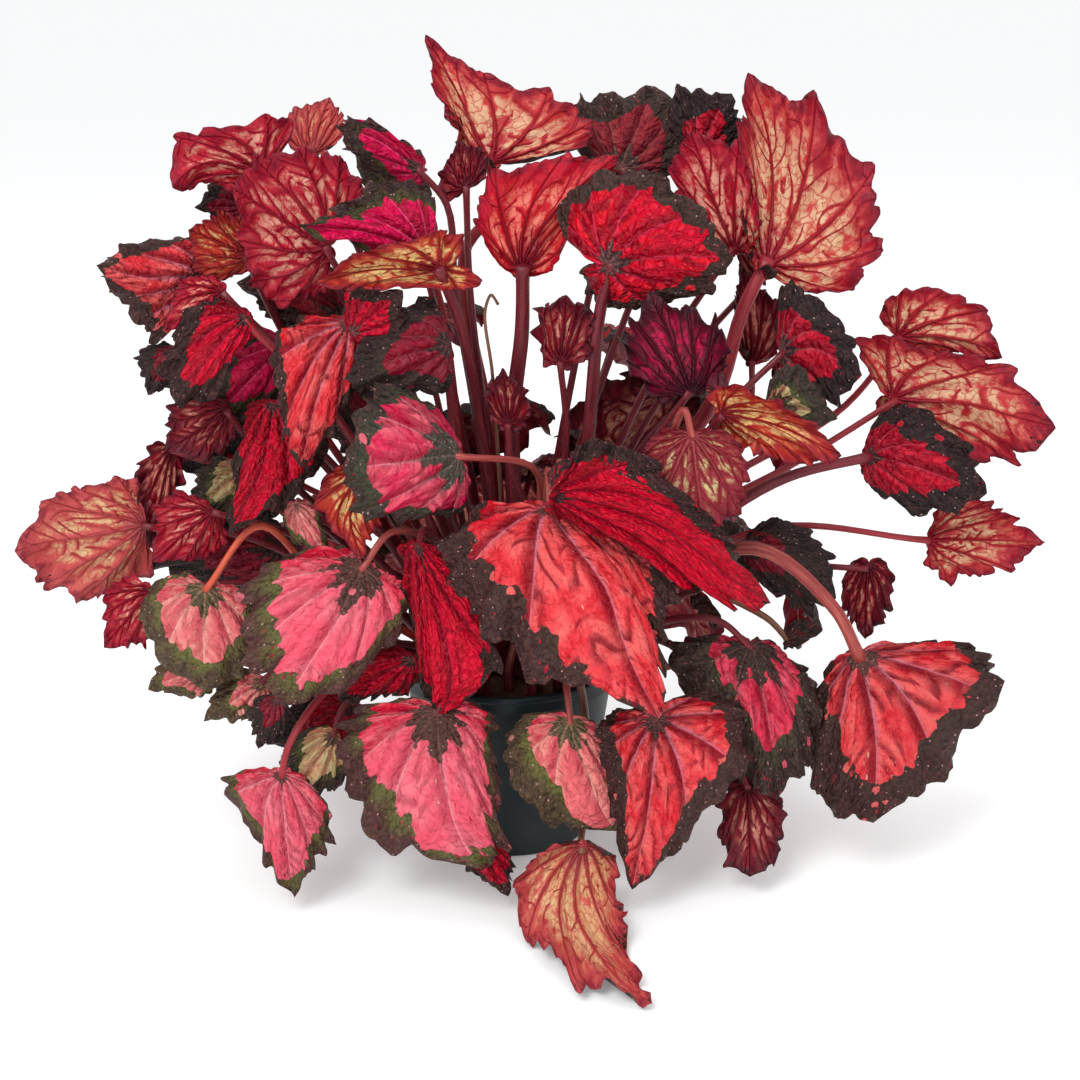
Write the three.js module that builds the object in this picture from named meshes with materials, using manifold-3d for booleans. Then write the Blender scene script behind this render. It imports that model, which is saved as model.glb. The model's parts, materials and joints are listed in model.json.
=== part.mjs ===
// A rex begonia growing in a round nursery pot. Millimetres, Z up, the pot stands on Z = 0 about the Z axis.
import * as THREE from "three";
import { mergeVertices } from "three/addons/utils/BufferGeometryUtils.js";
import Module from "manifold-3d";

const wasm = await Module();
wasm.setup();

// Driving dimensions
const POT_TOP_RADIUS = 63.5;
const POT_BASE_RADIUS = 46;
const POT_HEIGHT = 106;
const POT_WALL = 2;
const BASE_THICKNESS = 2.5;
const SOIL_DEPTH_BELOW_RIM = 16;
const MAT_THICKNESS = 7.5;
const LEAF_THICKNESS = 1.6;
const STALK_RADIUS = 2.2;
const FOOT_SPACING = 9;
const FIT_GAP = 0.3;
const LEAF_CLEARANCE = 0.5;

// Sizes that follow from the driving dimensions
const RIM_BAND = POT_HEIGHT * 0.09;
const SOIL_TOP = POT_HEIGHT - SOIL_DEPTH_BELOW_RIM;
const MAT_RADIUS = POT_TOP_RADIUS - 10;
const MAT_BOTTOM = SOIL_TOP + FIT_GAP;
const MAT_TOP = MAT_BOTTOM + MAT_THICKNESS;
const STALK_FOOT = MAT_TOP + 2 * FIT_GAP;

// The share by which a blade's margin moves out for each millimetre of clearance round it.
const MARGIN_GROWTH = 0.03;

// The view in which the leaves were measured: its eye, its downward pitch, its centre and its focal length.
const EYE = new THREE.Vector3(18, -950, 488);
const EYE_PITCH = THREE.MathUtils.degToRad(18.1);
const VIEW_CENTRE = 540;
const VIEW_FOCAL = 1750;

const LOOK = {
  coral: { color: 0xf2555f, roughness: 0.5 },
  pink: { color: 0xf77c8c, roughness: 0.5 },
  magenta: { color: 0xdc1f5c, roughness: 0.5 },
  crimson: { color: 0xc81a2c, roughness: 0.48 },
  pale: { color: 0xe0aaa0, roughness: 0.5 },
  dark: { color: 0x3b2a2a, roughness: 0.45 },
  olive: { color: 0x5f5a34, roughness: 0.5 },
  underside: { color: 0xc98f74, roughness: 0.6 },
  wine: { color: 0x6b1f2b, roughness: 0.55 },
};

// A point of the measured view, across and down, on the upright plane at a depth behind the pot's axis.
function placed([across, down], depth) {
  const reach = depth - EYE.y;
  const drop = EYE_PITCH + Math.atan((down - VIEW_CENTRE) / VIEW_FOCAL);
  const z = EYE.z - reach * Math.tan(drop);
  const along = reach * Math.cos(EYE_PITCH) + (EYE.z - z) * Math.sin(EYE_PITCH);
  return new THREE.Vector3(EYE.x + ((across - VIEW_CENTRE) / VIEW_FOCAL) * along, depth, z);
}

// Where a leaf's named marks lie in its own plane: the stalk joins at the origin and the tip is at (0, 1).
const MARK_PLACE = {
  junction: [0, 0],
  tip: [0, 1],
  midrib: [0, 0.5],
  flankA: [-0.36, 0.62],
  flankB: [0.36, 0.62],
  lobeA: [-0.58, 0.22],
  lobeB: [0.58, 0.22],
  baseA: [-0.3, -0.3],
  baseB: [0.3, -0.3],
};

// The heart of the blade, part of the way up the midrib, from which the whole margin can be seen.
const BLADE_HEART = 0.3;

// How far up the midrib the stalk runs into the blade.
const STALK_END = 0.03;

// The margin's reach from the stalk, in blade lengths, at bearings from the tip.
const MARGIN = [
  { bearing: 0, reach: 1 },
  { bearing: 18, reach: 0.79 },
  { bearing: 42, reach: 0.68 },
  { bearing: 69, reach: 0.62 },
  { bearing: 105, reach: 0.51 },
  { bearing: 142, reach: 0.41 },
  { bearing: 180, reach: 0.1 },
];

// Solves a square system of linear equations for several right-hand sides by elimination.
function solved(rows, rights) {
  const size = rows.length;
  const table = rows.map((row, i) => [...row, ...rights[i]]);
  for (let column = 0; column < size; column += 1) {
    let best = column;
    for (let row = column + 1; row < size; row += 1) {
      if (Math.abs(table[row][column]) > Math.abs(table[best][column])) best = row;
    }
    [table[column], table[best]] = [table[best], table[column]];
    for (let row = 0; row < size; row += 1) {
      if (row === column) continue;
      const share = table[row][column] / table[column][column];
      for (let k = column; k < table[row].length; k += 1) {
        table[row][k] -= share * table[column][k];
      }
    }
  }
  return table.map((row, i) => row.slice(size).map((value) => value / row[i]));
}

function bending(a, b) {
  const squared = (a[0] - b[0]) ** 2 + (a[1] - b[1]) ** 2;
  return squared > 0 ? squared * Math.log(squared) : 0;
}

// The smoothest map from the leaf's plane to the view that takes each named mark to its measured place.
function viewMap(marks) {
  const names = Object.keys(MARK_PLACE).filter((name) => marks[name]);
  const sources = names.map((name) => MARK_PLACE[name]);
  const rows = sources.map((source) => [
    ...sources.map((other) => bending(source, other)),
    1,
    ...source,
  ]);
  rows.push([...sources.map(() => 1), 0, 0, 0]);
  rows.push([...sources.map((source) => source[0]), 0, 0, 0]);
  rows.push([...sources.map((source) => source[1]), 0, 0, 0]);
  const rights = [...names.map((name) => marks[name]), [0, 0], [0, 0], [0, 0]];
  const weights = solved(rows, rights);
  return (u, v) => {
    const terms = [...sources.map((source) => bending([u, v], source)), 1, u, v];
    return [0, 1].map((axis) => terms.reduce((sum, term, i) => sum + term * weights[i][axis], 0));
  };
}

// The surface of a leaf seen in the measured view. Its depth runs evenly from the junction's to the tip's and
// curves back towards both lobes.
function measuredSurface(leaf) {
  const seen = viewMap(leaf);
  if (leaf.trail) return (u, v) => trailing(seen(u, v), leaf.trail);
  const [start, end] = leaf.depth;
  return (u, v) => placed(seen(u, v), start + (end - start) * v + leaf.cup * u * u);
}

// A point of a leaf that hangs down in front of the pot and trails out along the surface the pot stands on.
function trailing([across, down], { fromRow, toRow, drop }) {
  const share = Math.max(0, (toRow - down) / (toRow - fromRow));
  const height = FIT_GAP + LEAF_THICKNESS / 2 + drop * share ** 1.5;
  const steepness = Math.tan(EYE_PITCH + Math.atan((down - VIEW_CENTRE) / VIEW_FOCAL));
  return placed([across, down], EYE.y + (EYE.z - height) / steepness);
}

// On the far side the blade's slope grows along it, both lobes hang, and the blade is a little narrower.
const FAR_SLOPE_AT_STALK = 0.55;
const FAR_LOBE_FALL = 0.28;
const FAR_WIDTH = 0.92;

// The surface of a leaf on the far side: it faces outwards at its bearing and droops towards its tip.
function farSurface(leaf) {
  const turn = THREE.MathUtils.degToRad(leaf.bearing);
  const outward = new THREE.Vector3(Math.cos(turn), Math.sin(turn), 0);
  const aside = new THREE.Vector3(-Math.sin(turn), Math.cos(turn), 0);
  const droop = THREE.MathUtils.degToRad(leaf.droop);
  return (u, v) => {
    const bend = droop * (FAR_SLOPE_AT_STALK + (1 - FAR_SLOPE_AT_STALK) * Math.max(v, 0));
    const run = leaf.length * v * Math.cos(bend);
    const fall = leaf.length * v * Math.sin(bend) + leaf.length * FAR_LOBE_FALL * u * u;
    return new THREE.Vector3(0, 0, leaf.height - fall)
      .addScaledVector(outward, leaf.reach + run)
      .addScaledVector(aside, leaf.length * u * FAR_WIDTH);
  };
}

const surfaceOf = (leaf) => (leaf.junction ? measuredSurface(leaf) : farSurface(leaf));

function solidOf(geometry) {
  const bare = geometry.clone();
  bare.deleteAttribute("normal");
  bare.deleteAttribute("uv");
  const merged = mergeVertices(bare, 1e-3);
  return new wasm.Manifold(
    new wasm.Mesh({
      numProp: 3,
      vertProperties: new Float32Array(merged.attributes.position.array),
      triVerts: new Uint32Array(merged.index.array),
    }),
  );
}

function geometryOf(solid) {
  const mesh = solid.getMesh();
  const geometry = new THREE.BufferGeometry();
  geometry.setAttribute("position", new THREE.BufferAttribute(mesh.vertProperties, 3));
  geometry.setIndex(new THREE.BufferAttribute(mesh.triVerts, 1));
  geometry.computeVertexNormals();
  return geometry;
}

// A thin blade: rings of points from the heart of the blade out to its margin, on both faces of the surface.
function bladeSolid(surface, rings, thickness) {
  const margin = [
    ...MARGIN.slice(1, -1).map(({ bearing, reach }) => ({ bearing: -bearing, reach })).reverse(),
    ...MARGIN,
  ];
  const across = margin.length;
  const points = [surface(0, BLADE_HEART)];
  for (const share of rings) {
    for (const { bearing, reach } of margin) {
      const turn = THREE.MathUtils.degToRad(bearing);
      const v = BLADE_HEART + share * (reach * Math.cos(turn) - BLADE_HEART);
      points.push(surface(share * reach * Math.sin(turn), v));
    }
  }
  const sheet = [];
  for (let i = 0; i < across; i += 1) {
    const next = (i + 1) % across;
    sheet.push([0, 1 + i, 1 + next]);
    for (let ring = 1; ring < rings.length; ring += 1) {
      const inner = 1 + (ring - 1) * across;
      const outer = inner + across;
      sheet.push([inner + i, outer + i, outer + next], [inner + i, outer + next, inner + next]);
    }
  }
  const flat = new THREE.BufferGeometry().setFromPoints(points);
  flat.setIndex(sheet.flat());
  flat.computeVertexNormals();
  const normals = flat.attributes.normal;
  const offset = (side) =>
    points.map((point, i) => {
      const normal = new THREE.Vector3().fromBufferAttribute(normals, i);
      return point.clone().addScaledVector(normal, (side * thickness) / 2);
    });
  const count = points.length;
  const faces = sheet.flatMap(([a, b, c]) => [
    [a, b, c],
    [a + count, c + count, b + count],
  ]);
  const edge = 1 + (rings.length - 1) * across;
  for (let i = 0; i < across; i += 1) {
    const next = (i + 1) % across;
    const [here, there] = [edge + i, edge + next];
    faces.push([here, here + count, there + count], [here, there + count, there]);
  }
  const blade = new THREE.BufferGeometry().setFromPoints([...offset(1), ...offset(-1)]);
  blade.setIndex(faces.flat());
  return solidOf(blade);
}

// A stalk's path takes shorter steps towards its end, where it may hook over into the leaf.
const STEP_SHORTENING = 1.8;
class StalkPath extends THREE.CatmullRomCurve3 {
  getPointAt(share, target) {
    return super.getPointAt(1 - (1 - share) ** STEP_SHORTENING, target);
  }

  getTangentAt(share, target) {
    return super.getTangentAt(1 - (1 - share) ** STEP_SHORTENING, target);
  }
}

const STALK_SIDES = 4;
function stalkSolid(path, radius, steps) {
  const section = new THREE.Shape();
  for (let i = 0; i < STALK_SIDES; i += 1) {
    const turn = (2 * Math.PI * i) / STALK_SIDES;
    const corner = [radius * Math.cos(turn), radius * Math.sin(turn)];
    if (i === 0) section.moveTo(...corner);
    else section.lineTo(...corner);
  }
  section.closePath();
  return solidOf(
    new THREE.ExtrudeGeometry(section, {
      steps,
      bevelEnabled: false,
      extrudePath: new StalkPath(path, false, "centripetal"),
    }),
  );
}

// The feet of the growths stand on a triangular grid over the rhizome. Each takes the free place nearest to
// the one wanted: far out for a leaf that hangs low, near the middle for one that stands high.
const freeFeet = [];
const FEET_RADIUS = MAT_RADIUS - 2 * STALK_RADIUS;
const FEET_ACROSS = Math.ceil(FEET_RADIUS / FOOT_SPACING);
for (let row = -FEET_ACROSS; row <= FEET_ACROSS; row += 1) {
  for (let column = -FEET_ACROSS; column <= FEET_ACROSS; column += 1) {
    const x = FOOT_SPACING * (column + row / 2);
    const y = (FOOT_SPACING * row * Math.sqrt(3)) / 2;
    if (Math.hypot(x, y) <= FEET_RADIUS) freeFeet.push(new THREE.Vector2(x, y));
  }
}

// The lean from the upright, in radians, at which a leaf wants the outermost foot.
const OUTERMOST_LEAN = 1.6;

function footFor(joint, chosen) {
  const outwards = Math.hypot(joint.x, joint.y);
  const lean = Math.atan2(outwards, joint.z - MAT_TOP);
  const radius = FEET_RADIUS * Math.min(1, lean / OUTERMOST_LEAN);
  const wanted = chosen
    ? new THREE.Vector2(...chosen)
    : new THREE.Vector2(joint.x, joint.y).multiplyScalar(radius / Math.max(outwards, 1));
  freeFeet.sort((a, b) => a.distanceTo(wanted) - b.distanceTo(wanted));
  const foot = freeFeet.shift();
  return new THREE.Vector3(foot.x, foot.y, STALK_FOOT);
}

// The stalks of one shoot stand close round its foot.
const SHOOT_SPREAD = 1.2;
function footInShoot(foot, index, count) {
  const spread = count > 1 ? SHOOT_SPREAD : 0;
  const turn = (2 * Math.PI * index) / count;
  return new THREE.Vector3(foot.x + spread * Math.cos(turn), foot.y + spread * Math.sin(turn), foot.z);
}

// How far a stalk rises upright from its foot, and how far it leans outwards on the way, as a share of the
// foot's distance from the axis.
const UPRIGHT_RISE = 14;
const UPRIGHT_LEAN = 0.04;

// The top of a plain arch: its place between foot and leaf, and its height as shares of the leaf's rise and
// of its distance.
const ARCH_PLACE = 0.62;
const ARCH_RISE = 0.68;
const ARCH_OUTWARD_RISE = 0.12;

// A leaf that hangs lower than this above the feet gets a higher arch, by a share of what is missing.
const LOW_LEAF = 45;
const LOW_LEAF_ARCH = 0.6;

// A stalk leaves its foot upright, arches over towards the leaf, through any marks it was seen at, and ends
// in the blade.
function stalkPath(foot, leaf, joint) {
  const path = [
    foot,
    new THREE.Vector3(foot.x * (1 + UPRIGHT_LEAN), foot.y * (1 + UPRIGHT_LEAN), foot.z + UPRIGHT_RISE),
  ];
  if (leaf.via) {
    for (const [across, down, depth] of leaf.via) path.push(placed([across, down], depth));
  } else {
    const outwards = Math.hypot(joint.x - foot.x, joint.y - foot.y);
    const rise = joint.z - foot.z;
    const arch = foot.clone().lerp(joint, ARCH_PLACE);
    const missing = Math.max(0, LOW_LEAF - rise);
    arch.z = foot.z + ARCH_RISE * rise + ARCH_OUTWARD_RISE * outwards + LOW_LEAF_ARCH * missing;
    path.push(arch);
  }
  path.push(joint);
  return path;
}

// A full leaf has a ring of points between its heart and its margin, and a small one has only its margin.
const FULL_LEAF = { rings: [0.55, 1], stalkSteps: 7 };
const SMALL_LEAF = { rings: [1], stalkSteps: 6 };

// One leaf, blade and stalk, as a single solid. Grown thicker all round it serves to clear its neighbours.
function leafSolid(leaf, foot, grown) {
  const surface = surfaceOf(leaf);
  const { rings, stalkSteps } = leaf.small ? SMALL_LEAF : FULL_LEAF;
  const grownRings = rings.map((share) => share * (1 + grown * MARGIN_GROWTH));
  const blade = bladeSolid(surface, grownRings, LEAF_THICKNESS + 2 * grown);
  const path = stalkPath(foot, leaf, surface(0, STALK_END));
  return blade.add(stalkSolid(path, (leaf.stalk ?? STALK_RADIUS) + grown, stalkSteps));
}

// Every leaf or shoot of leaves. Marks are places across and down the measured view, depths are millimetres.
const GROWTHS = [
  {
    node: "leaf_front_center",
    foot: [0, -26],
    look: LOOK.coral,
    leaves: [
      {
        junction: [548, 510], tip: [660, 717], midrib: [608, 592],
        flankA: [522, 668], lobeA: [442, 575], baseA: [480, 508],
        flankB: [664, 655], lobeB: [672, 575], baseB: [630, 520],
        depth: [-80, -130], cup: 18, via: [[540, 560, -30], [548, 470, -62]],
      },
    ],
  },
  {
    node: "leaf_scarlet_diagonal",
    foot: [12, -24],
    look: LOOK.crimson,
    leaves: [
      {
        junction: [552, 496], tip: [775, 612], midrib: [662, 530],
        flankA: [722, 532], lobeA: [640, 455], baseA: [568, 462],
        flankB: [712, 604], lobeB: [630, 548], baseB: [556, 520],
        depth: [-100, -96], cup: 8, via: [[556, 560, -32], [560, 462, -80]],
      },
    ],
  },
  {
    node: "leaf_before_pot",
    foot: [12, -42],
    look: LOOK.pale,
    leaves: [
      {
        junction: [570, 722], tip: [616, 832], midrib: [590, 778],
        flankA: [552, 826], lobeA: [505, 768], baseA: [532, 712],
        flankB: [622, 800], lobeB: [606, 752], baseB: [598, 722],
        depth: [-84, -102], cup: 12, via: [[560, 662, -54], [567, 690, -76]],
      },
    ],
  },
  {
    node: "leaf_lower_right_coral",
    foot: [34, -30],
    look: LOOK.coral,
    leaves: [
      {
        junction: [655, 720], tip: [633, 891], midrib: [650, 800],
        flankA: [612, 812], lobeA: [598, 745], baseA: [618, 708],
        flankB: [690, 838], lobeB: [748, 755], baseB: [712, 690],
        depth: [-96, -124], cup: 14,
      },
    ],
  },
  {
    node: "leaf_lower_left_big_pink",
    foot: [-12, -42],
    look: LOOK.pink,
    leaves: [
      {
        junction: [437, 712], tip: [482, 870], midrib: [447, 790],
        flankA: [380, 846], lobeA: [338, 766], baseA: [372, 700],
        flankB: [504, 840], lobeB: [500, 757], baseB: [480, 705],
        depth: [-96, -126], cup: 14,
      },
      {
        small: true,
        junction: [486, 838], tip: [508, 897],
        lobeA: [464, 866], lobeB: [514, 862], baseA: [476, 836], baseB: [498, 834],
        depth: [-104, -114], cup: 6, via: [[465, 690, -72], [478, 760, -86]],
      },
    ],
  },
  {
    node: "leaf_lower_left_hot_pink",
    foot: [-20, -26],
    look: LOOK.pink,
    leaves: [
      {
        junction: [362, 568], tip: [283, 706], midrib: [330, 632],
        flankA: [245, 655], lobeA: [250, 580], baseA: [318, 545],
        flankB: [345, 690], lobeB: [404, 628], baseB: [396, 575],
        depth: [-78, -116], cup: 14, via: [[455, 560, -34], [392, 532, -66]],
      },
    ],
  },
  {
    node: "leaf_crimson_vertical",
    foot: [-10, -22],
    look: LOOK.crimson,
    leaves: [
      {
        junction: [417, 545], tip: [443, 714], midrib: [447, 645],
        flankA: [424, 690], lobeA: [404, 598], baseA: [400, 550],
        flankB: [500, 662], lobeB: [462, 600], baseB: [436, 552],
        depth: [-74, -102], cup: 6, via: [[462, 580, -36], [424, 530, -62]],
      },
    ],
  },
  {
    node: "leaf_left_center_pink",
    foot: [5, -16],
    look: LOOK.magenta,
    leaves: [
      {
        junction: [458, 456], tip: [346, 470], midrib: [404, 462],
        flankA: [362, 410], lobeA: [388, 382], baseA: [446, 420],
        flankB: [362, 515], lobeB: [418, 522], baseB: [468, 500],
        depth: [-70, -102], cup: 10, via: [[530, 560, -20], [535, 470, -44]],
      },
    ],
  },
  {
    node: "leaf_left_coral",
    foot: [-22, -12],
    look: LOOK.coral,
    leaves: [
      {
        junction: [347, 325], tip: [300, 466], midrib: [318, 395],
        flankA: [280, 425], lobeA: [272, 350], baseA: [306, 316],
        flankB: [338, 428], lobeB: [358, 376], baseB: [368, 330],
        depth: [-58, -90], cup: 12,
      },
    ],
  },
  {
    node: "leaf_left_crimson",
    foot: [-34, -10],
    look: LOOK.crimson,
    leaves: [
      {
        junction: [272, 405], tip: [227, 533], midrib: [262, 470],
        flankA: [228, 500], lobeA: [236, 440], baseA: [250, 402],
        flankB: [290, 500], lobeB: [330, 452], baseB: [300, 412],
        depth: [-44, -80], cup: 12,
      },
    ],
  },
  {
    node: "leaf_left_dark_crimson",
    foot: [-18, 0],
    look: LOOK.crimson,
    leaves: [
      {
        junction: [285, 345], tip: [210, 425], midrib: [246, 385],
        flankA: [208, 375], lobeA: [222, 335], baseA: [262, 325],
        flankB: [245, 428], lobeB: [282, 405], baseB: [298, 372],
        depth: [-20, -34], cup: 10,
      },
    ],
  },
  {
    node: "leaf_left_ruffled",
    foot: [-18, -16],
    look: LOOK.crimson,
    leaves: [
      {
        junction: [246, 318], tip: [178, 409], midrib: [212, 355],
        flankA: [162, 368], lobeA: [180, 318], baseA: [222, 300],
        flankB: [208, 398], lobeB: [232, 362], baseB: [256, 335],
        depth: [-50, -78], cup: 10,
      },
    ],
  },
  {
    node: "leaf_far_left_coral",
    foot: [-34, 8],
    look: LOOK.coral,
    leaves: [
      {
        junction: [196, 278], tip: [101, 268], midrib: [148, 278],
        flankA: [124, 246], lobeA: [162, 236], baseA: [204, 250],
        flankB: [112, 294], lobeB: [140, 325], baseB: [166, 345],
        depth: [-26, -60], cup: 14, via: [[300, 400, 2], [240, 320, -8]],
      },
    ],
  },
  {
    node: "shoot_left_cream",
    foot: [-27, 0],
    look: LOOK.underside,
    leaves: [
      {
        small: true,
        junction: [222, 292], tip: [164, 330],
        lobeA: [182, 282], lobeB: [208, 322], baseA: [214, 280], baseB: [226, 308],
        depth: [-35, -45], cup: 6,
      },
      {
        small: true,
        junction: [178, 352], tip: [148, 395],
        lobeA: [136, 354], lobeB: [178, 384], baseA: [164, 342], baseB: [192, 362],
        depth: [-14, -24], cup: 4,
      },
    ],
  },
  {
    node: "shoot_left_purple",
    foot: [-40, 2],
    look: LOOK.wine,
    leaves: [
      {
        junction: [226, 410], tip: [164, 450], midrib: [196, 432],
        lobeA: [172, 405], lobeB: [210, 458], baseA: [214, 398], baseB: [232, 432],
        depth: [-40, -54], cup: 8, via: [[330, 520, -14], [256, 448, -30]],
      },
      {
        small: true,
        junction: [172, 448], tip: [152, 548],
        lobeA: [138, 484], lobeB: [176, 498], baseA: [158, 446], baseB: [182, 458],
        depth: [-20, -28], cup: 4,
      },
    ],
  },
  {
    node: "shoot_left_maroon",
    foot: [-40, -8],
    look: LOOK.wine,
    leaves: [
      {
        junction: [212, 512], tip: [152, 562], midrib: [182, 535],
        lobeA: [158, 506], lobeB: [206, 556], baseA: [196, 496], baseB: [224, 530],
        depth: [-44, -62], cup: 8,
      },
      {
        small: true,
        junction: [244, 470], tip: [188, 518],
        lobeA: [200, 465], lobeB: [240, 512], baseA: [232, 458], baseB: [254, 486],
        depth: [-22, -32], cup: 6, via: [[330, 552, -28], [272, 502, -24]],
      },
    ],
  },
  {
    node: "shoot_far_left",
    foot: [-44, 0],
    look: LOOK.underside,
    leaves: [
      {
        junction: [142, 525], tip: [12, 548], midrib: [78, 538],
        flankA: [48, 500], lobeA: [88, 489], baseA: [138, 490],
        flankB: [46, 580], lobeB: [90, 596], baseB: [140, 572],
        depth: [-36, -66], cup: 10,
      },
      {
        small: true,
        junction: [150, 592], tip: [104, 648],
        lobeA: [106, 592], lobeB: [146, 642], baseA: [134, 580], baseB: [160, 612],
        depth: [-54, -68], cup: 6,
      },
    ],
  },
  {
    node: "leaf_left_pale_pink",
    foot: [-32, -23],
    look: LOOK.pale,
    leaves: [
      {
        junction: [205, 588], tip: [206, 690], midrib: [204, 640],
        flankA: [160, 662], lobeA: [140, 608], baseA: [172, 574],
        flankB: [242, 670], lobeB: [260, 630], baseB: [236, 584],
        depth: [-68, -96], cup: 12, via: [[330, 590, -30], [258, 526, -58]],
      },
    ],
  },
  {
    node: "shoot_lower_left_small",
    foot: [-41, -23],
    look: LOOK.olive,
    leaves: [
      {
        small: true,
        junction: [206, 668], tip: [148, 690],
        lobeA: [166, 650], lobeB: [190, 700], baseA: [196, 652], baseB: [214, 688],
        depth: [-62, -76], cup: 6,
      },
      {
        small: true,
        junction: [262, 682], tip: [204, 722],
        lobeA: [218, 680], lobeB: [250, 722], baseA: [250, 668], baseB: [274, 700],
        depth: [-74, -88], cup: 6,
      },
      {
        small: true,
        junction: [276, 700], tip: [258, 750],
        lobeA: [248, 716], lobeB: [286, 730], baseA: [262, 694], baseB: [290, 704],
        depth: [-88, -95], cup: 4, via: [[340, 660, -60]],
      },
    ],
  },
  {
    node: "leaf_lower_left_hanging",
    foot: [-34, -28],
    look: LOOK.pink,
    leaves: [
      {
        junction: [281, 775], tip: [293, 900], midrib: [286, 836],
        flankA: [262, 856], lobeA: [222, 790], baseA: [250, 772],
        flankB: [316, 862], lobeB: [338, 832], baseB: [304, 774],
        depth: [-100, -120], cup: 12, via: [[405, 655, -50], [330, 688, -74], [289, 745, -96]],
      },
    ],
  },
  {
    node: "shoot_lower_left_cream",
    foot: [-26, -36],
    look: LOOK.pale,
    leaves: [
      {
        junction: [334, 735], tip: [290, 802], midrib: [312, 770],
        lobeA: [280, 755], lobeB: [340, 788], baseA: [316, 725], baseB: [348, 752],
        depth: [-82, -92], cup: 6, via: [[392, 664, -62], [345, 705, -76]],
      },
      {
        junction: [412, 660], tip: [338, 702], midrib: [375, 680],
        lobeA: [348, 656], lobeB: [400, 698], baseA: [398, 644], baseB: [418, 680],
        depth: [-72, -84], cup: 8,
      },
      {
        small: true,
        junction: [354, 704], tip: [266, 744],
        lobeA: [300, 692], lobeB: [322, 764], baseA: [346, 686], baseB: [362, 728],
        depth: [-58, -68], cup: 6,
      },
    ],
  },
  {
    node: "shoot_left_inner",
    foot: [-22, -4],
    look: LOOK.dark,
    leaves: [
      {
        junction: [352, 322], tip: [236, 284], midrib: [296, 294],
        lobeA: [300, 252], lobeB: [284, 336], baseA: [358, 294], baseB: [344, 348],
        depth: [4, -4], cup: 6,
      },
      {
        junction: [404, 430], tip: [316, 392], midrib: [360, 408],
        lobeA: [362, 360], lobeB: [350, 468], baseA: [410, 404], baseB: [398, 456],
        depth: [-14, -22], cup: 6,
      },
      {
        junction: [292, 480], tip: [174, 464], midrib: [234, 466],
        lobeA: [236, 428], lobeB: [238, 520], baseA: [294, 452], baseB: [288, 508],
        depth: [-8, -14], cup: 6,
      },
      {
        junction: [282, 548], tip: [140, 566], midrib: [212, 552],
        lobeA: [214, 514], lobeB: [208, 598], baseA: [278, 522], baseB: [284, 578],
        depth: [-16, -26], cup: 6,
      },
    ],
  },
  {
    node: "shoot_left_olive_cream",
    foot: [-27, -16],
    look: LOOK.olive,
    leaves: [
      {
        junction: [368, 472], tip: [362, 560], midrib: [350, 515],
        lobeA: [318, 502], lobeB: [376, 522], baseA: [344, 466], baseB: [382, 484],
        depth: [-62, -76], cup: 8,
      },
      {
        small: true,
        junction: [296, 505], tip: [330, 560],
        lobeA: [290, 540], lobeB: [322, 520], baseA: [284, 508], baseB: [306, 498],
        depth: [-50, -64], cup: 4,
      },
    ],
  },
  {
    node: "shoot_left_curled",
    foot: [-10, -8],
    look: LOOK.dark,
    leaves: [
      {
        junction: [448, 345], tip: [350, 380], midrib: [398, 358],
        flankA: [362, 342], lobeA: [402, 305], baseA: [444, 308],
        flankB: [368, 398], lobeB: [420, 396], baseB: [452, 380],
        depth: [-54, -82], cup: 8, via: [[455, 440, -34]],
      },
      {
        small: true,
        junction: [352, 332], tip: [402, 292],
        lobeA: [352, 286], lobeB: [398, 342], baseA: [342, 312], baseB: [360, 348],
        depth: [-64, -70], cup: 6,
      },
    ],
  },
  {
    node: "leaf_orange_underside",
    foot: [-4, -8],
    look: LOOK.underside,
    leaves: [
      {
        junction: [440, 268], tip: [315, 284], midrib: [376, 270],
        flankA: [352, 256], lobeA: [404, 242], baseA: [458, 236],
        flankB: [356, 286], lobeB: [420, 287], baseB: [476, 280],
        depth: [-58, -88], cup: 6, stalk: 3.2, via: [[486, 455, -10], [462, 330, -40]],
      },
    ],
  },
  {
    node: "leaf_upper_left_magenta",
    foot: [-16, -4],
    look: LOOK.magenta,
    leaves: [
      {
        junction: [424, 250], tip: [302, 228], midrib: [364, 232],
        flankA: [340, 208], lobeA: [384, 180], baseA: [436, 200],
        flankB: [334, 244], lobeB: [386, 252], baseB: [438, 258],
        depth: [-44, -76], cup: 8, via: [[462, 455, 0], [440, 300, -30]],
      },
    ],
  },
  {
    node: "leaf_upper_left_broad",
    foot: [-14, 10],
    look: LOOK.underside,
    leaves: [
      {
        junction: [326, 246], tip: [229, 186], midrib: [274, 214],
        flankA: [256, 160], lobeA: [308, 150], baseA: [352, 186],
        flankB: [242, 242], lobeB: [258, 288], baseB: [320, 288],
        depth: [-30, -56], cup: 12, via: [[450, 520, 12], [370, 330, -14]],
      },
    ],
  },
  {
    node: "shoot_upper_left_small",
    foot: [-24, 10],
    look: LOOK.olive,
    leaves: [
      {
        small: true,
        junction: [246, 206], tip: [196, 208],
        lobeA: [212, 180], lobeB: [218, 220], baseA: [246, 174], baseB: [250, 222],
        depth: [-8, -20], cup: 4, via: [[330, 420, 8], [262, 280, -4]],
      },
      {
        junction: [246, 256], tip: [187, 228], midrib: [214, 240],
        lobeA: [222, 212], lobeB: [196, 270], baseA: [248, 232], baseB: [234, 276],
        depth: [-30, -42], cup: 6, via: [[330, 420, 8], [266, 300, -10]],
      },
    ],
  },
  {
    node: "shoot_upper_left",
    foot: [-14, 20],
    look: LOOK.underside,
    leaves: [
      {
        junction: [258, 170], tip: [168, 188], midrib: [212, 162],
        flankA: [176, 140], lobeA: [226, 128], baseA: [290, 121],
        flankB: [188, 182], lobeB: [226, 182], baseB: [268, 184],
        depth: [-14, -40], cup: 8,
      },
      {
        small: true,
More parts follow.
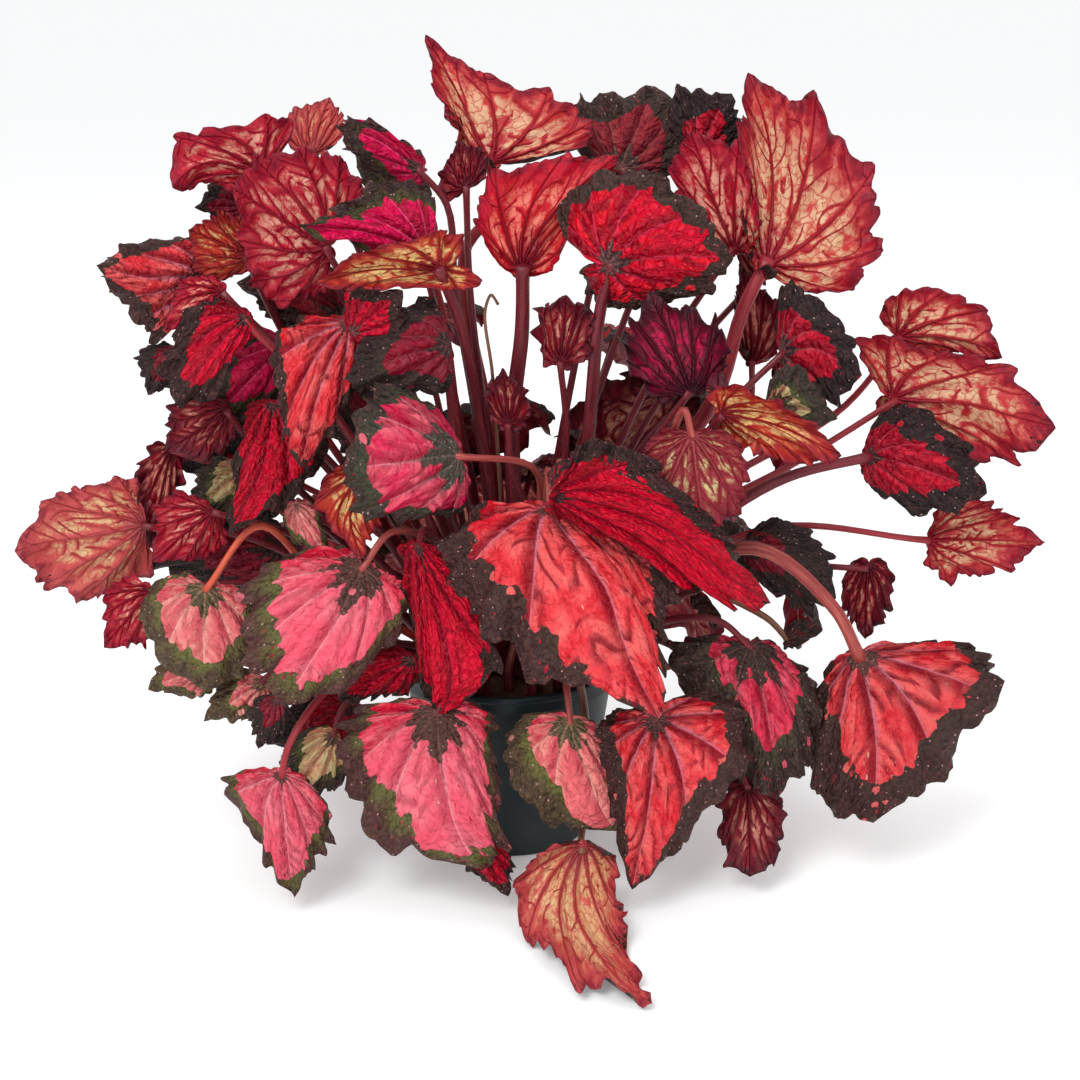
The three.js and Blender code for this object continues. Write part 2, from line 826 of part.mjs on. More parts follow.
        junction: [312, 152], tip: [330, 98],
        lobeA: [290, 112], lobeB: [344, 118], baseA: [292, 150], baseB: [334, 148],
        depth: [14, 22], cup: 4,
      },
    ],
  },
  {
    node: "shoot_top_left",
    foot: [-6, 2],
    look: LOOK.magenta,
    leaves: [
      {
        junction: [420, 170], tip: [340, 128], midrib: [380, 142],
        flankA: [356, 114], lobeA: [388, 132], baseA: [427, 158],
        flankB: [348, 152], lobeB: [376, 178], baseB: [424, 188],
        depth: [-18, -44], cup: 6, via: [[478, 430, -4], [455, 290, -10], [447, 205, -14]],
      },
      {
        small: true,
        junction: [466, 186], tip: [458, 140],
        lobeA: [440, 176], lobeB: [482, 150], baseA: [448, 200], baseB: [484, 178],
        depth: [-12, -16], cup: 4, via: [[485, 430, 4], [470, 290, -4]],
      },
      {
        small: true,
        junction: [414, 226], tip: [350, 148],
        lobeA: [372, 208], lobeB: [406, 162], baseA: [398, 236], baseB: [430, 206],
        depth: [14, 22], cup: 4,
      },
    ],
  },
  {
    node: "leaf_top_center",
    foot: [0, 16],
    look: LOOK.underside,
    leaves: [
      {
        junction: [490, 162], tip: [427, 37], midrib: [462, 102],
        flankA: [440, 88], lobeA: [458, 126], baseA: [470, 162],
        flankB: [486, 78], lobeB: [560, 98], baseB: [584, 150],
        depth: [0, 18], cup: 8, stalk: 3.4, via: [[492, 440, 18], [464, 255, 8], [497, 205, 0]],
      },
    ],
  },
  {
    node: "leaf_top_scarlet",
    foot: [10, 2],
    look: LOOK.crimson,
    leaves: [
      {
        junction: [522, 268], tip: [618, 154], midrib: [560, 205],
        flankA: [560, 158], lobeA: [486, 182], baseA: [498, 264],
        flankB: [600, 182], lobeB: [572, 220], baseB: [550, 272],
        depth: [-28, -22], cup: 8, stalk: 4.6, via: [[512, 430, -14], [522, 330, -22]],
      },
    ],
  },
  {
    node: "shoot_center_ruffled",
    foot: [18, -6],
    look: LOOK.wine,
    leaves: [
      {
        junction: [560, 362], tip: [566, 292], midrib: [564, 325],
        lobeA: [540, 308], lobeB: [590, 312], baseA: [544, 356], baseB: [582, 358],
        depth: [-36, -46], cup: 8, via: [[566, 440, -22]],
      },
      {
        small: true,
        junction: [508, 424], tip: [502, 368],
        lobeA: [488, 388], lobeB: [526, 390], baseA: [494, 422], baseB: [524, 424],
        depth: [-38, -44], cup: 4, via: [[548, 560, -8], [512, 470, -33]],
      },
    ],
  },
  {
    node: "shoot_top_dark",
    foot: [12, 14],
    look: LOOK.dark,
    leaves: [
      {
        junction: [620, 168], tip: [656, 84], midrib: [638, 128],
        flankA: [608, 94], lobeA: [577, 100], baseA: [586, 160],
        flankB: [684, 100], lobeB: [690, 148], baseB: [650, 182],
        depth: [18, 38], cup: 10,
      },
      {
        small: true,
        junction: [700, 158], tip: [732, 93],
        lobeA: [676, 88], lobeB: [746, 132], baseA: [678, 140], baseB: [728, 166],
        depth: [8, 16], cup: 6,
      },
    ],
  },
  {
    node: "shoot_upper_right_dark",
    foot: [18, 16],
    look: LOOK.wine,
    leaves: [
      {
        junction: [734, 250], tip: [690, 132], midrib: [710, 190],
        flankA: [672, 170], lobeA: [688, 220], baseA: [716, 258],
        flankB: [738, 150], lobeB: [754, 200], baseB: [754, 246],
        depth: [-8, -2], cup: 8,
      },
      {
        junction: [762, 276], tip: [748, 116], midrib: [752, 200],
        lobeA: [736, 196], lobeB: [772, 216], baseA: [738, 272], baseB: [776, 272],
        depth: [18, 30], cup: 6,
      },
    ],
  },
  {
    node: "leaf_bright_red",
    foot: [22, -12],
    look: LOOK.crimson,
    leaves: [
      {
        junction: [608, 264], tip: [732, 259], midrib: [668, 256],
        flankA: [700, 212], lobeA: [640, 170], baseA: [556, 208],
        flankB: [704, 294], lobeB: [640, 310], baseB: [584, 294],
        depth: [-42, -70], cup: 10, stalk: 3.8, via: [[586, 450, -22], [600, 310, -36]],
      },
    ],
  },
  {
    node: "leaf_top_right",
    foot: [22, 8],
    look: LOOK.underside,
    leaves: [
      {
        junction: [768, 264], tip: [748, 76], midrib: [772, 165],
        flankA: [745, 136], lobeA: [752, 220], baseA: [756, 270],
        flankB: [814, 112], lobeB: [874, 195], baseB: [846, 292],
        depth: [-16, 18], cup: 10, stalk: 4.4, via: [[640, 500, 0], [716, 395, -22], [742, 312, -22]],
      },
    ],
  },
  {
    node: "leaf_right_black_red",
    foot: [28, -4],
    look: LOOK.dark,
    leaves: [
      {
        junction: [782, 352], tip: [860, 376], midrib: [820, 350],
        flankA: [850, 335], lobeA: [814, 296], baseA: [776, 296],
        flankB: [836, 404], lobeB: [804, 404], baseB: [776, 396],
        depth: [-36, -54], cup: 8, via: [[660, 500, -34], [735, 400, -40]],
      },
    ],
  },
  {
    node: "leaf_right_ruffled",
    foot: [34, 16],
    look: LOOK.wine,
    leaves: [
      {
        junction: [752, 362], tip: [742, 266], midrib: [750, 315],
        lobeA: [734, 300], lobeB: [782, 305], baseA: [738, 350], baseB: [774, 356],
        depth: [2, 6], cup: 6, via: [[690, 480, 16], [748, 410, 6]],
      },
    ],
  },
  {
    node: "leaf_young_folded",
    foot: [28, -14],
    look: LOOK.magenta,
    leaves: [
      {
        junction: [690, 392], tip: [648, 290], midrib: [670, 338],
        lobeA: [622, 345], lobeB: [718, 320], baseA: [658, 392], baseB: [720, 376],
        depth: [-50, -64], cup: -10,
      },
    ],
  },
  {
    node: "leaf_right_upper",
    foot: [28, 10],
    look: LOOK.underside,
    leaves: [
      {
        junction: [900, 336], tip: [1004, 357], midrib: [952, 338],
        flankA: [984, 310], lobeA: [934, 289], baseA: [884, 306],
        flankB: [974, 352], lobeB: [936, 348], baseB: [894, 350],
        depth: [-4, -26], cup: 8, via: [[660, 520, -4], [840, 410, -2]],
      },
    ],
  },
  {
    node: "leaf_right_broad",
    foot: [34, 4],
    look: LOOK.underside,
    leaves: [
      {
        junction: [895, 398], tip: [1056, 428], midrib: [972, 404],
        flankA: [1004, 366], lobeA: [936, 352], baseA: [862, 340],
        flankB: [1006, 458], lobeB: [950, 444], baseB: [886, 428],
        depth: [-26, -56], cup: 10, via: [[650, 545, -18], [800, 460, -26]],
      },
    ],
  },
  {
    node: "leaf_right_red",
    foot: [34, -8],
    look: LOOK.crimson,
    leaves: [
      {
        junction: [868, 456], tip: [986, 494], midrib: [926, 470],
        flankA: [966, 446], lobeA: [914, 406], baseA: [872, 424],
        flankB: [948, 518], lobeB: [906, 510], baseB: [864, 484],
        depth: [-44, -72], cup: 10, stalk: 3.4, via: [[680, 545, -36], [780, 480, -44]],
      },
    ],
  },
  {
    node: "leaf_far_right_underside",
    foot: [42, 8],
    look: LOOK.underside,
    leaves: [
      {
        junction: [930, 540], tip: [1046, 540], midrib: [984, 540],
        flankA: [1010, 516], lobeA: [982, 500], baseA: [940, 508],
        flankB: [1010, 562], lobeB: [972, 574], baseB: [938, 566],
        depth: [-24, -44], cup: 6, via: [[760, 530, -12]],
      },
    ],
  },
  {
    node: "shoot_right_orange",
    foot: [24, -20],
    look: LOOK.underside,
    leaves: [
      {
        junction: [722, 414], tip: [842, 455], midrib: [780, 426],
        flankA: [808, 422], lobeA: [770, 402], baseA: [720, 388],
        flankB: [806, 462], lobeB: [770, 450], baseB: [732, 440],
        depth: [-70, -84], cup: 4, via: [[640, 520, -44], [700, 440, -62]],
      },
      {
        small: true,
        junction: [772, 408], tip: [838, 420],
        lobeA: [800, 366], lobeB: [796, 430], baseA: [770, 380], baseB: [764, 428],
        depth: [-60, -64], cup: 4, via: [[640, 520, -44], [720, 440, -54]],
      },
    ],
  },
  {
    node: "leaf_center_right_hanging",
    foot: [16, -32],
    look: LOOK.wine,
    leaves: [
      {
        junction: [692, 436], tip: [704, 534], midrib: [698, 485],
        flankA: [660, 505], lobeA: [644, 462], baseA: [664, 432],
        flankB: [738, 508], lobeB: [746, 466], baseB: [716, 432],
        depth: [-78, -88], cup: 6, via: [[650, 500, -60], [684, 410, -76]],
      },
    ],
  },
  {
    node: "leaf_right_center_brown",
    foot: [42, -8],
    look: LOOK.wine,
    leaves: [
      {
        junction: [748, 545], tip: [836, 600], midrib: [790, 570],
        flankA: [830, 555], lobeA: [800, 526], baseA: [756, 524],
        flankB: [808, 612], lobeB: [770, 590], baseB: [742, 570],
        depth: [-32, -42], cup: 6,
      },
    ],
  },
  {
    node: "leaf_lower_right_dark",
    foot: [28, -28],
    look: LOOK.dark,
    leaves: [
      {
        junction: [752, 646], tip: [776, 800], midrib: [768, 720],
        flankA: [742, 780], lobeA: [672, 672], baseA: [706, 634],
        flankB: [812, 760], lobeB: [820, 692], baseB: [784, 650],
        depth: [-66, -92], cup: 10, via: [[636, 628, -46], [716, 620, -62]],
      },
    ],
  },
  {
    node: "leaf_lower_right_hanging",
    foot: [40, -24],
    look: LOOK.dark,
    leaves: [
      {
        junction: [748, 788], tip: [750, 877], midrib: [750, 832],
        flankA: [728, 862], lobeA: [722, 824], baseA: [730, 788],
        flankB: [772, 862], lobeB: [780, 826], baseB: [768, 788],
        depth: [-74, -94], cup: 8, via: [[660, 640, -44], [712, 690, -62], [738, 760, -70]],
      },
    ],
  },
  {
    node: "leaf_right_lower_coral",
    foot: [38, -16],
    look: LOOK.coral,
    leaves: [
      {
        junction: [860, 655], tip: [874, 822], midrib: [876, 740],
        flankA: [822, 806], lobeA: [800, 734], baseA: [832, 660],
        flankB: [944, 776], lobeB: [1002, 682], baseB: [930, 642],
        depth: [-60, -92], cup: 16, stalk: 4.2, via: [[650, 586, -42], [755, 548, -54], [832, 606, -60]],
      },
    ],
  },
  {
    node: "shoot_right_purple_bud",
    foot: [45, 0],
    look: LOOK.wine,
    leaves: [
      {
        small: true,
        junction: [868, 566], tip: [864, 638],
        lobeA: [842, 604], lobeB: [890, 606], baseA: [852, 562], baseB: [886, 562],
        depth: [-24, -30], cup: 4,
      },
      {
        small: true,
        junction: [786, 640], tip: [822, 632],
        lobeA: [802, 618], lobeB: [800, 646], baseA: [784, 630], baseB: [784, 650],
        depth: [-46, -52], cup: 4, via: [[640, 575, -20], [762, 615, -42]],
      },
    ],
  },
  {
    node: "leaf_bottom",
    foot: [24, -38],
    look: LOOK.underside,
    leaves: [
      {
        junction: [583, 847], tip: [652, 1012], midrib: [580, 925],
        flankA: [576, 990], lobeA: [520, 926], baseA: [540, 852],
        flankB: [634, 974], lobeB: [616, 906], baseB: [612, 850],
        trail: { fromRow: 840, toRow: 950, drop: 43 },
        via: [[575, 672, -60], [588, 770, -66], [580, 848, -90]],
      },
    ],
  },
];

// A leaf on the far side has a bearing round the pot in degrees, the reach and height of its junction, its
// blade's length and its droop in degrees. The last leaf of the middle shoot is seen through the stalks.
const FAR_GROWTHS = [
  {
    node: "shoot_back_left_high",
    foot: [-18, 30],
    look: LOOK.crimson,
    leaves: [
      { bearing: 128, reach: 88, height: 296, length: 92, droop: 30 },
      { bearing: 150, reach: 116, height: 262, length: 100, droop: 38 },
      { bearing: 148, reach: 70, height: 224, length: 82, droop: 48 },
    ],
  },
  {
    node: "shoot_back_left_low",
    foot: [-30, 24],
    look: LOOK.wine,
    leaves: [
      { bearing: 132, reach: 128, height: 190, length: 104, droop: 54 },
      { bearing: 158, reach: 140, height: 172, length: 96, droop: 58 },
      { bearing: 146, reach: 98, height: 148, length: 88, droop: 66 },
    ],
  },
  {
    node: "shoot_back_middle",
    foot: [0, 38],
    look: LOOK.dark,
    leaves: [
      { bearing: 106, reach: 98, height: 184, length: 104, droop: 56 },
      { bearing: 82, reach: 92, height: 198, length: 96, droop: 50 },
      { bearing: 102, reach: 46, height: 244, length: 72, droop: 44 },
      {
        junction: [604, 468], tip: [662, 350], midrib: [636, 410],
        lobeA: [562, 420], lobeB: [708, 424], baseA: [578, 470], baseB: [640, 480],
        depth: [58, 76], cup: 6,
      },
    ],
  },
  {
    node: "shoot_back_right_high",
    foot: [14, 30],
    look: LOOK.crimson,
    leaves: [
      { bearing: 48, reach: 92, height: 286, length: 90, droop: 34 },
      { bearing: 26, reach: 118, height: 256, length: 100, droop: 40 },
      { bearing: 34, reach: 72, height: 222, length: 80, droop: 48 },
    ],
  },
  {
    node: "shoot_back_right_low",
    foot: [30, 28],
    look: LOOK.wine,
    leaves: [
      { bearing: 44, reach: 130, height: 188, length: 104, droop: 54 },
      { bearing: 18, reach: 144, height: 170, length: 96, droop: 58 },
      { bearing: 30, reach: 100, height: 148, length: 88, droop: 66 },
    ],
  },
];

const plant = new THREE.Group();
plant.name = "potted_rex_begonia";

function addMesh(name, geometry, look) {
  const mesh = new THREE.Mesh(geometry, new THREE.MeshStandardMaterial({ metalness: 0, ...look }));
  mesh.name = name;
  plant.add(mesh);
}

// The pot: a turned shell with a band round its rim, a flat base with a bevelled edge, and drain holes.
const ROUND_STEPS = 32;
const MAT_STEPS = 24;
const HOLE_STEPS = 12;
const HOLE_RADIUS = 4;
const HOLE_CIRCLE = POT_BASE_RADIUS * 0.62;
const HOLE_COUNT = 6;
const RIM_STANDS_OUT = 2;
const FOOT_BEVEL = 1.5;
const RIM_BEVEL = 0.8;
const BAND_FLAT = 0.6;
const wallTop = POT_TOP_RADIUS - RIM_STANDS_OUT;
const bandBottom = POT_HEIGHT - RIM_BAND;
const wallRadius = (height) => POT_BASE_RADIUS + ((wallTop - POT_BASE_RADIUS) * height) / POT_HEIGHT;
const innerRadius = (height) => wallRadius(height) - POT_WALL;
const profileOf = (corners) => corners.map(([radius, height]) => new THREE.Vector2(radius, height));
const turned = (corners, steps) => new THREE.LatheGeometry(profileOf(corners), steps).rotateX(Math.PI / 2);
const potProfile = [
  [0, 0],
  [POT_BASE_RADIUS - FOOT_BEVEL, 0],
  [POT_BASE_RADIUS, FOOT_BEVEL],
  [wallRadius(bandBottom), bandBottom],
  [POT_TOP_RADIUS - BAND_FLAT, bandBottom],
  [POT_TOP_RADIUS, bandBottom + BAND_FLAT],
  [POT_TOP_RADIUS, POT_HEIGHT - RIM_BEVEL],
  [POT_TOP_RADIUS - RIM_BEVEL, POT_HEIGHT],
  [innerRadius(POT_HEIGHT) + RIM_BEVEL, POT_HEIGHT],
  [innerRadius(POT_HEIGHT), POT_HEIGHT - RIM_BEVEL],
  [innerRadius(BASE_THICKNESS), BASE_THICKNESS],
  [0, BASE_THICKNESS],
];
let potSolid = solidOf(turned(potProfile, ROUND_STEPS));
for (let i = 0; i < HOLE_COUNT; i += 1) {
  const turn = (2 * Math.PI * i) / HOLE_COUNT;
  const drill = new THREE.CylinderGeometry(HOLE_RADIUS, HOLE_RADIUS, 4 * BASE_THICKNESS, HOLE_STEPS)
    .rotateX(Math.PI / 2)
    .translate(HOLE_CIRCLE * Math.cos(turn), HOLE_CIRCLE * Math.sin(turn), BASE_THICKNESS / 2);
  potSolid = potSolid.subtract(solidOf(drill));
}
addMesh("pot", geometryOf(potSolid), { color: 0x182a30, roughness: 0.38 });

// The soil fills the pot to below its rim, and the rhizome lies on it as a low round mat.
const soilBottom = BASE_THICKNESS + FIT_GAP;
const soilProfile = [
  [0, soilBottom],
  [innerRadius(soilBottom) - FIT_GAP, soilBottom],
  [innerRadius(SOIL_TOP) - FIT_GAP, SOIL_TOP],
  [0, SOIL_TOP],
];
addMesh("soil", turned(soilProfile, ROUND_STEPS), { color: 0x2e211a, roughness: 0.95 });
const MAT_LOWER_ROUNDING = 2;
const MAT_UPPER_ROUNDING = 3;
const matProfile = [
  [0, MAT_BOTTOM],
  [MAT_RADIUS - MAT_LOWER_ROUNDING, MAT_BOTTOM],
  [MAT_RADIUS, MAT_BOTTOM + MAT_THICKNESS / 2],
  [MAT_RADIUS - MAT_UPPER_ROUNDING, MAT_TOP],
  [0, MAT_TOP],
];
addMesh("rhizome_mat", turned(matProfile, MAT_STEPS), { color: 0x6b4a38, roughness: 0.8 });

// Each growth is cleared of those before it and keeps its largest body.
const cleared = [];
for (const { node, look, leaves, foot: chosen } of [...GROWTHS, ...FAR_GROWTHS]) {
  const foot = footFor(surfaceOf(leaves[0])(0, 0), chosen);
  const joined = (grown) =>
    leaves
      .map((leaf, index) => leafSolid(leaf, footInShoot(foot, index, leaves.length), grown))
      .reduce((all, solid) => all.add(solid));
  let body = joined(0);
  for (const neighbour of cleared) body = body.subtract(neighbour);
  const bodies = body.decompose().sort((a, b) => b.volume() - a.volume());
  addMesh(node, geometryOf(bodies[0]), look);
  cleared.push(joined(LEAF_CLEARANCE));
}

export default plant;
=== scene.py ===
"""The looks of a rex begonia growing in a round nursery pot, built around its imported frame.

Lengths are worked out in millimetres and put into meshes in metres. The pot stands on Z = 0 about the Z axis.
"""

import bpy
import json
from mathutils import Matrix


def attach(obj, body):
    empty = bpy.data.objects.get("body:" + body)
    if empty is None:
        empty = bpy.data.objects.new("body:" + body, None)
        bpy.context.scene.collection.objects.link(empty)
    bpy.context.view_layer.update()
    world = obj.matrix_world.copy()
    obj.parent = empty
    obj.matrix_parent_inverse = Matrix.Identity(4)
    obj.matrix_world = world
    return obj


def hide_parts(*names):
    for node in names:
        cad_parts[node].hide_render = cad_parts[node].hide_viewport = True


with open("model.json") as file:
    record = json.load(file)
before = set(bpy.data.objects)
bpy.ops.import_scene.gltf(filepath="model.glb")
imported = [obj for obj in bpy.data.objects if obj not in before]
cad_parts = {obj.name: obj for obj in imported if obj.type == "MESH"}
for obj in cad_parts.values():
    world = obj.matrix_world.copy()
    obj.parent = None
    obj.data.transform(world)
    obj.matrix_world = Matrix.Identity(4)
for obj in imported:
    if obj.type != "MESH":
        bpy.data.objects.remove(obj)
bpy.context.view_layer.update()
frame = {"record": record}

import json
import logging
import math
from abc import ABC, abstractmethod
from dataclasses import dataclass, field
from enum import Enum, IntEnum
from typing import Optional, Union

import bpy
import numpy as np

LOG = logging.getLogger("begonia")
MM = 0.001
DECIMETRE = 100.0
BODY = "root"

Array = np.ndarray
Material = bpy.types.Material
Piece = bpy.types.Object
Place = tuple[float, float]
Colour = tuple[float, float, float, float]


def paint(red: int, green: int, blue: int) -> Colour:
    """Turns a display colour of 0 to 255 a channel into the linear colour that a shader takes.

    Args:
        red: Red channel.
        green: Green channel.
        blue: Blue channel.

    Returns:
        Linear red, green and blue with full opacity.
    """
    shares = np.array([red, green, blue]) / 255.0
    linear = np.where(shares <= 0.04045, shares / 12.92, ((shares + 0.055) / 1.055) ** 2.4)
    return (float(linear[0]), float(linear[1]), float(linear[2]), 1.0)


def nearest_gap(count: Array) -> Array:
    """Gives the distance of a count from the nearest whole number: 0 on it and 0.5 midway."""
    return np.abs(count - np.round(count))


def eased(value: Array, low: float, high: float) -> Array:
    """Rises smoothly from 0 at low to 1 at high, as three squares less two cubes of the share.

    Args:
        value: Values to map.
        low: Value at which the rise starts.
        high: Value at which it ends.

    Returns:
        Shares from 0 to 1.
    """
    share = np.clip((value - low) / (high - low), 0.0, 1.0)
    return share * share * (3.0 - 2.0 * share)


WAVES = 9


def wavy(x: Array, y: Array, wavelength: float, random: np.random.Generator) -> Array:
    """Gives a rough surface's height as a mean of sine waves that run in seeded directions.

    Args:
        x: Places.
        y: Places.
        wavelength: Mean length of the waves, in the places' unit.
        random: Source of directions, lengths and shifts.

    Returns:
        Heights of about -1 to 1.
    """
    total = np.zeros_like(x)
    for _ in range(WAVES):
        turn, shift = random.uniform(0, 2 * math.pi, 2)
        pace = 2 * math.pi / (wavelength * random.uniform(0.6, 1.6))
        total += np.sin((x * math.cos(turn) + y * math.sin(turn)) * pace + shift)
    return total / math.sqrt(WAVES)


@dataclass(frozen=True)
class MeasuredView:
    """The view in which the leaves were measured, in mm and in pixels of its 1080 by 1080 picture."""

    eye: tuple[float, float, float] = (18.0, -950.0, 488.0)
    pitch: float = math.radians(18.1)
    centre: float = 540.0
    focal: float = 1750.0

    def drop(self, down: Array) -> Array:
        """Gives the angle below the horizon of the rays through a row of the picture."""
        return self.pitch + np.arctan((down - self.centre) / self.focal)

    def placed(self, across: Array, down: Array, depth: Array) -> Array:
        """Finds the points that are seen at given places and lie at given depths behind the pot's axis.

        The height falls by the reach times the tangent of the ray's drop. The sideways place is the pixel's
        distance from the centre times the distance along the view's axis over the focal length.

        Args:
            across: Columns in the picture.
            down: Rows in the picture.
            depth: Distances behind the pot's axis, in mm.

        Returns:
            Points, with their three coordinates last.
        """
        across, down, depth = np.broadcast_arrays(across, down, depth)
        reach = depth - self.eye[1]
        height = self.eye[2] - reach * np.tan(self.drop(down))
        along = reach * math.cos(self.pitch) + (self.eye[2] - height) * math.sin(self.pitch)
        sideways = self.eye[0] + (across - self.centre) / self.focal * along
        return np.stack([sideways, depth, height], axis=-1)

    def marked(self, marks: tuple) -> list[Array]:
        """Places marks, each a column, a row and a depth."""
        return [self.placed(*(np.array(float(number)) for number in mark)) for mark in marks]


VIEW = MeasuredView()


class Upper(Enum):
    """The colourings of a leaf's upper face."""

    CORAL = "coral"
    PINK = "pink"
    HOT_PINK = "hot_pink"
    MAGENTA = "magenta"
    CRIMSON = "crimson"
    SCARLET = "scarlet"
    PALE = "pale"
    OLIVE_CREAM = "olive_cream"
    DARK = "dark"
    DARK_RED = "dark_red"
    DARK_PINK = "dark_pink"
    DUSKY = "dusky"


class Under(Enum):
    """The colourings of a leaf's underside."""

    CREAM = "cream"
    ROSE = "rose"
    SCARLET = "scarlet"
    BLUSH = "blush"
    AMBER = "amber"
    DUSKY = "dusky"
    WINE = "wine"
    MAGENTA = "magenta"


class Stem(Enum):
    """The colourings of a leaf's stalk."""

    MAROON = "maroon"
    CRIMSON = "crimson"
    SALMON = "salmon"
    ORANGE = "orange"
    DRY = "dry"


@dataclass(frozen=True)
class Patch:
    """How far the coloured patch of a blade reaches, in shares of the way from the stalk to the margin.

    Args:
        star: Where the dark star round the stalk ends.
        band: Where the dark margin starts.
        lean: How much further the patch reaches on side B than at the midrib.
        tipward: How much further it reaches at the tip.
    """

    star: float = 0.2
    band: float = 0.72
    lean: float = 0.0
    tipward: float = 0.08


@dataclass(frozen=True)
class Trail:
    """How a leaf comes down to the surface: the rows where its fall starts and ends, and the fall in mm."""

    from_row: float
    to_row: float
    drop: float


@dataclass(frozen=True, kw_only=True)
class Dressed:
    """What every leaf has beside its place.

    Args:
        via: Places that the stalk passes before the blade, each a column, a row and a depth in mm.
        stalk: Radius of the stalk in mm.
        face: Colouring of the face that is seen, or of the upper face on the far side.
        patch: Reach of the upper face's coloured patch.
        ruffle: Height of the margin's waves, in blade lengths.
        stem: Colouring of the stalk.
    """

    via: tuple = ()
    stalk: float = 2.2
    face: Union[Upper, Under] = Upper.CRIMSON
    patch: Patch = Patch()
    ruffle: float = 0.035
    stem: Stem = Stem.MAROON

    @property
    def upper(self) -> Upper:
        """Gives the upper face's colouring, crimson where it isn't seen."""
        return self.face if isinstance(self.face, Upper) else Upper.CRIMSON

    @property
    def under(self) -> Under:
        """Gives the underside's colouring, rose where it isn't seen."""
        return self.face if isinstance(self.face, Under) else Under.ROSE


@dataclass(frozen=True)
class Leaf(Dressed):
    """One measured leaf. Its marks are columns and rows of the measured view; A and B are its two sides.

    Args:
        junction: Where the stalk joins the blade.
        tip: The blade's tip.
        midrib: The place midway along the midrib.
        flank_a: The margin of side A between lobe and tip.
        flank_b: The same of side B.
        lobe_a: The margin of side A where it is widest.
        lobe_b: The same of side B.
        base_a: The margin of side A behind the stalk.
        base_b: The same of side B.
        depth: How far behind the pot's axis junction and tip lie, in mm.
        cup: How much deeper the blade lies a blade length aside of its midrib, in mm.
        trail: How it comes down to the surface, for a leaf that reaches it.
    """

    junction: Place
    tip: Place
    midrib: Optional[Place] = None
    flank_a: Optional[Place] = None
    flank_b: Optional[Place] = None
    lobe_a: Optional[Place] = None
    lobe_b: Optional[Place] = None
    base_a: Optional[Place] = None
    base_b: Optional[Place] = None
    depth: Place = (0.0, 0.0)
    cup: float = 0.0
    trail: Optional[Trail] = None


@dataclass(frozen=True)
class FarLeaf(Dressed):
    """One leaf of the far side.

    Args:
        bearing: Its bearing round the pot in degrees.
        reach: How far out its junction lies, in mm.
        height: How high its junction lies, in mm.
        length: Length of the blade in mm.
        droop: How steeply it falls, in degrees.
        ruffle: Height of the margin's waves, in blade lengths.
    """

    bearing: float
    reach: float
    height: float
    length: float
    droop: float
    ruffle: float = field(default=0.04, kw_only=True)


@dataclass(frozen=True)
class Growth:
    """A leaf or a shoot of leaves on one foot, which stands for the CAD node of that name."""

    node: str
    foot: Place
    leaves: list


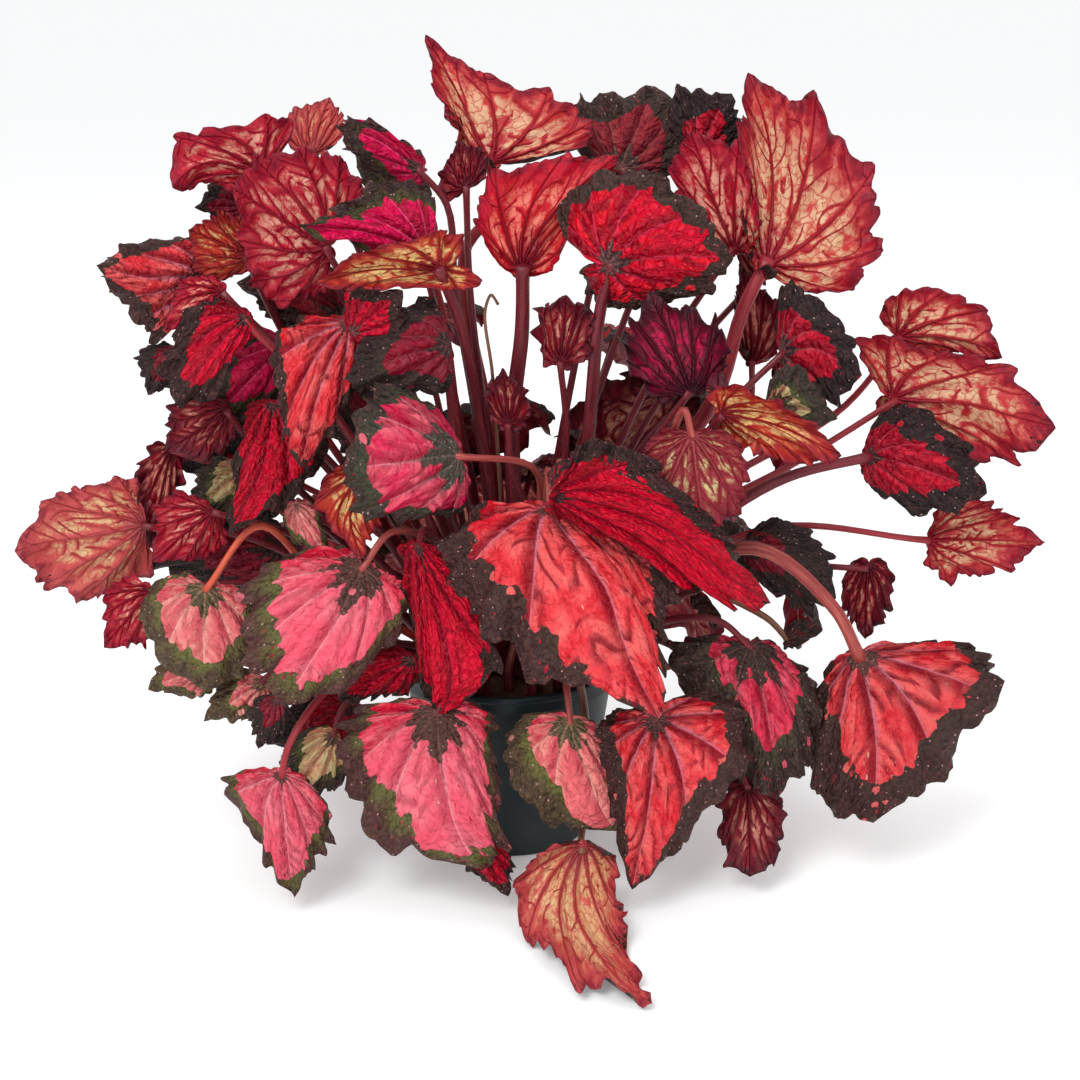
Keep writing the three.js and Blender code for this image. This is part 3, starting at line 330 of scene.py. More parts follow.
GROWTHS = [
    Growth("leaf_front_center", (0, -26), [
        Leaf(junction=(548, 510), tip=(660, 717), midrib=(608, 592), flank_a=(522, 668), flank_b=(664, 655),
            lobe_a=(442, 575), lobe_b=(672, 575), base_a=(480, 508), base_b=(630, 520), depth=(-80, -130),
            cup=18, via=[(540, 560, -30), (548, 470, -62)], face=Upper.CORAL,
            patch=Patch(0.10, 0.76, lean=0.1, tipward=0.3), stem=Stem.SALMON),
    ]),
    Growth("leaf_scarlet_diagonal", (12, -24), [
        Leaf(junction=(552, 496), tip=(775, 612), midrib=(662, 530), flank_a=(722, 532), flank_b=(712, 604),
            lobe_a=(640, 455), lobe_b=(630, 548), base_a=(568, 462), base_b=(556, 520), depth=(-100, -96),
            cup=8, via=[(556, 560, -32), (560, 462, -80)], face=Upper.CRIMSON,
            patch=Patch(0.12, 0.84, lean=0.12, tipward=0.2), stem=Stem.SALMON),
    ]),
    Growth("leaf_before_pot", (12, -42), [
        Leaf(junction=(570, 722), tip=(616, 832), midrib=(590, 778), flank_a=(552, 826), flank_b=(622, 800),
            lobe_a=(505, 768), lobe_b=(606, 752), base_a=(532, 712), base_b=(598, 722), depth=(-84, -102),
            cup=12, via=[(560, 662, -54), (567, 690, -76)], face=Upper.PALE,
            patch=Patch(0.34, 0.68, lean=0.02, tipward=0.25), stem=Stem.SALMON),
    ]),
    Growth("leaf_lower_right_coral", (34, -30), [
        Leaf(junction=(655, 720), tip=(633, 891), midrib=(650, 800), flank_a=(612, 812), flank_b=(690, 838),
            lobe_a=(598, 745), lobe_b=(748, 755), base_a=(618, 708), base_b=(712, 690), depth=(-96, -124),
            cup=14, face=Upper.CORAL, patch=Patch(0.16, 0.7, lean=0.04, tipward=0.28)),
    ]),
    Growth("leaf_lower_left_big_pink", (-12, -42), [
        Leaf(junction=(437, 712), tip=(482, 870), midrib=(447, 790), flank_a=(380, 846), flank_b=(504, 840),
            lobe_a=(338, 766), lobe_b=(500, 757), base_a=(372, 700), base_b=(480, 705), depth=(-96, -126),
            cup=14, face=Upper.PINK, patch=Patch(0.33, 0.74, lean=0.02, tipward=0.2)),
        Leaf(junction=(486, 838), tip=(508, 897), lobe_a=(464, 866), lobe_b=(514, 862), base_a=(476, 836),
            base_b=(498, 834), depth=(-104, -114), cup=6, via=[(465, 690, -72), (478, 760, -86)],
            face=Upper.CRIMSON, patch=Patch(0.1, 0.8)),
    ]),
    Growth("leaf_lower_left_hot_pink", (-20, -26), [
        Leaf(junction=(362, 568), tip=(283, 706), midrib=(330, 632), flank_a=(245, 655), flank_b=(345, 690),
            lobe_a=(250, 580), lobe_b=(404, 628), base_a=(318, 545), base_b=(396, 575), depth=(-78, -116),
            cup=14, via=[(455, 560, -34), (392, 532, -66)], face=Upper.PINK,
            patch=Patch(0.34, 0.76, lean=-0.02, tipward=0.1), stem=Stem.SALMON),
    ]),
    Growth("leaf_crimson_vertical", (-10, -22), [
        Leaf(junction=(417, 545), tip=(443, 714), midrib=(447, 645), flank_a=(424, 690), flank_b=(500, 662),
            lobe_a=(404, 598), lobe_b=(462, 600), base_a=(400, 550), base_b=(436, 552), depth=(-74, -102),
            cup=6, via=[(462, 580, -36), (424, 530, -62)], face=Upper.CRIMSON,
            patch=Patch(0.12, 0.86, lean=-0.05, tipward=0.15)),
    ]),
    Growth("leaf_left_center_pink", (5, -16), [
        Leaf(junction=(458, 456), tip=(346, 470), midrib=(404, 462), flank_a=(362, 410), flank_b=(362, 515),
            lobe_a=(388, 382), lobe_b=(418, 522), base_a=(446, 420), base_b=(468, 500), depth=(-70, -102),
            cup=10, via=[(530, 560, -20), (535, 470, -44)], face=Upper.HOT_PINK,
            patch=Patch(0.36, 0.8, tipward=0.05), stem=Stem.SALMON),
    ]),
    Growth("leaf_left_coral", (-22, -12), [
        Leaf(junction=(347, 325), tip=(300, 466), midrib=(318, 395), flank_a=(280, 425), flank_b=(338, 428),
            lobe_a=(272, 350), lobe_b=(358, 376), base_a=(306, 316), base_b=(368, 330), depth=(-58, -90),
            cup=12, face=Upper.CORAL, patch=Patch(0.1, 0.84, tipward=0.15), stem=Stem.CRIMSON),
    ]),
    Growth("leaf_left_crimson", (-34, -10), [
        Leaf(junction=(272, 405), tip=(227, 533), midrib=(262, 470), flank_a=(228, 500), flank_b=(290, 500),
            lobe_a=(236, 440), lobe_b=(330, 452), base_a=(250, 402), base_b=(300, 412), depth=(-44, -80),
            cup=12, face=Upper.CRIMSON, patch=Patch(0.14, 0.8, tipward=0.15)),
    ]),
    Growth("leaf_left_dark_crimson", (-18, 0), [
        Leaf(junction=(285, 345), tip=(210, 425), midrib=(246, 385), flank_a=(208, 375), flank_b=(245, 428),
            lobe_a=(222, 335), lobe_b=(282, 405), base_a=(262, 325), base_b=(298, 372), depth=(-20, -34),
            cup=10, face=Upper.MAGENTA, patch=Patch(0.2, 0.62, tipward=0.1)),
    ]),
    Growth("leaf_left_ruffled", (-18, -16), [
        Leaf(junction=(246, 318), tip=(178, 409), midrib=(212, 355), flank_a=(162, 368), flank_b=(208, 398),
            lobe_a=(180, 318), lobe_b=(232, 362), base_a=(222, 300), base_b=(256, 335), depth=(-50, -78),
            cup=10, face=Upper.CRIMSON, patch=Patch(0.16, 0.7), ruffle=0.06, stem=Stem.CRIMSON),
    ]),
    Growth("leaf_far_left_coral", (-34, 8), [
        Leaf(junction=(196, 278), tip=(101, 268), midrib=(148, 278), flank_a=(124, 246), flank_b=(112, 294),
            lobe_a=(162, 236), lobe_b=(140, 325), base_a=(204, 250), base_b=(166, 345), depth=(-26, -60),
            cup=14, via=[(300, 400, 2), (240, 320, -8)], face=Upper.CORAL,
            patch=Patch(0.12, 0.72, tipward=0.25), stem=Stem.CRIMSON),
    ]),
    Growth("shoot_left_cream", (-27, 0), [
        Leaf(junction=(222, 292), tip=(164, 330), lobe_a=(182, 282), lobe_b=(208, 322), base_a=(214, 280),
            base_b=(226, 308), depth=(-35, -45), cup=6, face=Under.ROSE),
        Leaf(junction=(178, 352), tip=(148, 395), lobe_a=(136, 354), lobe_b=(178, 384), base_a=(164, 342),
            base_b=(192, 362), depth=(-14, -24), cup=4, face=Upper.DARK, patch=Patch(0.3, 0.6)),
    ]),
    Growth("shoot_left_purple", (-40, 2), [
        Leaf(junction=(226, 410), tip=(164, 450), midrib=(196, 432), lobe_a=(172, 405), lobe_b=(210, 458),
            base_a=(214, 398), base_b=(232, 432), depth=(-40, -54), cup=8,
            via=[(330, 520, -14), (256, 448, -30)], face=Under.WINE),
        Leaf(junction=(172, 448), tip=(152, 548), lobe_a=(138, 484), lobe_b=(176, 498), base_a=(158, 446),
            base_b=(182, 458), depth=(-20, -28), cup=4, face=Under.WINE, ruffle=0.07),
    ]),
    Growth("shoot_left_maroon", (-40, -8), [
        Leaf(junction=(212, 512), tip=(152, 562), midrib=(182, 535), lobe_a=(158, 506), lobe_b=(206, 556),
            base_a=(196, 496), base_b=(224, 530), depth=(-44, -62), cup=8, face=Under.ROSE),
        Leaf(junction=(244, 470), tip=(188, 518), lobe_a=(200, 465), lobe_b=(240, 512), base_a=(232, 458),
            base_b=(254, 486), depth=(-22, -32), cup=6, via=[(330, 552, -28), (272, 502, -24)],
            face=Upper.OLIVE_CREAM, patch=Patch(0.2, 0.6)),
    ]),
    Growth("shoot_far_left", (-44, 0), [
        Leaf(junction=(142, 525), tip=(12, 548), midrib=(78, 538), flank_a=(48, 500), flank_b=(46, 580),
            lobe_a=(88, 489), lobe_b=(90, 596), base_a=(138, 490), base_b=(140, 572), depth=(-36, -66),
            cup=10, face=Under.BLUSH),
        Leaf(junction=(150, 592), tip=(104, 648), lobe_a=(106, 592), lobe_b=(146, 642), base_a=(134, 580),
            base_b=(160, 612), depth=(-54, -68), cup=6, face=Under.ROSE, ruffle=0.06),
    ]),
    Growth("leaf_left_pale_pink", (-32, -23), [
        Leaf(junction=(205, 588), tip=(206, 690), midrib=(204, 640), flank_a=(160, 662), flank_b=(242, 670),
            lobe_a=(140, 608), lobe_b=(260, 630), base_a=(172, 574), base_b=(236, 584), depth=(-68, -96),
            cup=12, via=[(330, 590, -30), (258, 526, -58)], face=Upper.PALE,
            patch=Patch(0.3, 0.7, tipward=0.05), stem=Stem.ORANGE),
    ]),
    Growth("shoot_lower_left_small", (-41, -23), [
        Leaf(junction=(206, 668), tip=(148, 690), lobe_a=(166, 650), lobe_b=(190, 700), base_a=(196, 652),
            base_b=(214, 688), depth=(-62, -76), cup=6, face=Upper.PALE, patch=Patch(0.1, 0.7)),
        Leaf(junction=(262, 682), tip=(204, 722), lobe_a=(218, 680), lobe_b=(250, 722), base_a=(250, 668),
            base_b=(274, 700), depth=(-74, -88), cup=6, face=Upper.PALE, patch=Patch(0.2, 0.52)),
        Leaf(junction=(276, 700), tip=(258, 750), lobe_a=(248, 716), lobe_b=(286, 730), base_a=(262, 694),
            base_b=(290, 704), depth=(-88, -95), cup=4, via=[(340, 660, -60)], face=Upper.DARK,
            patch=Patch(0.2, 0.5)),
    ]),
    Growth("leaf_lower_left_hanging", (-34, -28), [
        Leaf(junction=(281, 775), tip=(293, 900), midrib=(286, 836), flank_a=(262, 856), flank_b=(316, 862),
            lobe_a=(222, 790), lobe_b=(338, 832), base_a=(250, 772), base_b=(304, 774), depth=(-100, -120),
            cup=12, via=[(405, 655, -50), (330, 688, -74), (289, 745, -96)], face=Upper.PINK,
            patch=Patch(0.14, 0.78, tipward=0.15), stem=Stem.CRIMSON),
    ]),
    Growth("shoot_lower_left_cream", (-26, -36), [
        Leaf(junction=(334, 735), tip=(290, 802), midrib=(312, 770), lobe_a=(280, 755), lobe_b=(340, 788),
            base_a=(316, 725), base_b=(348, 752), depth=(-82, -92), cup=6,
            via=[(392, 664, -62), (345, 705, -76)], face=Upper.OLIVE_CREAM, patch=Patch(0.2, 0.62)),
        Leaf(junction=(412, 660), tip=(338, 702), midrib=(375, 680), lobe_a=(348, 656), lobe_b=(400, 698),
            base_a=(398, 644), base_b=(418, 680), depth=(-72, -84), cup=8, face=Upper.CRIMSON,
            patch=Patch(0.18, 0.84)),
        Leaf(junction=(354, 704), tip=(266, 744), lobe_a=(300, 692), lobe_b=(322, 764), base_a=(346, 686),
            base_b=(362, 728), depth=(-58, -68), cup=6, face=Upper.DARK_RED, patch=Patch(0.2, 0.6)),
    ]),
    Growth("shoot_left_inner", (-22, -4), [
        Leaf(junction=(352, 322), tip=(236, 284), midrib=(296, 294), lobe_a=(300, 252), lobe_b=(284, 336),
            base_a=(358, 294), base_b=(344, 348), depth=(4, -4), cup=6, face=Upper.DUSKY,
            patch=Patch(0.3, 0.6), stem=Stem.CRIMSON),
        Leaf(junction=(404, 430), tip=(316, 392), midrib=(360, 408), lobe_a=(362, 360), lobe_b=(350, 468),
            base_a=(410, 404), base_b=(398, 456), depth=(-14, -22), cup=6, face=Upper.DARK,
            patch=Patch(0.3, 0.56)),
        Leaf(junction=(292, 480), tip=(174, 464), midrib=(234, 466), lobe_a=(236, 428), lobe_b=(238, 520),
            base_a=(294, 452), base_b=(288, 508), depth=(-8, -14), cup=6, face=Upper.DARK_RED,
            patch=Patch(0.3, 0.6), stem=Stem.CRIMSON),
        Leaf(junction=(282, 548), tip=(140, 566), midrib=(212, 552), lobe_a=(214, 514), lobe_b=(208, 598),
            base_a=(278, 522), base_b=(284, 578), depth=(-16, -26), cup=6, face=Upper.DARK,
            patch=Patch(0.24, 0.62)),
    ]),
    Growth("shoot_left_olive_cream", (-27, -16), [
        Leaf(junction=(368, 472), tip=(362, 560), midrib=(350, 515), lobe_a=(318, 502), lobe_b=(376, 522),
            base_a=(344, 466), base_b=(382, 484), depth=(-62, -76), cup=8, face=Under.AMBER),
        Leaf(junction=(296, 505), tip=(330, 560), lobe_a=(290, 540), lobe_b=(322, 520), base_a=(284, 508),
            base_b=(306, 498), depth=(-50, -64), cup=4, face=Upper.PALE, patch=Patch(0.1, 0.75)),
    ]),
    Growth("shoot_left_curled", (-10, -8), [
        Leaf(junction=(448, 345), tip=(350, 380), midrib=(398, 358), flank_a=(362, 342), flank_b=(368, 398),
            lobe_a=(402, 305), lobe_b=(420, 396), base_a=(444, 308), base_b=(452, 380), depth=(-54, -82),
            cup=8, via=[(455, 440, -34)], face=Upper.DARK, patch=Patch(0.22, 0.6), ruffle=0.06),
        Leaf(junction=(352, 332), tip=(402, 292), lobe_a=(352, 286), lobe_b=(398, 342), base_a=(342, 312),
            base_b=(360, 348), depth=(-64, -70), cup=6, face=Upper.CRIMSON, patch=Patch(0.2, 0.7)),
    ]),
    Growth("leaf_orange_underside", (-4, -8), [
        Leaf(junction=(440, 268), tip=(315, 284), midrib=(376, 270), flank_a=(352, 256), flank_b=(356, 286),
            lobe_a=(404, 242), lobe_b=(420, 287), base_a=(458, 236), base_b=(476, 280), depth=(-58, -88),
            cup=6, via=[(486, 455, -10), (462, 330, -40)], stalk=3.2, face=Under.AMBER, ruffle=0.05),
    ]),
    Growth("leaf_upper_left_magenta", (-16, -4), [
        Leaf(junction=(424, 250), tip=(302, 228), midrib=(364, 232), flank_a=(340, 208), flank_b=(334, 244),
            lobe_a=(384, 180), lobe_b=(386, 252), base_a=(436, 200), base_b=(438, 258), depth=(-44, -76),
            cup=8, via=[(462, 455, 0), (440, 300, -30)], face=Upper.MAGENTA,
            patch=Patch(0.14, 0.78, lean=0.04, tipward=0.15), ruffle=0.05, stem=Stem.CRIMSON),
    ]),
    Growth("leaf_upper_left_broad", (-14, 10), [
        Leaf(junction=(326, 246), tip=(229, 186), midrib=(274, 214), flank_a=(256, 160), flank_b=(242, 242),
            lobe_a=(308, 150), lobe_b=(258, 288), base_a=(352, 186), base_b=(320, 288), depth=(-30, -56),
            cup=12, via=[(450, 520, 12), (370, 330, -14)], face=Under.ROSE),
    ]),
    Growth("shoot_upper_left_small", (-24, 10), [
        Leaf(junction=(246, 206), tip=(196, 208), lobe_a=(212, 180), lobe_b=(218, 220), base_a=(246, 174),
            base_b=(250, 222), depth=(-8, -20), cup=4, via=[(330, 420, 8), (262, 280, -4)], face=Upper.DARK,
            patch=Patch(0.2, 0.66)),
        Leaf(junction=(246, 256), tip=(187, 228), midrib=(214, 240), lobe_a=(222, 212), lobe_b=(196, 270),
            base_a=(248, 232), base_b=(234, 276), depth=(-30, -42), cup=6,
            via=[(330, 420, 8), (266, 300, -10)], face=Under.AMBER),
    ]),
    Growth("shoot_upper_left", (-14, 20), [
        Leaf(junction=(258, 170), tip=(168, 188), midrib=(212, 162), flank_a=(176, 140), flank_b=(188, 182),
            lobe_a=(226, 128), lobe_b=(226, 182), base_a=(290, 121), base_b=(268, 184), depth=(-14, -40),
            cup=8, face=Under.ROSE, ruffle=0.05),
        Leaf(junction=(312, 152), tip=(330, 98), lobe_a=(290, 112), lobe_b=(344, 118), base_a=(292, 150),
            base_b=(334, 148), depth=(14, 22), cup=4, face=Under.BLUSH),
    ]),
    Growth("shoot_top_left", (-6, 2), [
        Leaf(junction=(420, 170), tip=(340, 128), midrib=(380, 142), flank_a=(356, 114), flank_b=(348, 152),
            lobe_a=(388, 132), lobe_b=(376, 178), base_a=(427, 158), base_b=(424, 188), depth=(-18, -44),
            cup=6, via=[(478, 430, -4), (455, 290, -10), (447, 205, -14)], face=Upper.MAGENTA,
            patch=Patch(0.2, 0.66), ruffle=0.05),
        Leaf(junction=(466, 186), tip=(458, 140), lobe_a=(440, 176), lobe_b=(482, 150), base_a=(448, 200),
            base_b=(484, 178), depth=(-12, -16), cup=4, via=[(485, 430, 4), (470, 290, -4)],
            face=Under.WINE, ruffle=0.07),
        Leaf(junction=(414, 226), tip=(350, 148), lobe_a=(372, 208), lobe_b=(406, 162), base_a=(398, 236),
            base_b=(430, 206), depth=(14, 22), cup=4, face=Upper.OLIVE_CREAM, patch=Patch(0.4, 0.5)),
    ]),
    Growth("leaf_top_center", (0, 16), [
        Leaf(junction=(490, 162), tip=(427, 37), midrib=(462, 102), flank_a=(440, 88), flank_b=(486, 78),
            lobe_a=(458, 126), lobe_b=(560, 98), base_a=(470, 162), base_b=(584, 150), depth=(0, 18), cup=8,
            via=[(492, 440, 18), (464, 255, 8), (497, 205, 0)], stalk=3.4, face=Under.CREAM,
            stem=Stem.CRIMSON),
    ]),
    Growth("leaf_top_scarlet", (10, 2), [
        Leaf(junction=(522, 268), tip=(618, 154), midrib=(560, 205), flank_a=(560, 158), flank_b=(600, 182),
            lobe_a=(486, 182), lobe_b=(572, 220), base_a=(498, 264), base_b=(550, 272), depth=(-28, -22),
            cup=8, via=[(512, 430, -14), (522, 330, -22)], stalk=4.6, face=Under.SCARLET),
    ]),
    Growth("shoot_center_ruffled", (18, -6), [
        Leaf(junction=(560, 362), tip=(566, 292), midrib=(564, 325), lobe_a=(540, 308), lobe_b=(590, 312),
            base_a=(544, 356), base_b=(582, 358), depth=(-36, -46), cup=8, via=[(566, 440, -22)],
            face=Under.WINE, ruffle=0.08),
        Leaf(junction=(508, 424), tip=(502, 368), lobe_a=(488, 388), lobe_b=(526, 390), base_a=(494, 422),
            base_b=(524, 424), depth=(-38, -44), cup=4, via=[(548, 560, -8), (512, 470, -33)],
            face=Under.WINE, ruffle=0.08),
    ]),
    Growth("shoot_top_dark", (12, 14), [
        Leaf(junction=(620, 168), tip=(656, 84), midrib=(638, 128), flank_a=(608, 94), flank_b=(684, 100),
            lobe_a=(577, 100), lobe_b=(690, 148), base_a=(586, 160), base_b=(650, 182), depth=(18, 38),
            cup=10, face=Upper.DUSKY, patch=Patch(0.3, 0.66), ruffle=0.06),
        Leaf(junction=(700, 158), tip=(732, 93), lobe_a=(676, 88), lobe_b=(746, 132), base_a=(678, 140),
            base_b=(728, 166), depth=(8, 16), cup=6, face=Upper.DARK_RED, patch=Patch(0.24, 0.6)),
    ]),
    Growth("shoot_upper_right_dark", (18, 16), [
        Leaf(junction=(734, 250), tip=(690, 132), midrib=(710, 190), flank_a=(672, 170), flank_b=(738, 150),
            lobe_a=(688, 220), lobe_b=(754, 200), base_a=(716, 258), base_b=(754, 246), depth=(-8, -2),
            cup=8, face=Under.ROSE, ruffle=0.06),
        Leaf(junction=(762, 276), tip=(748, 116), midrib=(752, 200), lobe_a=(736, 196), lobe_b=(772, 216),
            base_a=(738, 272), base_b=(776, 272), depth=(18, 30), cup=6, face=Under.WINE, ruffle=0.06),
    ]),
    Growth("leaf_bright_red", (22, -12), [
        Leaf(junction=(608, 264), tip=(732, 259), midrib=(668, 256), flank_a=(700, 212), flank_b=(704, 294),
            lobe_a=(640, 170), lobe_b=(640, 310), base_a=(556, 208), base_b=(584, 294), depth=(-42, -70),
            cup=10, via=[(586, 450, -22), (600, 310, -36)], stalk=3.8, face=Upper.SCARLET,
            patch=Patch(0.2, 0.78, lean=-0.02, tipward=0.1)),
    ]),
    Growth("leaf_top_right", (22, 8), [
        Leaf(junction=(768, 264), tip=(748, 76), midrib=(772, 165), flank_a=(745, 136), flank_b=(814, 112),
            lobe_a=(752, 220), lobe_b=(874, 195), base_a=(756, 270), base_b=(846, 292), depth=(-16, 18),
            cup=10, via=[(640, 500, 0), (716, 395, -22), (742, 312, -22)], stalk=4.4, face=Under.CREAM,
            stem=Stem.CRIMSON),
    ]),
    Growth("leaf_right_black_red", (28, -4), [
        Leaf(junction=(782, 352), tip=(860, 376), midrib=(820, 350), flank_a=(850, 335), flank_b=(836, 404),
            lobe_a=(814, 296), lobe_b=(804, 404), base_a=(776, 296), base_b=(776, 396), depth=(-36, -54),
            cup=8, via=[(660, 500, -34), (735, 400, -40)], face=Upper.DARK_RED,
            patch=Patch(0.24, 0.66, lean=0.06)),
    ]),
    Growth("leaf_right_ruffled", (34, 16), [
        Leaf(junction=(752, 362), tip=(742, 266), midrib=(750, 315), lobe_a=(734, 300), lobe_b=(782, 305),
            base_a=(738, 350), base_b=(774, 356), depth=(2, 6), cup=6, via=[(690, 480, 16), (748, 410, 6)],
            face=Under.WINE, ruffle=0.08),
    ]),
    Growth("leaf_young_folded", (28, -14), [
        Leaf(junction=(690, 392), tip=(648, 290), midrib=(670, 338), lobe_a=(622, 345), lobe_b=(718, 320),
            base_a=(658, 392), base_b=(720, 376), depth=(-50, -64), cup=-10, face=Under.MAGENTA,
            ruffle=0.07),
    ]),
    Growth("leaf_right_upper", (28, 10), [
        Leaf(junction=(900, 336), tip=(1004, 357), midrib=(952, 338), flank_a=(984, 310),
            flank_b=(974, 352), lobe_a=(934, 289), lobe_b=(936, 348), base_a=(884, 306), base_b=(894, 350),
            depth=(-4, -26), cup=8, via=[(660, 520, -4), (840, 410, -2)], face=Under.CREAM,
            stem=Stem.CRIMSON),
    ]),
    Growth("leaf_right_broad", (34, 4), [
        Leaf(junction=(895, 398), tip=(1056, 428), midrib=(972, 404), flank_a=(1004, 366),
            flank_b=(1006, 458), lobe_a=(936, 352), lobe_b=(950, 444), base_a=(862, 340), base_b=(886, 428),
            depth=(-26, -56), cup=10, via=[(650, 545, -18), (800, 460, -26)], face=Under.CREAM,
            stem=Stem.CRIMSON),
    ]),
    Growth("leaf_right_red", (34, -8), [
        Leaf(junction=(868, 456), tip=(986, 494), midrib=(926, 470), flank_a=(966, 446), flank_b=(948, 518),
            lobe_a=(914, 406), lobe_b=(906, 510), base_a=(872, 424), base_b=(864, 484), depth=(-44, -72),
            cup=10, via=[(680, 545, -36), (780, 480, -44)], stalk=3.4, face=Upper.DARK_RED,
            patch=Patch(0.16, 0.64, lean=0.02)),
    ]),
    Growth("leaf_far_right_underside", (42, 8), [
        Leaf(junction=(930, 540), tip=(1046, 540), midrib=(984, 540), flank_a=(1010, 516),
            flank_b=(1010, 562), lobe_a=(982, 500), lobe_b=(972, 574), base_a=(940, 508), base_b=(938, 566),
            depth=(-24, -44), cup=6, via=[(760, 530, -12)], face=Under.CREAM, stem=Stem.CRIMSON),
    ]),
    Growth("shoot_right_orange", (24, -20), [
        Leaf(junction=(722, 414), tip=(842, 455), midrib=(780, 426), flank_a=(808, 422), flank_b=(806, 462),
            lobe_a=(770, 402), lobe_b=(770, 450), base_a=(720, 388), base_b=(732, 440), depth=(-70, -84),
            cup=4, via=[(640, 520, -44), (700, 440, -62)], face=Under.AMBER, ruffle=0.06),
        Leaf(junction=(772, 408), tip=(838, 420), lobe_a=(800, 366), lobe_b=(796, 430), base_a=(770, 380),
            base_b=(764, 428), depth=(-60, -64), cup=4, via=[(640, 520, -44), (720, 440, -54)],
            face=Upper.OLIVE_CREAM, patch=Patch(0.4, 0.5)),
    ]),
    Growth("leaf_center_right_hanging", (16, -32), [
        Leaf(junction=(692, 436), tip=(704, 534), midrib=(698, 485), flank_a=(660, 505), flank_b=(738, 508),
            lobe_a=(644, 462), lobe_b=(746, 466), base_a=(664, 432), base_b=(716, 432), depth=(-78, -88),
            cup=6, via=[(650, 500, -60), (684, 410, -76)], face=Under.DUSKY, stem=Stem.SALMON),
    ]),
    Growth("leaf_right_center_brown", (42, -8), [
        Leaf(junction=(748, 545), tip=(836, 600), midrib=(790, 570), flank_a=(830, 555), flank_b=(808, 612),
            lobe_a=(800, 526), lobe_b=(770, 590), base_a=(756, 524), base_b=(742, 570), depth=(-32, -42),
            cup=6, face=Upper.DARK, patch=Patch(0.3, 0.5)),
    ]),
    Growth("leaf_lower_right_dark", (28, -28), [
        Leaf(junction=(752, 646), tip=(776, 800), midrib=(768, 720), flank_a=(742, 780), flank_b=(812, 760),
            lobe_a=(672, 672), lobe_b=(820, 692), base_a=(706, 634), base_b=(784, 650), depth=(-66, -92),
            cup=10, via=[(636, 628, -46), (716, 620, -62)], face=Upper.DARK_PINK,
            patch=Patch(0.36, 0.6, lean=0.08)),
    ]),
    Growth("leaf_lower_right_hanging", (40, -24), [
        Leaf(junction=(748, 788), tip=(750, 877), midrib=(750, 832), flank_a=(728, 862), flank_b=(772, 862),
            lobe_a=(722, 824), lobe_b=(780, 826), base_a=(730, 788), base_b=(768, 788), depth=(-74, -94),
            cup=8, via=[(660, 640, -44), (712, 690, -62), (738, 760, -70)], face=Under.WINE, ruffle=0.06),
    ]),
    Growth("leaf_right_lower_coral", (38, -16), [
        Leaf(junction=(860, 655), tip=(874, 822), midrib=(876, 740), flank_a=(822, 806), flank_b=(944, 776),
            lobe_a=(800, 734), lobe_b=(1002, 682), base_a=(832, 660), base_b=(930, 642), depth=(-60, -92),
            cup=16, via=[(650, 586, -42), (755, 548, -54), (832, 606, -60)], stalk=4.2, face=Upper.CORAL,
            patch=Patch(0.16, 0.66, lean=0.14), stem=Stem.SALMON),
    ]),
    Growth("shoot_right_purple_bud", (45, 0), [
        Leaf(junction=(868, 566), tip=(864, 638), lobe_a=(842, 604), lobe_b=(890, 606), base_a=(852, 562),
            base_b=(886, 562), depth=(-24, -30), cup=4, face=Under.WINE, ruffle=0.07),
        Leaf(junction=(786, 640), tip=(822, 632), lobe_a=(802, 618), lobe_b=(800, 646), base_a=(784, 630),
            base_b=(784, 650), depth=(-46, -52), cup=4, via=[(640, 575, -20), (762, 615, -42)],
            face=Upper.DARK, patch=Patch(0.5, 0.5), stem=Stem.DRY),
    ]),
    Growth("leaf_bottom", (24, -38), [
        Leaf(junction=(583, 847), tip=(652, 1012), midrib=(580, 925), flank_a=(576, 990),
            flank_b=(634, 974), lobe_a=(520, 926), lobe_b=(616, 906), base_a=(540, 852), base_b=(612, 850),
            via=[(575, 672, -60), (588, 770, -66), (580, 848, -90)], trail=Trail(840, 950, 43),
            face=Under.BLUSH, stem=Stem.DRY),
    ]),
]

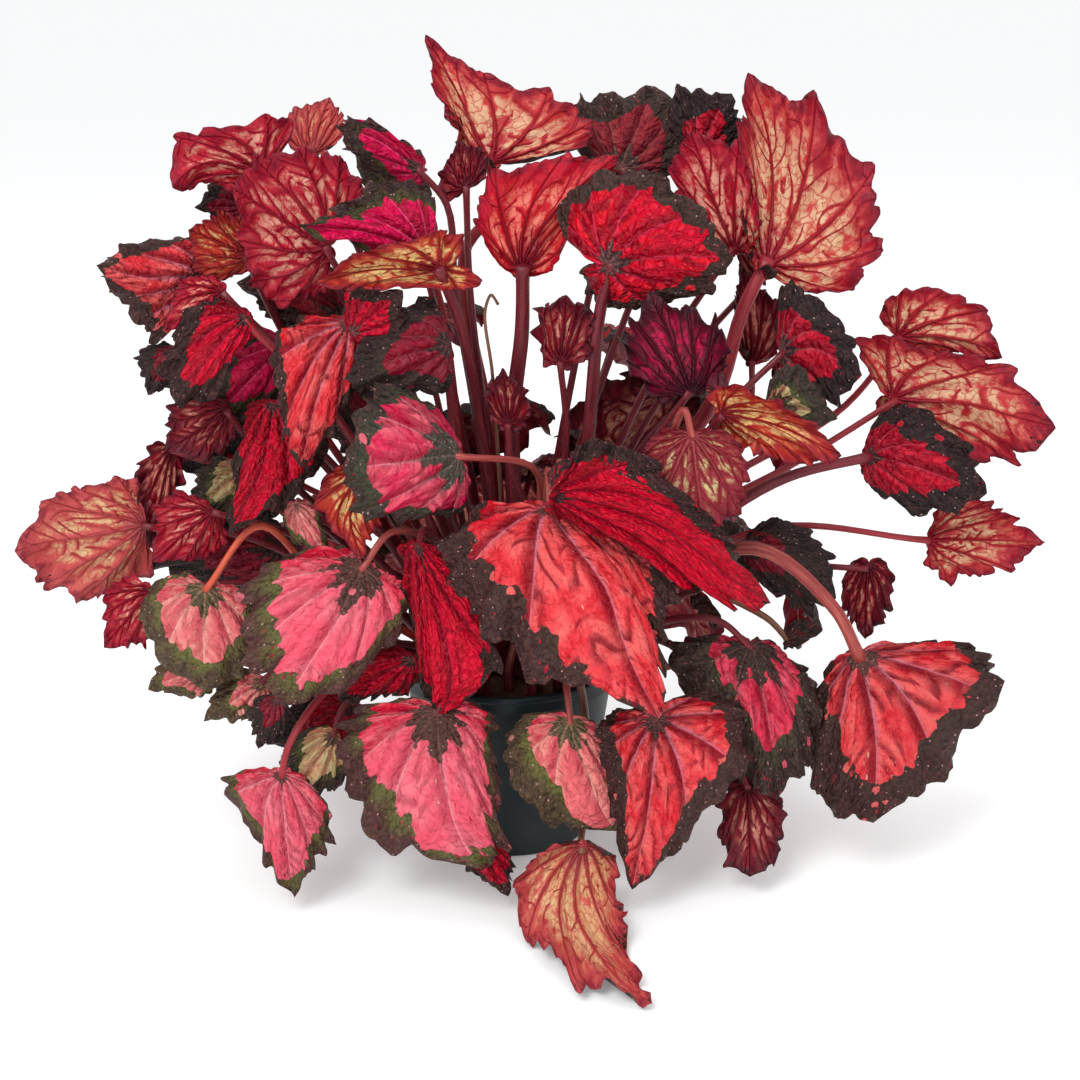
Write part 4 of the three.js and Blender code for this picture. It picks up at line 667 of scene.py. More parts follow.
FAR_GROWTHS = [
    Growth("shoot_back_left_high", (-18, 30), [
        FarLeaf(128, 88, 296, 92, 30, face=Upper.CRIMSON, patch=Patch(0.2, 0.74)),
        FarLeaf(150, 116, 262, 100, 38, face=Upper.PINK, patch=Patch(0.3, 0.72)),
        FarLeaf(148, 70, 224, 82, 48, face=Upper.DARK_RED, patch=Patch(0.24, 0.66)),
    ]),
    Growth("shoot_back_left_low", (-30, 24), [
        FarLeaf(132, 128, 190, 104, 54, face=Upper.CORAL, patch=Patch(0.2, 0.74)),
        FarLeaf(158, 140, 172, 96, 58, face=Upper.DARK_RED, patch=Patch(0.26, 0.66)),
        FarLeaf(146, 98, 148, 88, 66, face=Upper.PALE, patch=Patch(0.3, 0.68)),
    ]),
    Growth("shoot_back_middle", (0, 38), [
        FarLeaf(106, 98, 184, 104, 56, face=Upper.HOT_PINK, patch=Patch(0.32, 0.74)),
        FarLeaf(82, 92, 198, 96, 50, face=Upper.CORAL, patch=Patch(0.16, 0.78)),
        FarLeaf(102, 46, 244, 72, 44, face=Upper.DARK, patch=Patch(0.3, 0.6)),
        Leaf(junction=(604, 468), tip=(662, 350), midrib=(636, 410), lobe_a=(562, 420), lobe_b=(708, 424),
            base_a=(578, 470), base_b=(640, 480), depth=(58, 76), cup=6, face=Under.WINE, ruffle=0.06),
    ]),
    Growth("shoot_back_right_high", (14, 30), [
        FarLeaf(48, 92, 286, 90, 34, face=Upper.SCARLET, patch=Patch(0.2, 0.76)),
        FarLeaf(26, 118, 256, 100, 40, face=Upper.CRIMSON, patch=Patch(0.24, 0.72)),
        FarLeaf(34, 72, 222, 80, 48, face=Upper.DUSKY, patch=Patch(0.24, 0.66)),
    ]),
    Growth("shoot_back_right_low", (30, 28), [
        FarLeaf(44, 130, 188, 104, 54, face=Upper.PINK, patch=Patch(0.3, 0.74)),
        FarLeaf(18, 144, 170, 96, 58, face=Upper.DARK_PINK, patch=Patch(0.3, 0.66)),
        FarLeaf(30, 100, 148, 88, 66, face=Upper.CRIMSON, patch=Patch(0.2, 0.7)),
    ]),
]


# Where a leaf's named marks lie in its own plane: the stalk joins at the origin and the tip is at (0, 1).
MARK_PLACES: dict[str, Place] = {
    "junction": (0.0, 0.0),
    "tip": (0.0, 1.0),
    "midrib": (0.0, 0.5),
    "flank_a": (-0.36, 0.62),
    "flank_b": (0.36, 0.62),
    "lobe_a": (-0.58, 0.22),
    "lobe_b": (0.58, 0.22),
    "base_a": (-0.3, -0.3),
    "base_b": (0.3, -0.3),
}

# The margin's reach from the stalk, in blade lengths, at bearings from the tip in degrees.
MARGIN_BEARINGS = (0, 15, 30, 50, 69, 100, 135, 160, 180)
MARGIN_REACHES = (1.0, 0.83, 0.717, 0.66, 0.62, 0.51, 0.424, 0.3, 0.08)

# A blade has ten main veins an equal turn apart, and side veins a fixed way apart that leave at an angle.
SECTORS = 10
SECTOR_TURN = 2 * math.pi / SECTORS
RUNG_SPACING = 0.15
RUNG_COSINE = 0.7

# Thicknesses and clearances in mm, and the share of the blade's length at which its stalk ends.
LEAF_THICKNESS = 0.7
LEAF_CLEARANCE = 0.2
CAD_LEAF_THICKNESS = 1.6
FIT_GAP = 0.3
STALK_END = 0.03


class Surface(ABC):
    """The plain surface of a blade, from its plane's coordinates to points."""

    @abstractmethod
    def points(self, u: Array, v: Array) -> Array:
        """Gives the points at places across (u) and along (v) the blade, in mm."""


class ThinPlate:
    """The smoothest map of a plane that takes given places to given targets.

    Each target coordinate is a sum of weights times distance squared times its logarithm, plus a plane. The
    weights solve the linear equations that the given pairs set.
    """

    def __init__(self, places: Array, targets: Array) -> None:
        """Solves for the weights.

        Args:
            places: Given places, one a row.
            targets: Their targets, one a row.
        """
        self.places = places
        count = len(places)
        system = np.zeros((count + 3, count + 3))
        system[:count, :count] = self._bending(places[:, None, :] - places[None, :, :])
        system[:count, count] = 1.0
        system[:count, count + 1 :] = places
        system[count:, :count] = system[:count, count:].T
        rights = np.vstack([targets, np.zeros((3, 2))])
        self.weights = np.linalg.solve(system, rights)

    @staticmethod
    def _bending(offsets: Array) -> Array:
        """Gives distance squared times its logarithm, and 0 at no distance."""
        squared = (offsets**2).sum(axis=-1)
        return squared * np.log(np.where(squared > 0, squared, 1.0))

    def __call__(self, u: Array, v: Array) -> Array:
        """Maps places of the plane.

        Args:
            u: Places across.
            v: Places along.

        Returns:
            Targets, with their two coordinates last.
        """
        spots = np.stack([u, v], axis=-1)
        bent = self._bending(spots[..., None, :] - self.places)
        count = len(self.places)
        return bent @ self.weights[:count] + self.weights[count] + spots @ self.weights[count + 1 :]


class MeasuredSurface(Surface):
    """A leaf seen in the measured view: its depth runs from the junction's to the tip's and curves across."""

    def __init__(self, leaf: Leaf) -> None:
        """Fits the map of the leaf's marks.

        Args:
            leaf: The measured leaf.
        """
        self.leaf = leaf
        given = [name for name in MARK_PLACES if getattr(leaf, name) is not None]
        places = np.array([MARK_PLACES[name] for name in given])
        targets = np.array([getattr(leaf, name) for name in given], float)
        self.seen = ThinPlate(places, targets)

    def points(self, u: Array, v: Array) -> Array:
        """Places the seen marks at a depth of start plus the rise along, plus the cup times u squared.

        Args:
            u: Places across the blade, in blade lengths.
            v: Places along it.

        Returns:
            Points, with their three coordinates last.
        """
        seen = self.seen(u, v)
        start, end = self.leaf.depth
        depth = start + (end - start) * v + self.leaf.cup * u * u
        return VIEW.placed(seen[..., 0], seen[..., 1], depth)


class TrailingSurface(MeasuredSurface):
    """A leaf that hangs down in front of the pot and trails out along the surface the pot stands on."""

    FALL_POWER = 1.5

    def points(self, u: Array, v: Array) -> Array:
        """Finds the depth at which each seen row has a height that falls with a power of the rows left.

        Args:
            u: Places across the blade, in blade lengths.
            v: Places along it.

        Returns:
            Points, with their three coordinates last.
        """
        seen = self.seen(u, v)
        trail = self.leaf.trail
        share = np.clip((trail.to_row - seen[..., 1]) / (trail.to_row - trail.from_row), 0.0, None)
        height = FIT_GAP + CAD_LEAF_THICKNESS / 2 + trail.drop * share**self.FALL_POWER
        depth = VIEW.eye[1] + (VIEW.eye[2] - height) / np.tan(VIEW.drop(seen[..., 1]))
        return VIEW.placed(seen[..., 0], seen[..., 1], depth)


class FarSurface(Surface):
    """A leaf of the far side: it faces outwards at its bearing round the pot and droops towards its tip."""

    WIDTH = 0.92
    SIDE_FALL = 0.28
    START_DROOP = 0.55
    MORE_DROOP = 0.45

    def __init__(self, leaf: FarLeaf) -> None:
        """Keeps the leaf and its outward and sideways directions.

        Args:
            leaf: The far leaf.
        """
        self.leaf = leaf
        turn = math.radians(leaf.bearing)
        self.outward = np.array([math.cos(turn), math.sin(turn), 0.0])
        self.aside = np.array([-math.sin(turn), math.cos(turn), 0.0])

    def points(self, u: Array, v: Array) -> Array:
        """Runs outwards by the cosine and down by the sine of a droop that grows along the blade.

        Args:
            u: Places across the blade, in blade lengths.
            v: Places along it.

        Returns:
            Points, with their three coordinates last.
        """
        leaf = self.leaf
        bend = math.radians(leaf.droop) * (self.START_DROOP + self.MORE_DROOP * np.maximum(v, 0.0))
        run = leaf.reach + leaf.length * v * np.cos(bend)
        fall = leaf.length * (v * np.sin(bend) + self.SIDE_FALL * u * u)
        across = leaf.length * self.WIDTH * u
        flat = run[..., None] * self.outward + across[..., None] * self.aside
        flat[..., 2] = leaf.height - fall
        return flat


def surface_of(leaf: Dressed) -> Surface:
    """Chooses the surface that a leaf follows.

    Args:
        leaf: The leaf.

    Returns:
        Its surface.
    """
    if isinstance(leaf, FarLeaf):
        return FarSurface(leaf)
    return TrailingSurface(leaf) if leaf.trail else MeasuredSurface(leaf)


# The layers of values that each corner of a face carries, each of them a pair.
VALUE_LAYERS = ("sector", "plane", "zones", "blade", "ladder")


class Corner(IntEnum):
    """Where each value of a corner lies in its row, which holds the pairs of VALUE_LAYERS in turn."""

    PHASE = 0
    RADIUS = 1
    ACROSS = 2
    ALONG = 3
    STAR = 4
    BEYOND = 5
    SHARE = 6
    TONE = 7
    LADDER = 8
    SPACING = 9


def plain_values(shape: tuple[int, ...]) -> Array:
    """Gives corner values of nought for faces whose finish reads none."""
    return np.zeros((*shape, len(Corner)))


def around(points: Array, forward: bool) -> Array:
    """Keeps the corners of faces in their order, or turns them round so that the faces look the other way."""
    return points if forward else points[:, ::-1]


class MeshParts:
    """Points, faces, finishes and corner values gathered for one piece.

    The corner values are pairs, one for each layer of VALUE_LAYERS.
    """

    def __init__(self) -> None:
        """Starts empty."""
        self.points: list[Array] = []
        self.corners: list[Array] = []
        self.sizes: list[Array] = []
        self.slots: list[Array] = []
        self.values: list[Array] = []
        self.finishes: list[Material] = []
        self.count = 0

    def add_points(self, points: Array) -> Array:
        """Adds points in mm.

        Args:
            points: Points, with their three coordinates last.

        Returns:
            Their numbers, in the shape of the points.
        """
        shape = points.shape[:-1]
        numbers = self.count + np.arange(math.prod(shape)).reshape(shape)
        self.points.append(points.reshape(-1, 3))
        self.count += numbers.size
        return numbers

    def add_faces(self, corners: Array, finish: Material, values: Optional[Array] = None) -> None:
        """Adds faces that have the same number of corners.

        Args:
            corners: Point numbers, one face a row.
            finish: The faces' finish.
            values: Corner values, with a row for each corner of each face; none are all nought.
        """
        if finish not in self.finishes:
            self.finishes.append(finish)
        if values is None:
            values = plain_values(corners.shape)
        faces, sides = corners.shape
        self.corners.append(corners.reshape(-1))
        self.sizes.append(np.full(faces, sides))
        self.slots.append(np.full(faces, self.finishes.index(finish)))
        self.values.append(values.reshape(-1, len(Corner)))

    def add_ring_grid(self, points: Array, finish: Material) -> Array:
        """Adds a sheet of quads over a grid whose last column joins the first.

        Each face goes from a point to the next column, on to the next row and back.

        Args:
            points: Rows by columns of points.
            finish: The sheet's finish.

        Returns:
            The point numbers, in rows and columns.
        """
        numbers = self.add_points(points)
        following = np.roll(numbers, -1, axis=1)
        quads = np.stack([numbers[:-1], following[:-1], following[1:], numbers[1:]], axis=-1)
        self.add_faces(quads.reshape(-1, 4), finish)
        return numbers

    def add_cap(self, ring: Array, pole: Array, finish: Material) -> None:
        """Closes a ring of points with a fan of triangles round a pole.

        Args:
            ring: Point numbers of the ring, in the order in which the fan's faces go round.
            pole: The pole.
            finish: The fan's finish.
        """
        top = self.add_points(pole[None])
        fan = np.stack([np.full(len(ring), top[0]), ring, np.roll(ring, -1)], axis=-1)
        self.add_faces(fan, finish)

    def weld(self) -> None:
        """Joins points that lie at the same place, to a thousandth of a millimetre."""
        points = np.round(np.vstack(self.points), 3)
        kept, numbers = np.unique(points, axis=0, return_inverse=True)
        numbers = numbers.reshape(-1)
        self.points = [kept]
        self.corners = [numbers[corners] for corners in self.corners]
        self.count = len(kept)

    def build(self, name: str) -> Piece:
        """Makes the piece.

        Args:
            name: Name of the piece.

        Returns:
            An object at the origin, with its place in its mesh, in metres.
        """
        mesh = bpy.data.meshes.new(name)
        points = np.vstack(self.points) * MM
        corners = np.concatenate(self.corners)
        sizes = np.concatenate(self.sizes)
        mesh.vertices.add(len(points))
        mesh.vertices.foreach_set("co", points.astype(np.float32).ravel())
        mesh.loops.add(len(corners))
        mesh.loops.foreach_set("vertex_index", corners.astype(np.int32))
        mesh.polygons.add(len(sizes))
        starts = np.concatenate([[0], np.cumsum(sizes)[:-1]])
        mesh.polygons.foreach_set("loop_start", starts.astype(np.int32))
        mesh.polygons.foreach_set("material_index", np.concatenate(self.slots).astype(np.int32))
        mesh.polygons.foreach_set("use_smooth", np.ones(len(sizes), bool))
        values = np.vstack(self.values).astype(np.float32)
        for k, layer_name in enumerate(VALUE_LAYERS):
            layer = mesh.uv_layers.new(name=layer_name)
            layer.uv.foreach_set("vector", values[:, 2 * k : 2 * k + 2].ravel())
        for finish in self.finishes:
            mesh.materials.append(finish)
        mesh.update(calc_edges=True)
        mesh.validate()
        piece = bpy.data.objects.new(name, mesh)
        bpy.context.scene.collection.objects.link(piece)
        return piece


class Flow:
    """A value, colour or vector on its way through a material's nodes. Operators on values add Math nodes."""

    def __init__(self, board: "Board", socket: bpy.types.NodeSocket) -> None:
        """Wraps an output socket.

        Args:
            board: The board that the socket's node is on.
            socket: The output socket.
        """
        self.board = board
        self.socket = socket

    def __add__(self, other: "Value") -> "Flow":
        """Adds."""
        return self.board.math("ADD", self, other)

    __radd__ = __add__

    def __sub__(self, other: "Value") -> "Flow":
        """Subtracts."""
        return self.board.math("SUBTRACT", self, other)

    def __rsub__(self, other: "Value") -> "Flow":
        """Subtracts this flow from a number."""
        return self.board.math("SUBTRACT", other, self)

    def __mul__(self, other: "Value") -> "Flow":
        """Multiplies."""
        return self.board.math("MULTIPLY", self, other)

    __rmul__ = __mul__

    def __abs__(self) -> "Flow":
        """Drops the sign."""
        return self.board.math("ABSOLUTE", self)

    def past_whole(self) -> "Flow":
        """Gives how far a value is past the nearest whole number, from -0.5 to 0.5."""
        return self - self.board.math("ROUND", self)

    def larger(self, other: "Value") -> "Flow":
        """Gives the larger of two values."""
        return self.board.math("MAXIMUM", self, other)

    def rise(self, low: float, high: float) -> "Flow":
        """Rises smoothly from 0 at low to 1 at high.

        Args:
            low: Value at which the rise starts.
            high: Value at which it ends.

        Returns:
            A share from 0 to 1.
        """
        ends = {"Value": self, "From Min": low, "From Max": high}
        return self.board.node("ShaderNodeMapRange", {"interpolation_type": "SMOOTHSTEP"}, ends, "Result")

    def fall(self, low: float, high: float) -> "Flow":
        """Falls smoothly from 1 at low to 0 at high."""
        return 1 - self.rise(low, high)

    def hump(self, near: float, wide: float, end: float) -> "Flow":
        """Rises from 0 at 0 to 1 at near, and falls from wide to 0 at end."""
        return self.rise(0.0, near) * self.fall(wide, end)

    def part(self, name: str) -> "Flow":
        """Gives the X, Y or Z part of a vector."""
        return self.board.node("ShaderNodeSeparateXYZ", {}, {"Vector": self}, name)

    def sibling(self, name: str) -> "Flow":
        """Gives another output of the same node."""
        return Flow(self.board, self.socket.node.outputs[name])


Value = Union[Flow, float]
Paint = Union[Flow, Colour]


class Board:
    """The node board of one material."""

    def __init__(self, name: str) -> None:
        """Makes an empty material.

        Args:
            name: Name of the material.
        """
        self.material = bpy.data.materials.new(name)
        self.material.use_nodes = True
        self.tree = self.material.node_tree
        self.tree.nodes.clear()

    def _set(self, socket: bpy.types.NodeSocket, value: Value) -> None:
        """Links a flow to an input socket, or sets a constant on it.

        Args:
            socket: The input socket.
            value: The flow or constant.
        """
        if isinstance(value, Flow):
            self.tree.links.new(value.socket, socket)
        else:
            socket.default_value = value

    def node(self, kind: str, settings: dict, inputs: dict, output: Union[str, int] = 0) -> Flow:
        """Adds a node, sets its settings first and then its sockets.

        Args:
            kind: Node type.
            settings: Values of the node's own settings.
            inputs: Values or flows by the identifier or name of the socket.
            output: Name, identifier or number of the output to give back.

        Returns:
            The chosen output.
        """
        made = self.tree.nodes.new(kind)
        for key, value in settings.items():
            setattr(made, key, value)
        for key, value in inputs.items():
            self._set(next(found for found in made.inputs if key in (found.identifier, found.name)), value)
        if isinstance(output, int):
            return Flow(self, made.outputs[output])
        return Flow(self, next(found for found in made.outputs if output in (found.identifier, found.name)))

    def math(self, operation: str, *values: Value) -> Flow:
        """Adds a Math node.

        Args:
            operation: What it works out.
            values: The one or two values that it takes.

        Returns:
            Its result.
        """
        made = self.tree.nodes.new("ShaderNodeMath")
        made.operation = operation
        for socket, value in zip(made.inputs, values):
            self._set(socket, value)
        return Flow(self, made.outputs[0])

    def mix(self, share: Value, first: Paint, second: Paint) -> Flow:
        """Mixes two colours.

        Args:
            share: How much of the second, from 0 to 1.
            first: Colour at share 0.
            second: Colour at share 1.

        Returns:
            The mixed colour.
        """
        settings = {"data_type": "RGBA", "clamp_factor": True}
        inputs = {"Factor_Float": share, "A_Color": first, "B_Color": second}
        return self.node("ShaderNodeMix", settings, inputs, "Result_Color")

    def toned(self, colour: Flow, tone: Flow) -> Flow:
        """Makes a colour a little lighter or darker by a leaf's own tone, which runs from -1 to 1."""
        inputs = {"Value": tone * 0.1 + 0.97, "Saturation": 1.04, "Color": colour}
        return self.node("ShaderNodeHueSaturation", {}, inputs, "Color")

    def layer(self, name: str) -> Flow:
        """Reads a pair of the piece's own corner values."""
        return self.node("ShaderNodeUVMap", {"uv_map": name}, {}, "UV")

    def place(self) -> Flow:
        """Reads the place on the piece, in metres."""
        return self.node("ShaderNodeTexCoord", {}, {}, "Object")

    def noise(self, at: Flow, scale: float, detail: float = 2.0, space: str = "3D") -> Flow:
        """Gives smooth noise about 0, from -0.5 to 0.5.

        Args:
            at: Where on the piece.
            scale: Waves in one unit of the place.
            detail: Number of finer waves.
            space: "2D" on a blade's own plane, or "3D".

        Returns:
            The noise.
        """
        inputs = {"Vector": at, "Scale": scale, "Detail": detail}
        return self.node("ShaderNodeTexNoise", {"noise_dimensions": space}, inputs, 0) - 0.5

    def cells(self, at: Flow, scale: float, feature: str = "F1", space: str = "3D") -> Flow:
        """Gives the distance in a pattern of irregular cells; the same node's "Color" is each cell's own.

        Args:
            at: Where on the piece.
            scale: Cells in one unit of the place.
            feature: Distance feature of the pattern.
            space: "2D" on a blade's own plane, or "3D".

        Returns:
            The distance.
        """
        settings = {"feature": feature, "voronoi_dimensions": space}
        return self.node("ShaderNodeTexVoronoi", settings, {"Vector": at, "Scale": scale}, "Distance")

    def close(
        self,
        colour: Paint,
        roughness: Value,
        height: Optional[Flow] = None,
        relief: float = 0.0005,
        **constants: float,
    ) -> None:
        """Closes the board with a surface shader.

        Args:
            colour: Base colour.
            roughness: Roughness.
            height: Height of the fine relief, from 0 to 1.
            relief: How high the relief stands, in metres.
            constants: Numbers set on the shader's own sockets, by their names with underscores for spaces.
        """
        inputs = {"Base Color": colour, "Roughness": roughness}
        inputs.update({key.replace("_", " "): value for key, value in constants.items()})
        if height is not None:
            bump = {"Strength": 1.0, "Distance": relief, "Height": height}
            inputs["Normal"] = self.node("ShaderNodeBump", {}, bump, "Normal")
        shader = self.node("ShaderNodeBsdfPrincipled", {}, inputs, "BSDF")
        output = self.tree.nodes.new("ShaderNodeOutputMaterial")
        self._set(output.inputs["Surface"], shader)


class Finish(ABC):
    """A finish that makes its own material."""

    def dress(self, name: str) -> Material:
        """Makes the material.

        Args:
            name: Name of the material.

        Returns:
            The material.
        """
        board = Board(name)
        self.fill(board)
        return board.material

    @abstractmethod
    def fill(self, board: Board) -> None:
        """Lays the finish out on a material's board."""


class BladeLie:
    """Where a point lies on its blade: among the main veins, the side veins and the zones of colour."""

    def __init__(self, board: Board) -> None:
        """Adds the nodes that read and bend the blade's corner values.

        Args:
            board: The board of the blade's material.
        """
        sector = board.layer("sector")
        zones = board.layer("zones")
        blade = board.layer("blade")
        ladder = board.layer("ladder")
        self.plane = board.layer("plane")
        self.wander = board.noise(self.plane, 5.5, 2.0, "2D")
        self.fine = board.noise(self.plane, 20.0, 3.0, "2D")
        self.grain = board.noise(self.plane, 70.0, 1.0, "2D")
        self.phase = sector.part("X")
        turned_by = self.phase.past_whole()
        self.side = abs(turned_by)
        self.past = turned_by * SECTOR_TURN * (sector.part("Y") * DECIMETRE)
        self.away = abs(self.past)
        chevron = ladder.part("X") + board.math("GREATER_THAN", turned_by, 0.0) * 0.5
        self.beyond_rung = chevron.past_whole() * ladder.part("Y") * (DECIMETRE * RUNG_COSINE)
        self.rung = abs(self.beyond_rung)
        self.star = zones.part("X")
        self.beyond = zones.part("Y")
        self.share = blade.part("X")
        self.tone = blade.part("Y")
        drift = {"X": self.fine * 0.08, "Y": self.wander * 0.09}
        shift = board.node("ShaderNodeCombineXYZ", {}, drift, "Vector")
        ends = {"Vector": self.plane, "Vector_001": shift}
        bent = board.node("ShaderNodeVectorMath", {"operation": "ADD"}, ends, "Vector")
        self.net = board.cells(bent, 19.0, "DISTANCE_TO_EDGE", "2D")
        self.rough_net = self.net + self.grain * 0.05


@dataclass(frozen=True)
class UpperFinish(Finish):
    """The upper face of a leaf: a coloured patch between a dark star at the stalk and a dark margin.

    Args:
        centre: Colour of the patch about the midrib.
        lobe: Its deeper colour on the lobes.
        edge: Its lighter colour, in clouds and islands, and as the painted highlight on the lit flank past
            each vein.
        vein: Colour of the main veins in it.
        star: Colour of the star.
        star_vein: Colour of the veins in the star.
        margin: Colour of the margin.
        margin_light: Its lighter clouds.
        olive: The greenish strip between patch and margin.
        speck: Colour of the margin's small dots.
        shade: Colour of the painted shade on the shaded flank past each vein, and of the side veins and the
            net between them.
        painted_hollow_shade: Colour of the painted shade in the hollows between the small warts of the dark
            parts.
        painted_fold_shading: Strength of the painted highlight and painted shade on the two flanks past each
            vein.
        lines: Strength of the side veins and of the net between them.
        band: Strength of the pale bands along the main veins.
        puff: Height of the small puckers.
        mottle: Strength of the clouds of the deeper colour.
        roughness: Roughness.
    """

    centre: Colour
    lobe: Colour
    edge: Colour
    vein: Colour
    star: Colour = paint(72, 56, 52)
    star_vein: Colour = paint(140, 88, 84)
    margin: Colour = paint(58, 34, 34)
    margin_light: Colour = paint(98, 64, 58)
    olive: Colour = paint(84, 82, 44)
    speck: Colour = paint(222, 170, 174)
    shade: Colour = paint(112, 6, 24)
    painted_hollow_shade: Colour = paint(28, 18, 20)
    painted_fold_shading: float = 0.6
    lines: float = 0.3
    band: float = 0.3
    puff: float = 0.5
    mottle: float = 0.55
    roughness: float = 0.44

    def fill(self, board: Board) -> None:
        """Lays the dark parts over the patch: the star, the rays that run out of it and the ragged margin.

        Args:
            board: The material's board.
        """
        lie = BladeLie(board)
        star_limit = 1.12 - lie.side * 0.62 + lie.wander * 0.7 + lie.fine * 0.6
        in_star = (lie.star - star_limit).fall(-0.03, 0.03)
        ray = lie.away.fall(0.2, 0.5) * lie.star.fall(1.1, 1.7)
        beyond = lie.beyond + (0.25 - lie.side) * 0.12 + lie.fine * 0.12 + lie.wander * 0.3
        outside = beyond.rise(-0.006, 0.006)
        dark_share = in_star.larger(ray * 0.8).larger(outside)
        warts = board.cells(lie.plane, 55.0, "F1", "2D")
        dark = board.mix(1 - outside, self._margin(board, lie, beyond), self._star(board, lie))
        dark = self._strewn(board, lie, dark, warts)
        colour = board.toned(board.mix(dark_share, self._patch(board, lie), dark), lie.tone)
        soft = lie.rung.rise(0.0, 5.0) * 0.5 + lie.away.rise(0.0, 5.0) * 0.5
        height = soft * 0.5 + lie.net.rise(-0.05, 0.4) * self.puff + lie.fine * 0.6 + lie.grain * 0.3
        height = height - dark_share * warts * 0.4
        rough = self.roughness + lie.fine * 0.25 + dark_share * 0.12
        board.close(colour, rough, height, 0.0018, Specular_IOR_Level=0.22)

    def _patch(self, board: Board, lie: BladeLie) -> Flow:
        """Colours the patch: clouds, a painted highlight on one flank and painted shade on the other flank
        past the veins, and the veins themselves.

        Args:
            board: The material's board.
            lie: Where the point lies.

        Returns:
            The patch's colour.
        """
        strong = (lie.wander + lie.fine * 0.4).rise(-0.22, 0.16)
        # Painted shade on the shaded flank past each side vein and each main vein, as if the folds were lit
        # from one side.
        painted_shade_rung_flank = (lie.beyond_rung * -1.0).hump(0.8, 1.6, 5.6) * strong
        painted_shade_flank = painted_shade_rung_flank.larger((lie.past * -1.0).hump(0.9, 3.0, 9.0) * (1 - strong * 0.3))
        # Painted highlight on the lit flank past each side vein and each main vein.
        light = (lie.beyond_rung.hump(1.8, 2.6, 6.2) * strong).larger(lie.past.hump(1.0, 2.4, 6.5) * 0.8)
        main_band = (lie.away + lie.fine * 2.4).fall(0.5, 2.8) * lie.share.fall(0.2, 0.85)
        side_line = (lie.rung + lie.fine * 0.8).fall(0.05, 0.6) * strong
        net_line = lie.rough_net.fall(0.0, 0.08)
        clouds = (lie.fine - lie.wander + lie.grain * 0.4).rise(0.0, 0.24)
        colour = board.mix((abs(lie.phase) + lie.wander * 2.0).rise(1.2, 3.2), self.centre, self.lobe)
        colour = board.mix((lie.wander + lie.fine * 0.6).rise(-0.12, 0.26) * 0.7, colour, self.edge)
        # Painted highlight: the lit flanks take the lighter colour.
        colour = board.mix(light * self.painted_fold_shading, colour, self.edge)
        colour = board.mix(clouds * self.mottle, colour, self.lobe)
        colour = board.mix(main_band * self.band, colour, self.vein)
        # Painted shade: the shaded flanks take the shade colour.
        colour = board.mix(painted_shade_flank * self.painted_fold_shading, colour, self.shade)
        colour = board.mix((net_line * 0.35).larger(side_line) * self.lines, colour, self.shade)
        return board.mix(lie.away.fall(0.15, 0.6) * 0.55, colour, self.vein)

    def _margin(self, board: Board, lie: BladeLie, beyond: Flow) -> Flow:
        """Colours the margin, greenish next to the patch.

        Args:
            board: The material's board.
            lie: Where the point lies.
            beyond: How far beyond the patch it lies, as a share of the way to the margin.

        Returns:
            The margin's colour.
        """
        greenish = beyond.fall(0.02, 0.2) * (lie.wander + lie.fine * 0.5).rise(-0.16, 0.1)
        clouds = (lie.fine + lie.grain * 0.7).rise(-0.12, 0.3) * 0.7
        return board.mix(greenish * 0.85, board.mix(clouds, self.margin, self.margin_light), self.olive)

    def _star(self, board: Board, lie: BladeLie) -> Flow:
        """Colours the star, with its veins.

        Args:
            board: The material's board.
            lie: Where the point lies.

        Returns:
            The star's colour.
        """
        colour = board.mix((lie.fine + lie.grain).rise(-0.1, 0.3) * 0.5, self.star, self.margin_light)
        return board.mix((lie.away + lie.fine).fall(0.2, 1.0) * 0.7, colour, self.star_vein)

    def _strewn(self, board: Board, lie: BladeLie, dark: Flow, warts: Flow) -> Flow:
        """Strews the dark parts with a light frill, painted shade in the hollows between warts, pale dots and
        rare islands of the patch's colour.

        Args:
            board: The material's board.
            lie: Where the point lies.
            dark: Colour of the dark parts.
            warts: Distance from the centre of the nearest of the small warts.

        Returns:
            Their colour with all that.
        """
        frill = (lie.share + lie.grain * 0.04).rise(0.965, 0.99)
        dark = board.mix(frill * lie.fine.rise(-0.12, 0.12) * 0.6, dark, self.margin_light)
        # Painted shade in the hollows between the warts, where the bump sinks the surface.
        dark = board.mix((warts + lie.fine * 0.4).rise(0.35, 0.75) * 0.4, dark, self.painted_hollow_shade)
        spot = board.cells(lie.plane, 34.0, "F1", "2D")
        speck = spot.fall(0.08, 0.15) * spot.sibling("Color").part("X").rise(0.86, 0.88)
        dark = board.mix(speck * 0.7, dark, self.speck)
        spot = board.cells(lie.plane, 11.0, "F1", "2D")
        island = (spot + lie.fine * 0.5).fall(0.2, 0.24) * spot.sibling("Color").part("Y").rise(0.9, 0.92)
        return board.mix(island * 0.9, dark, self.edge)


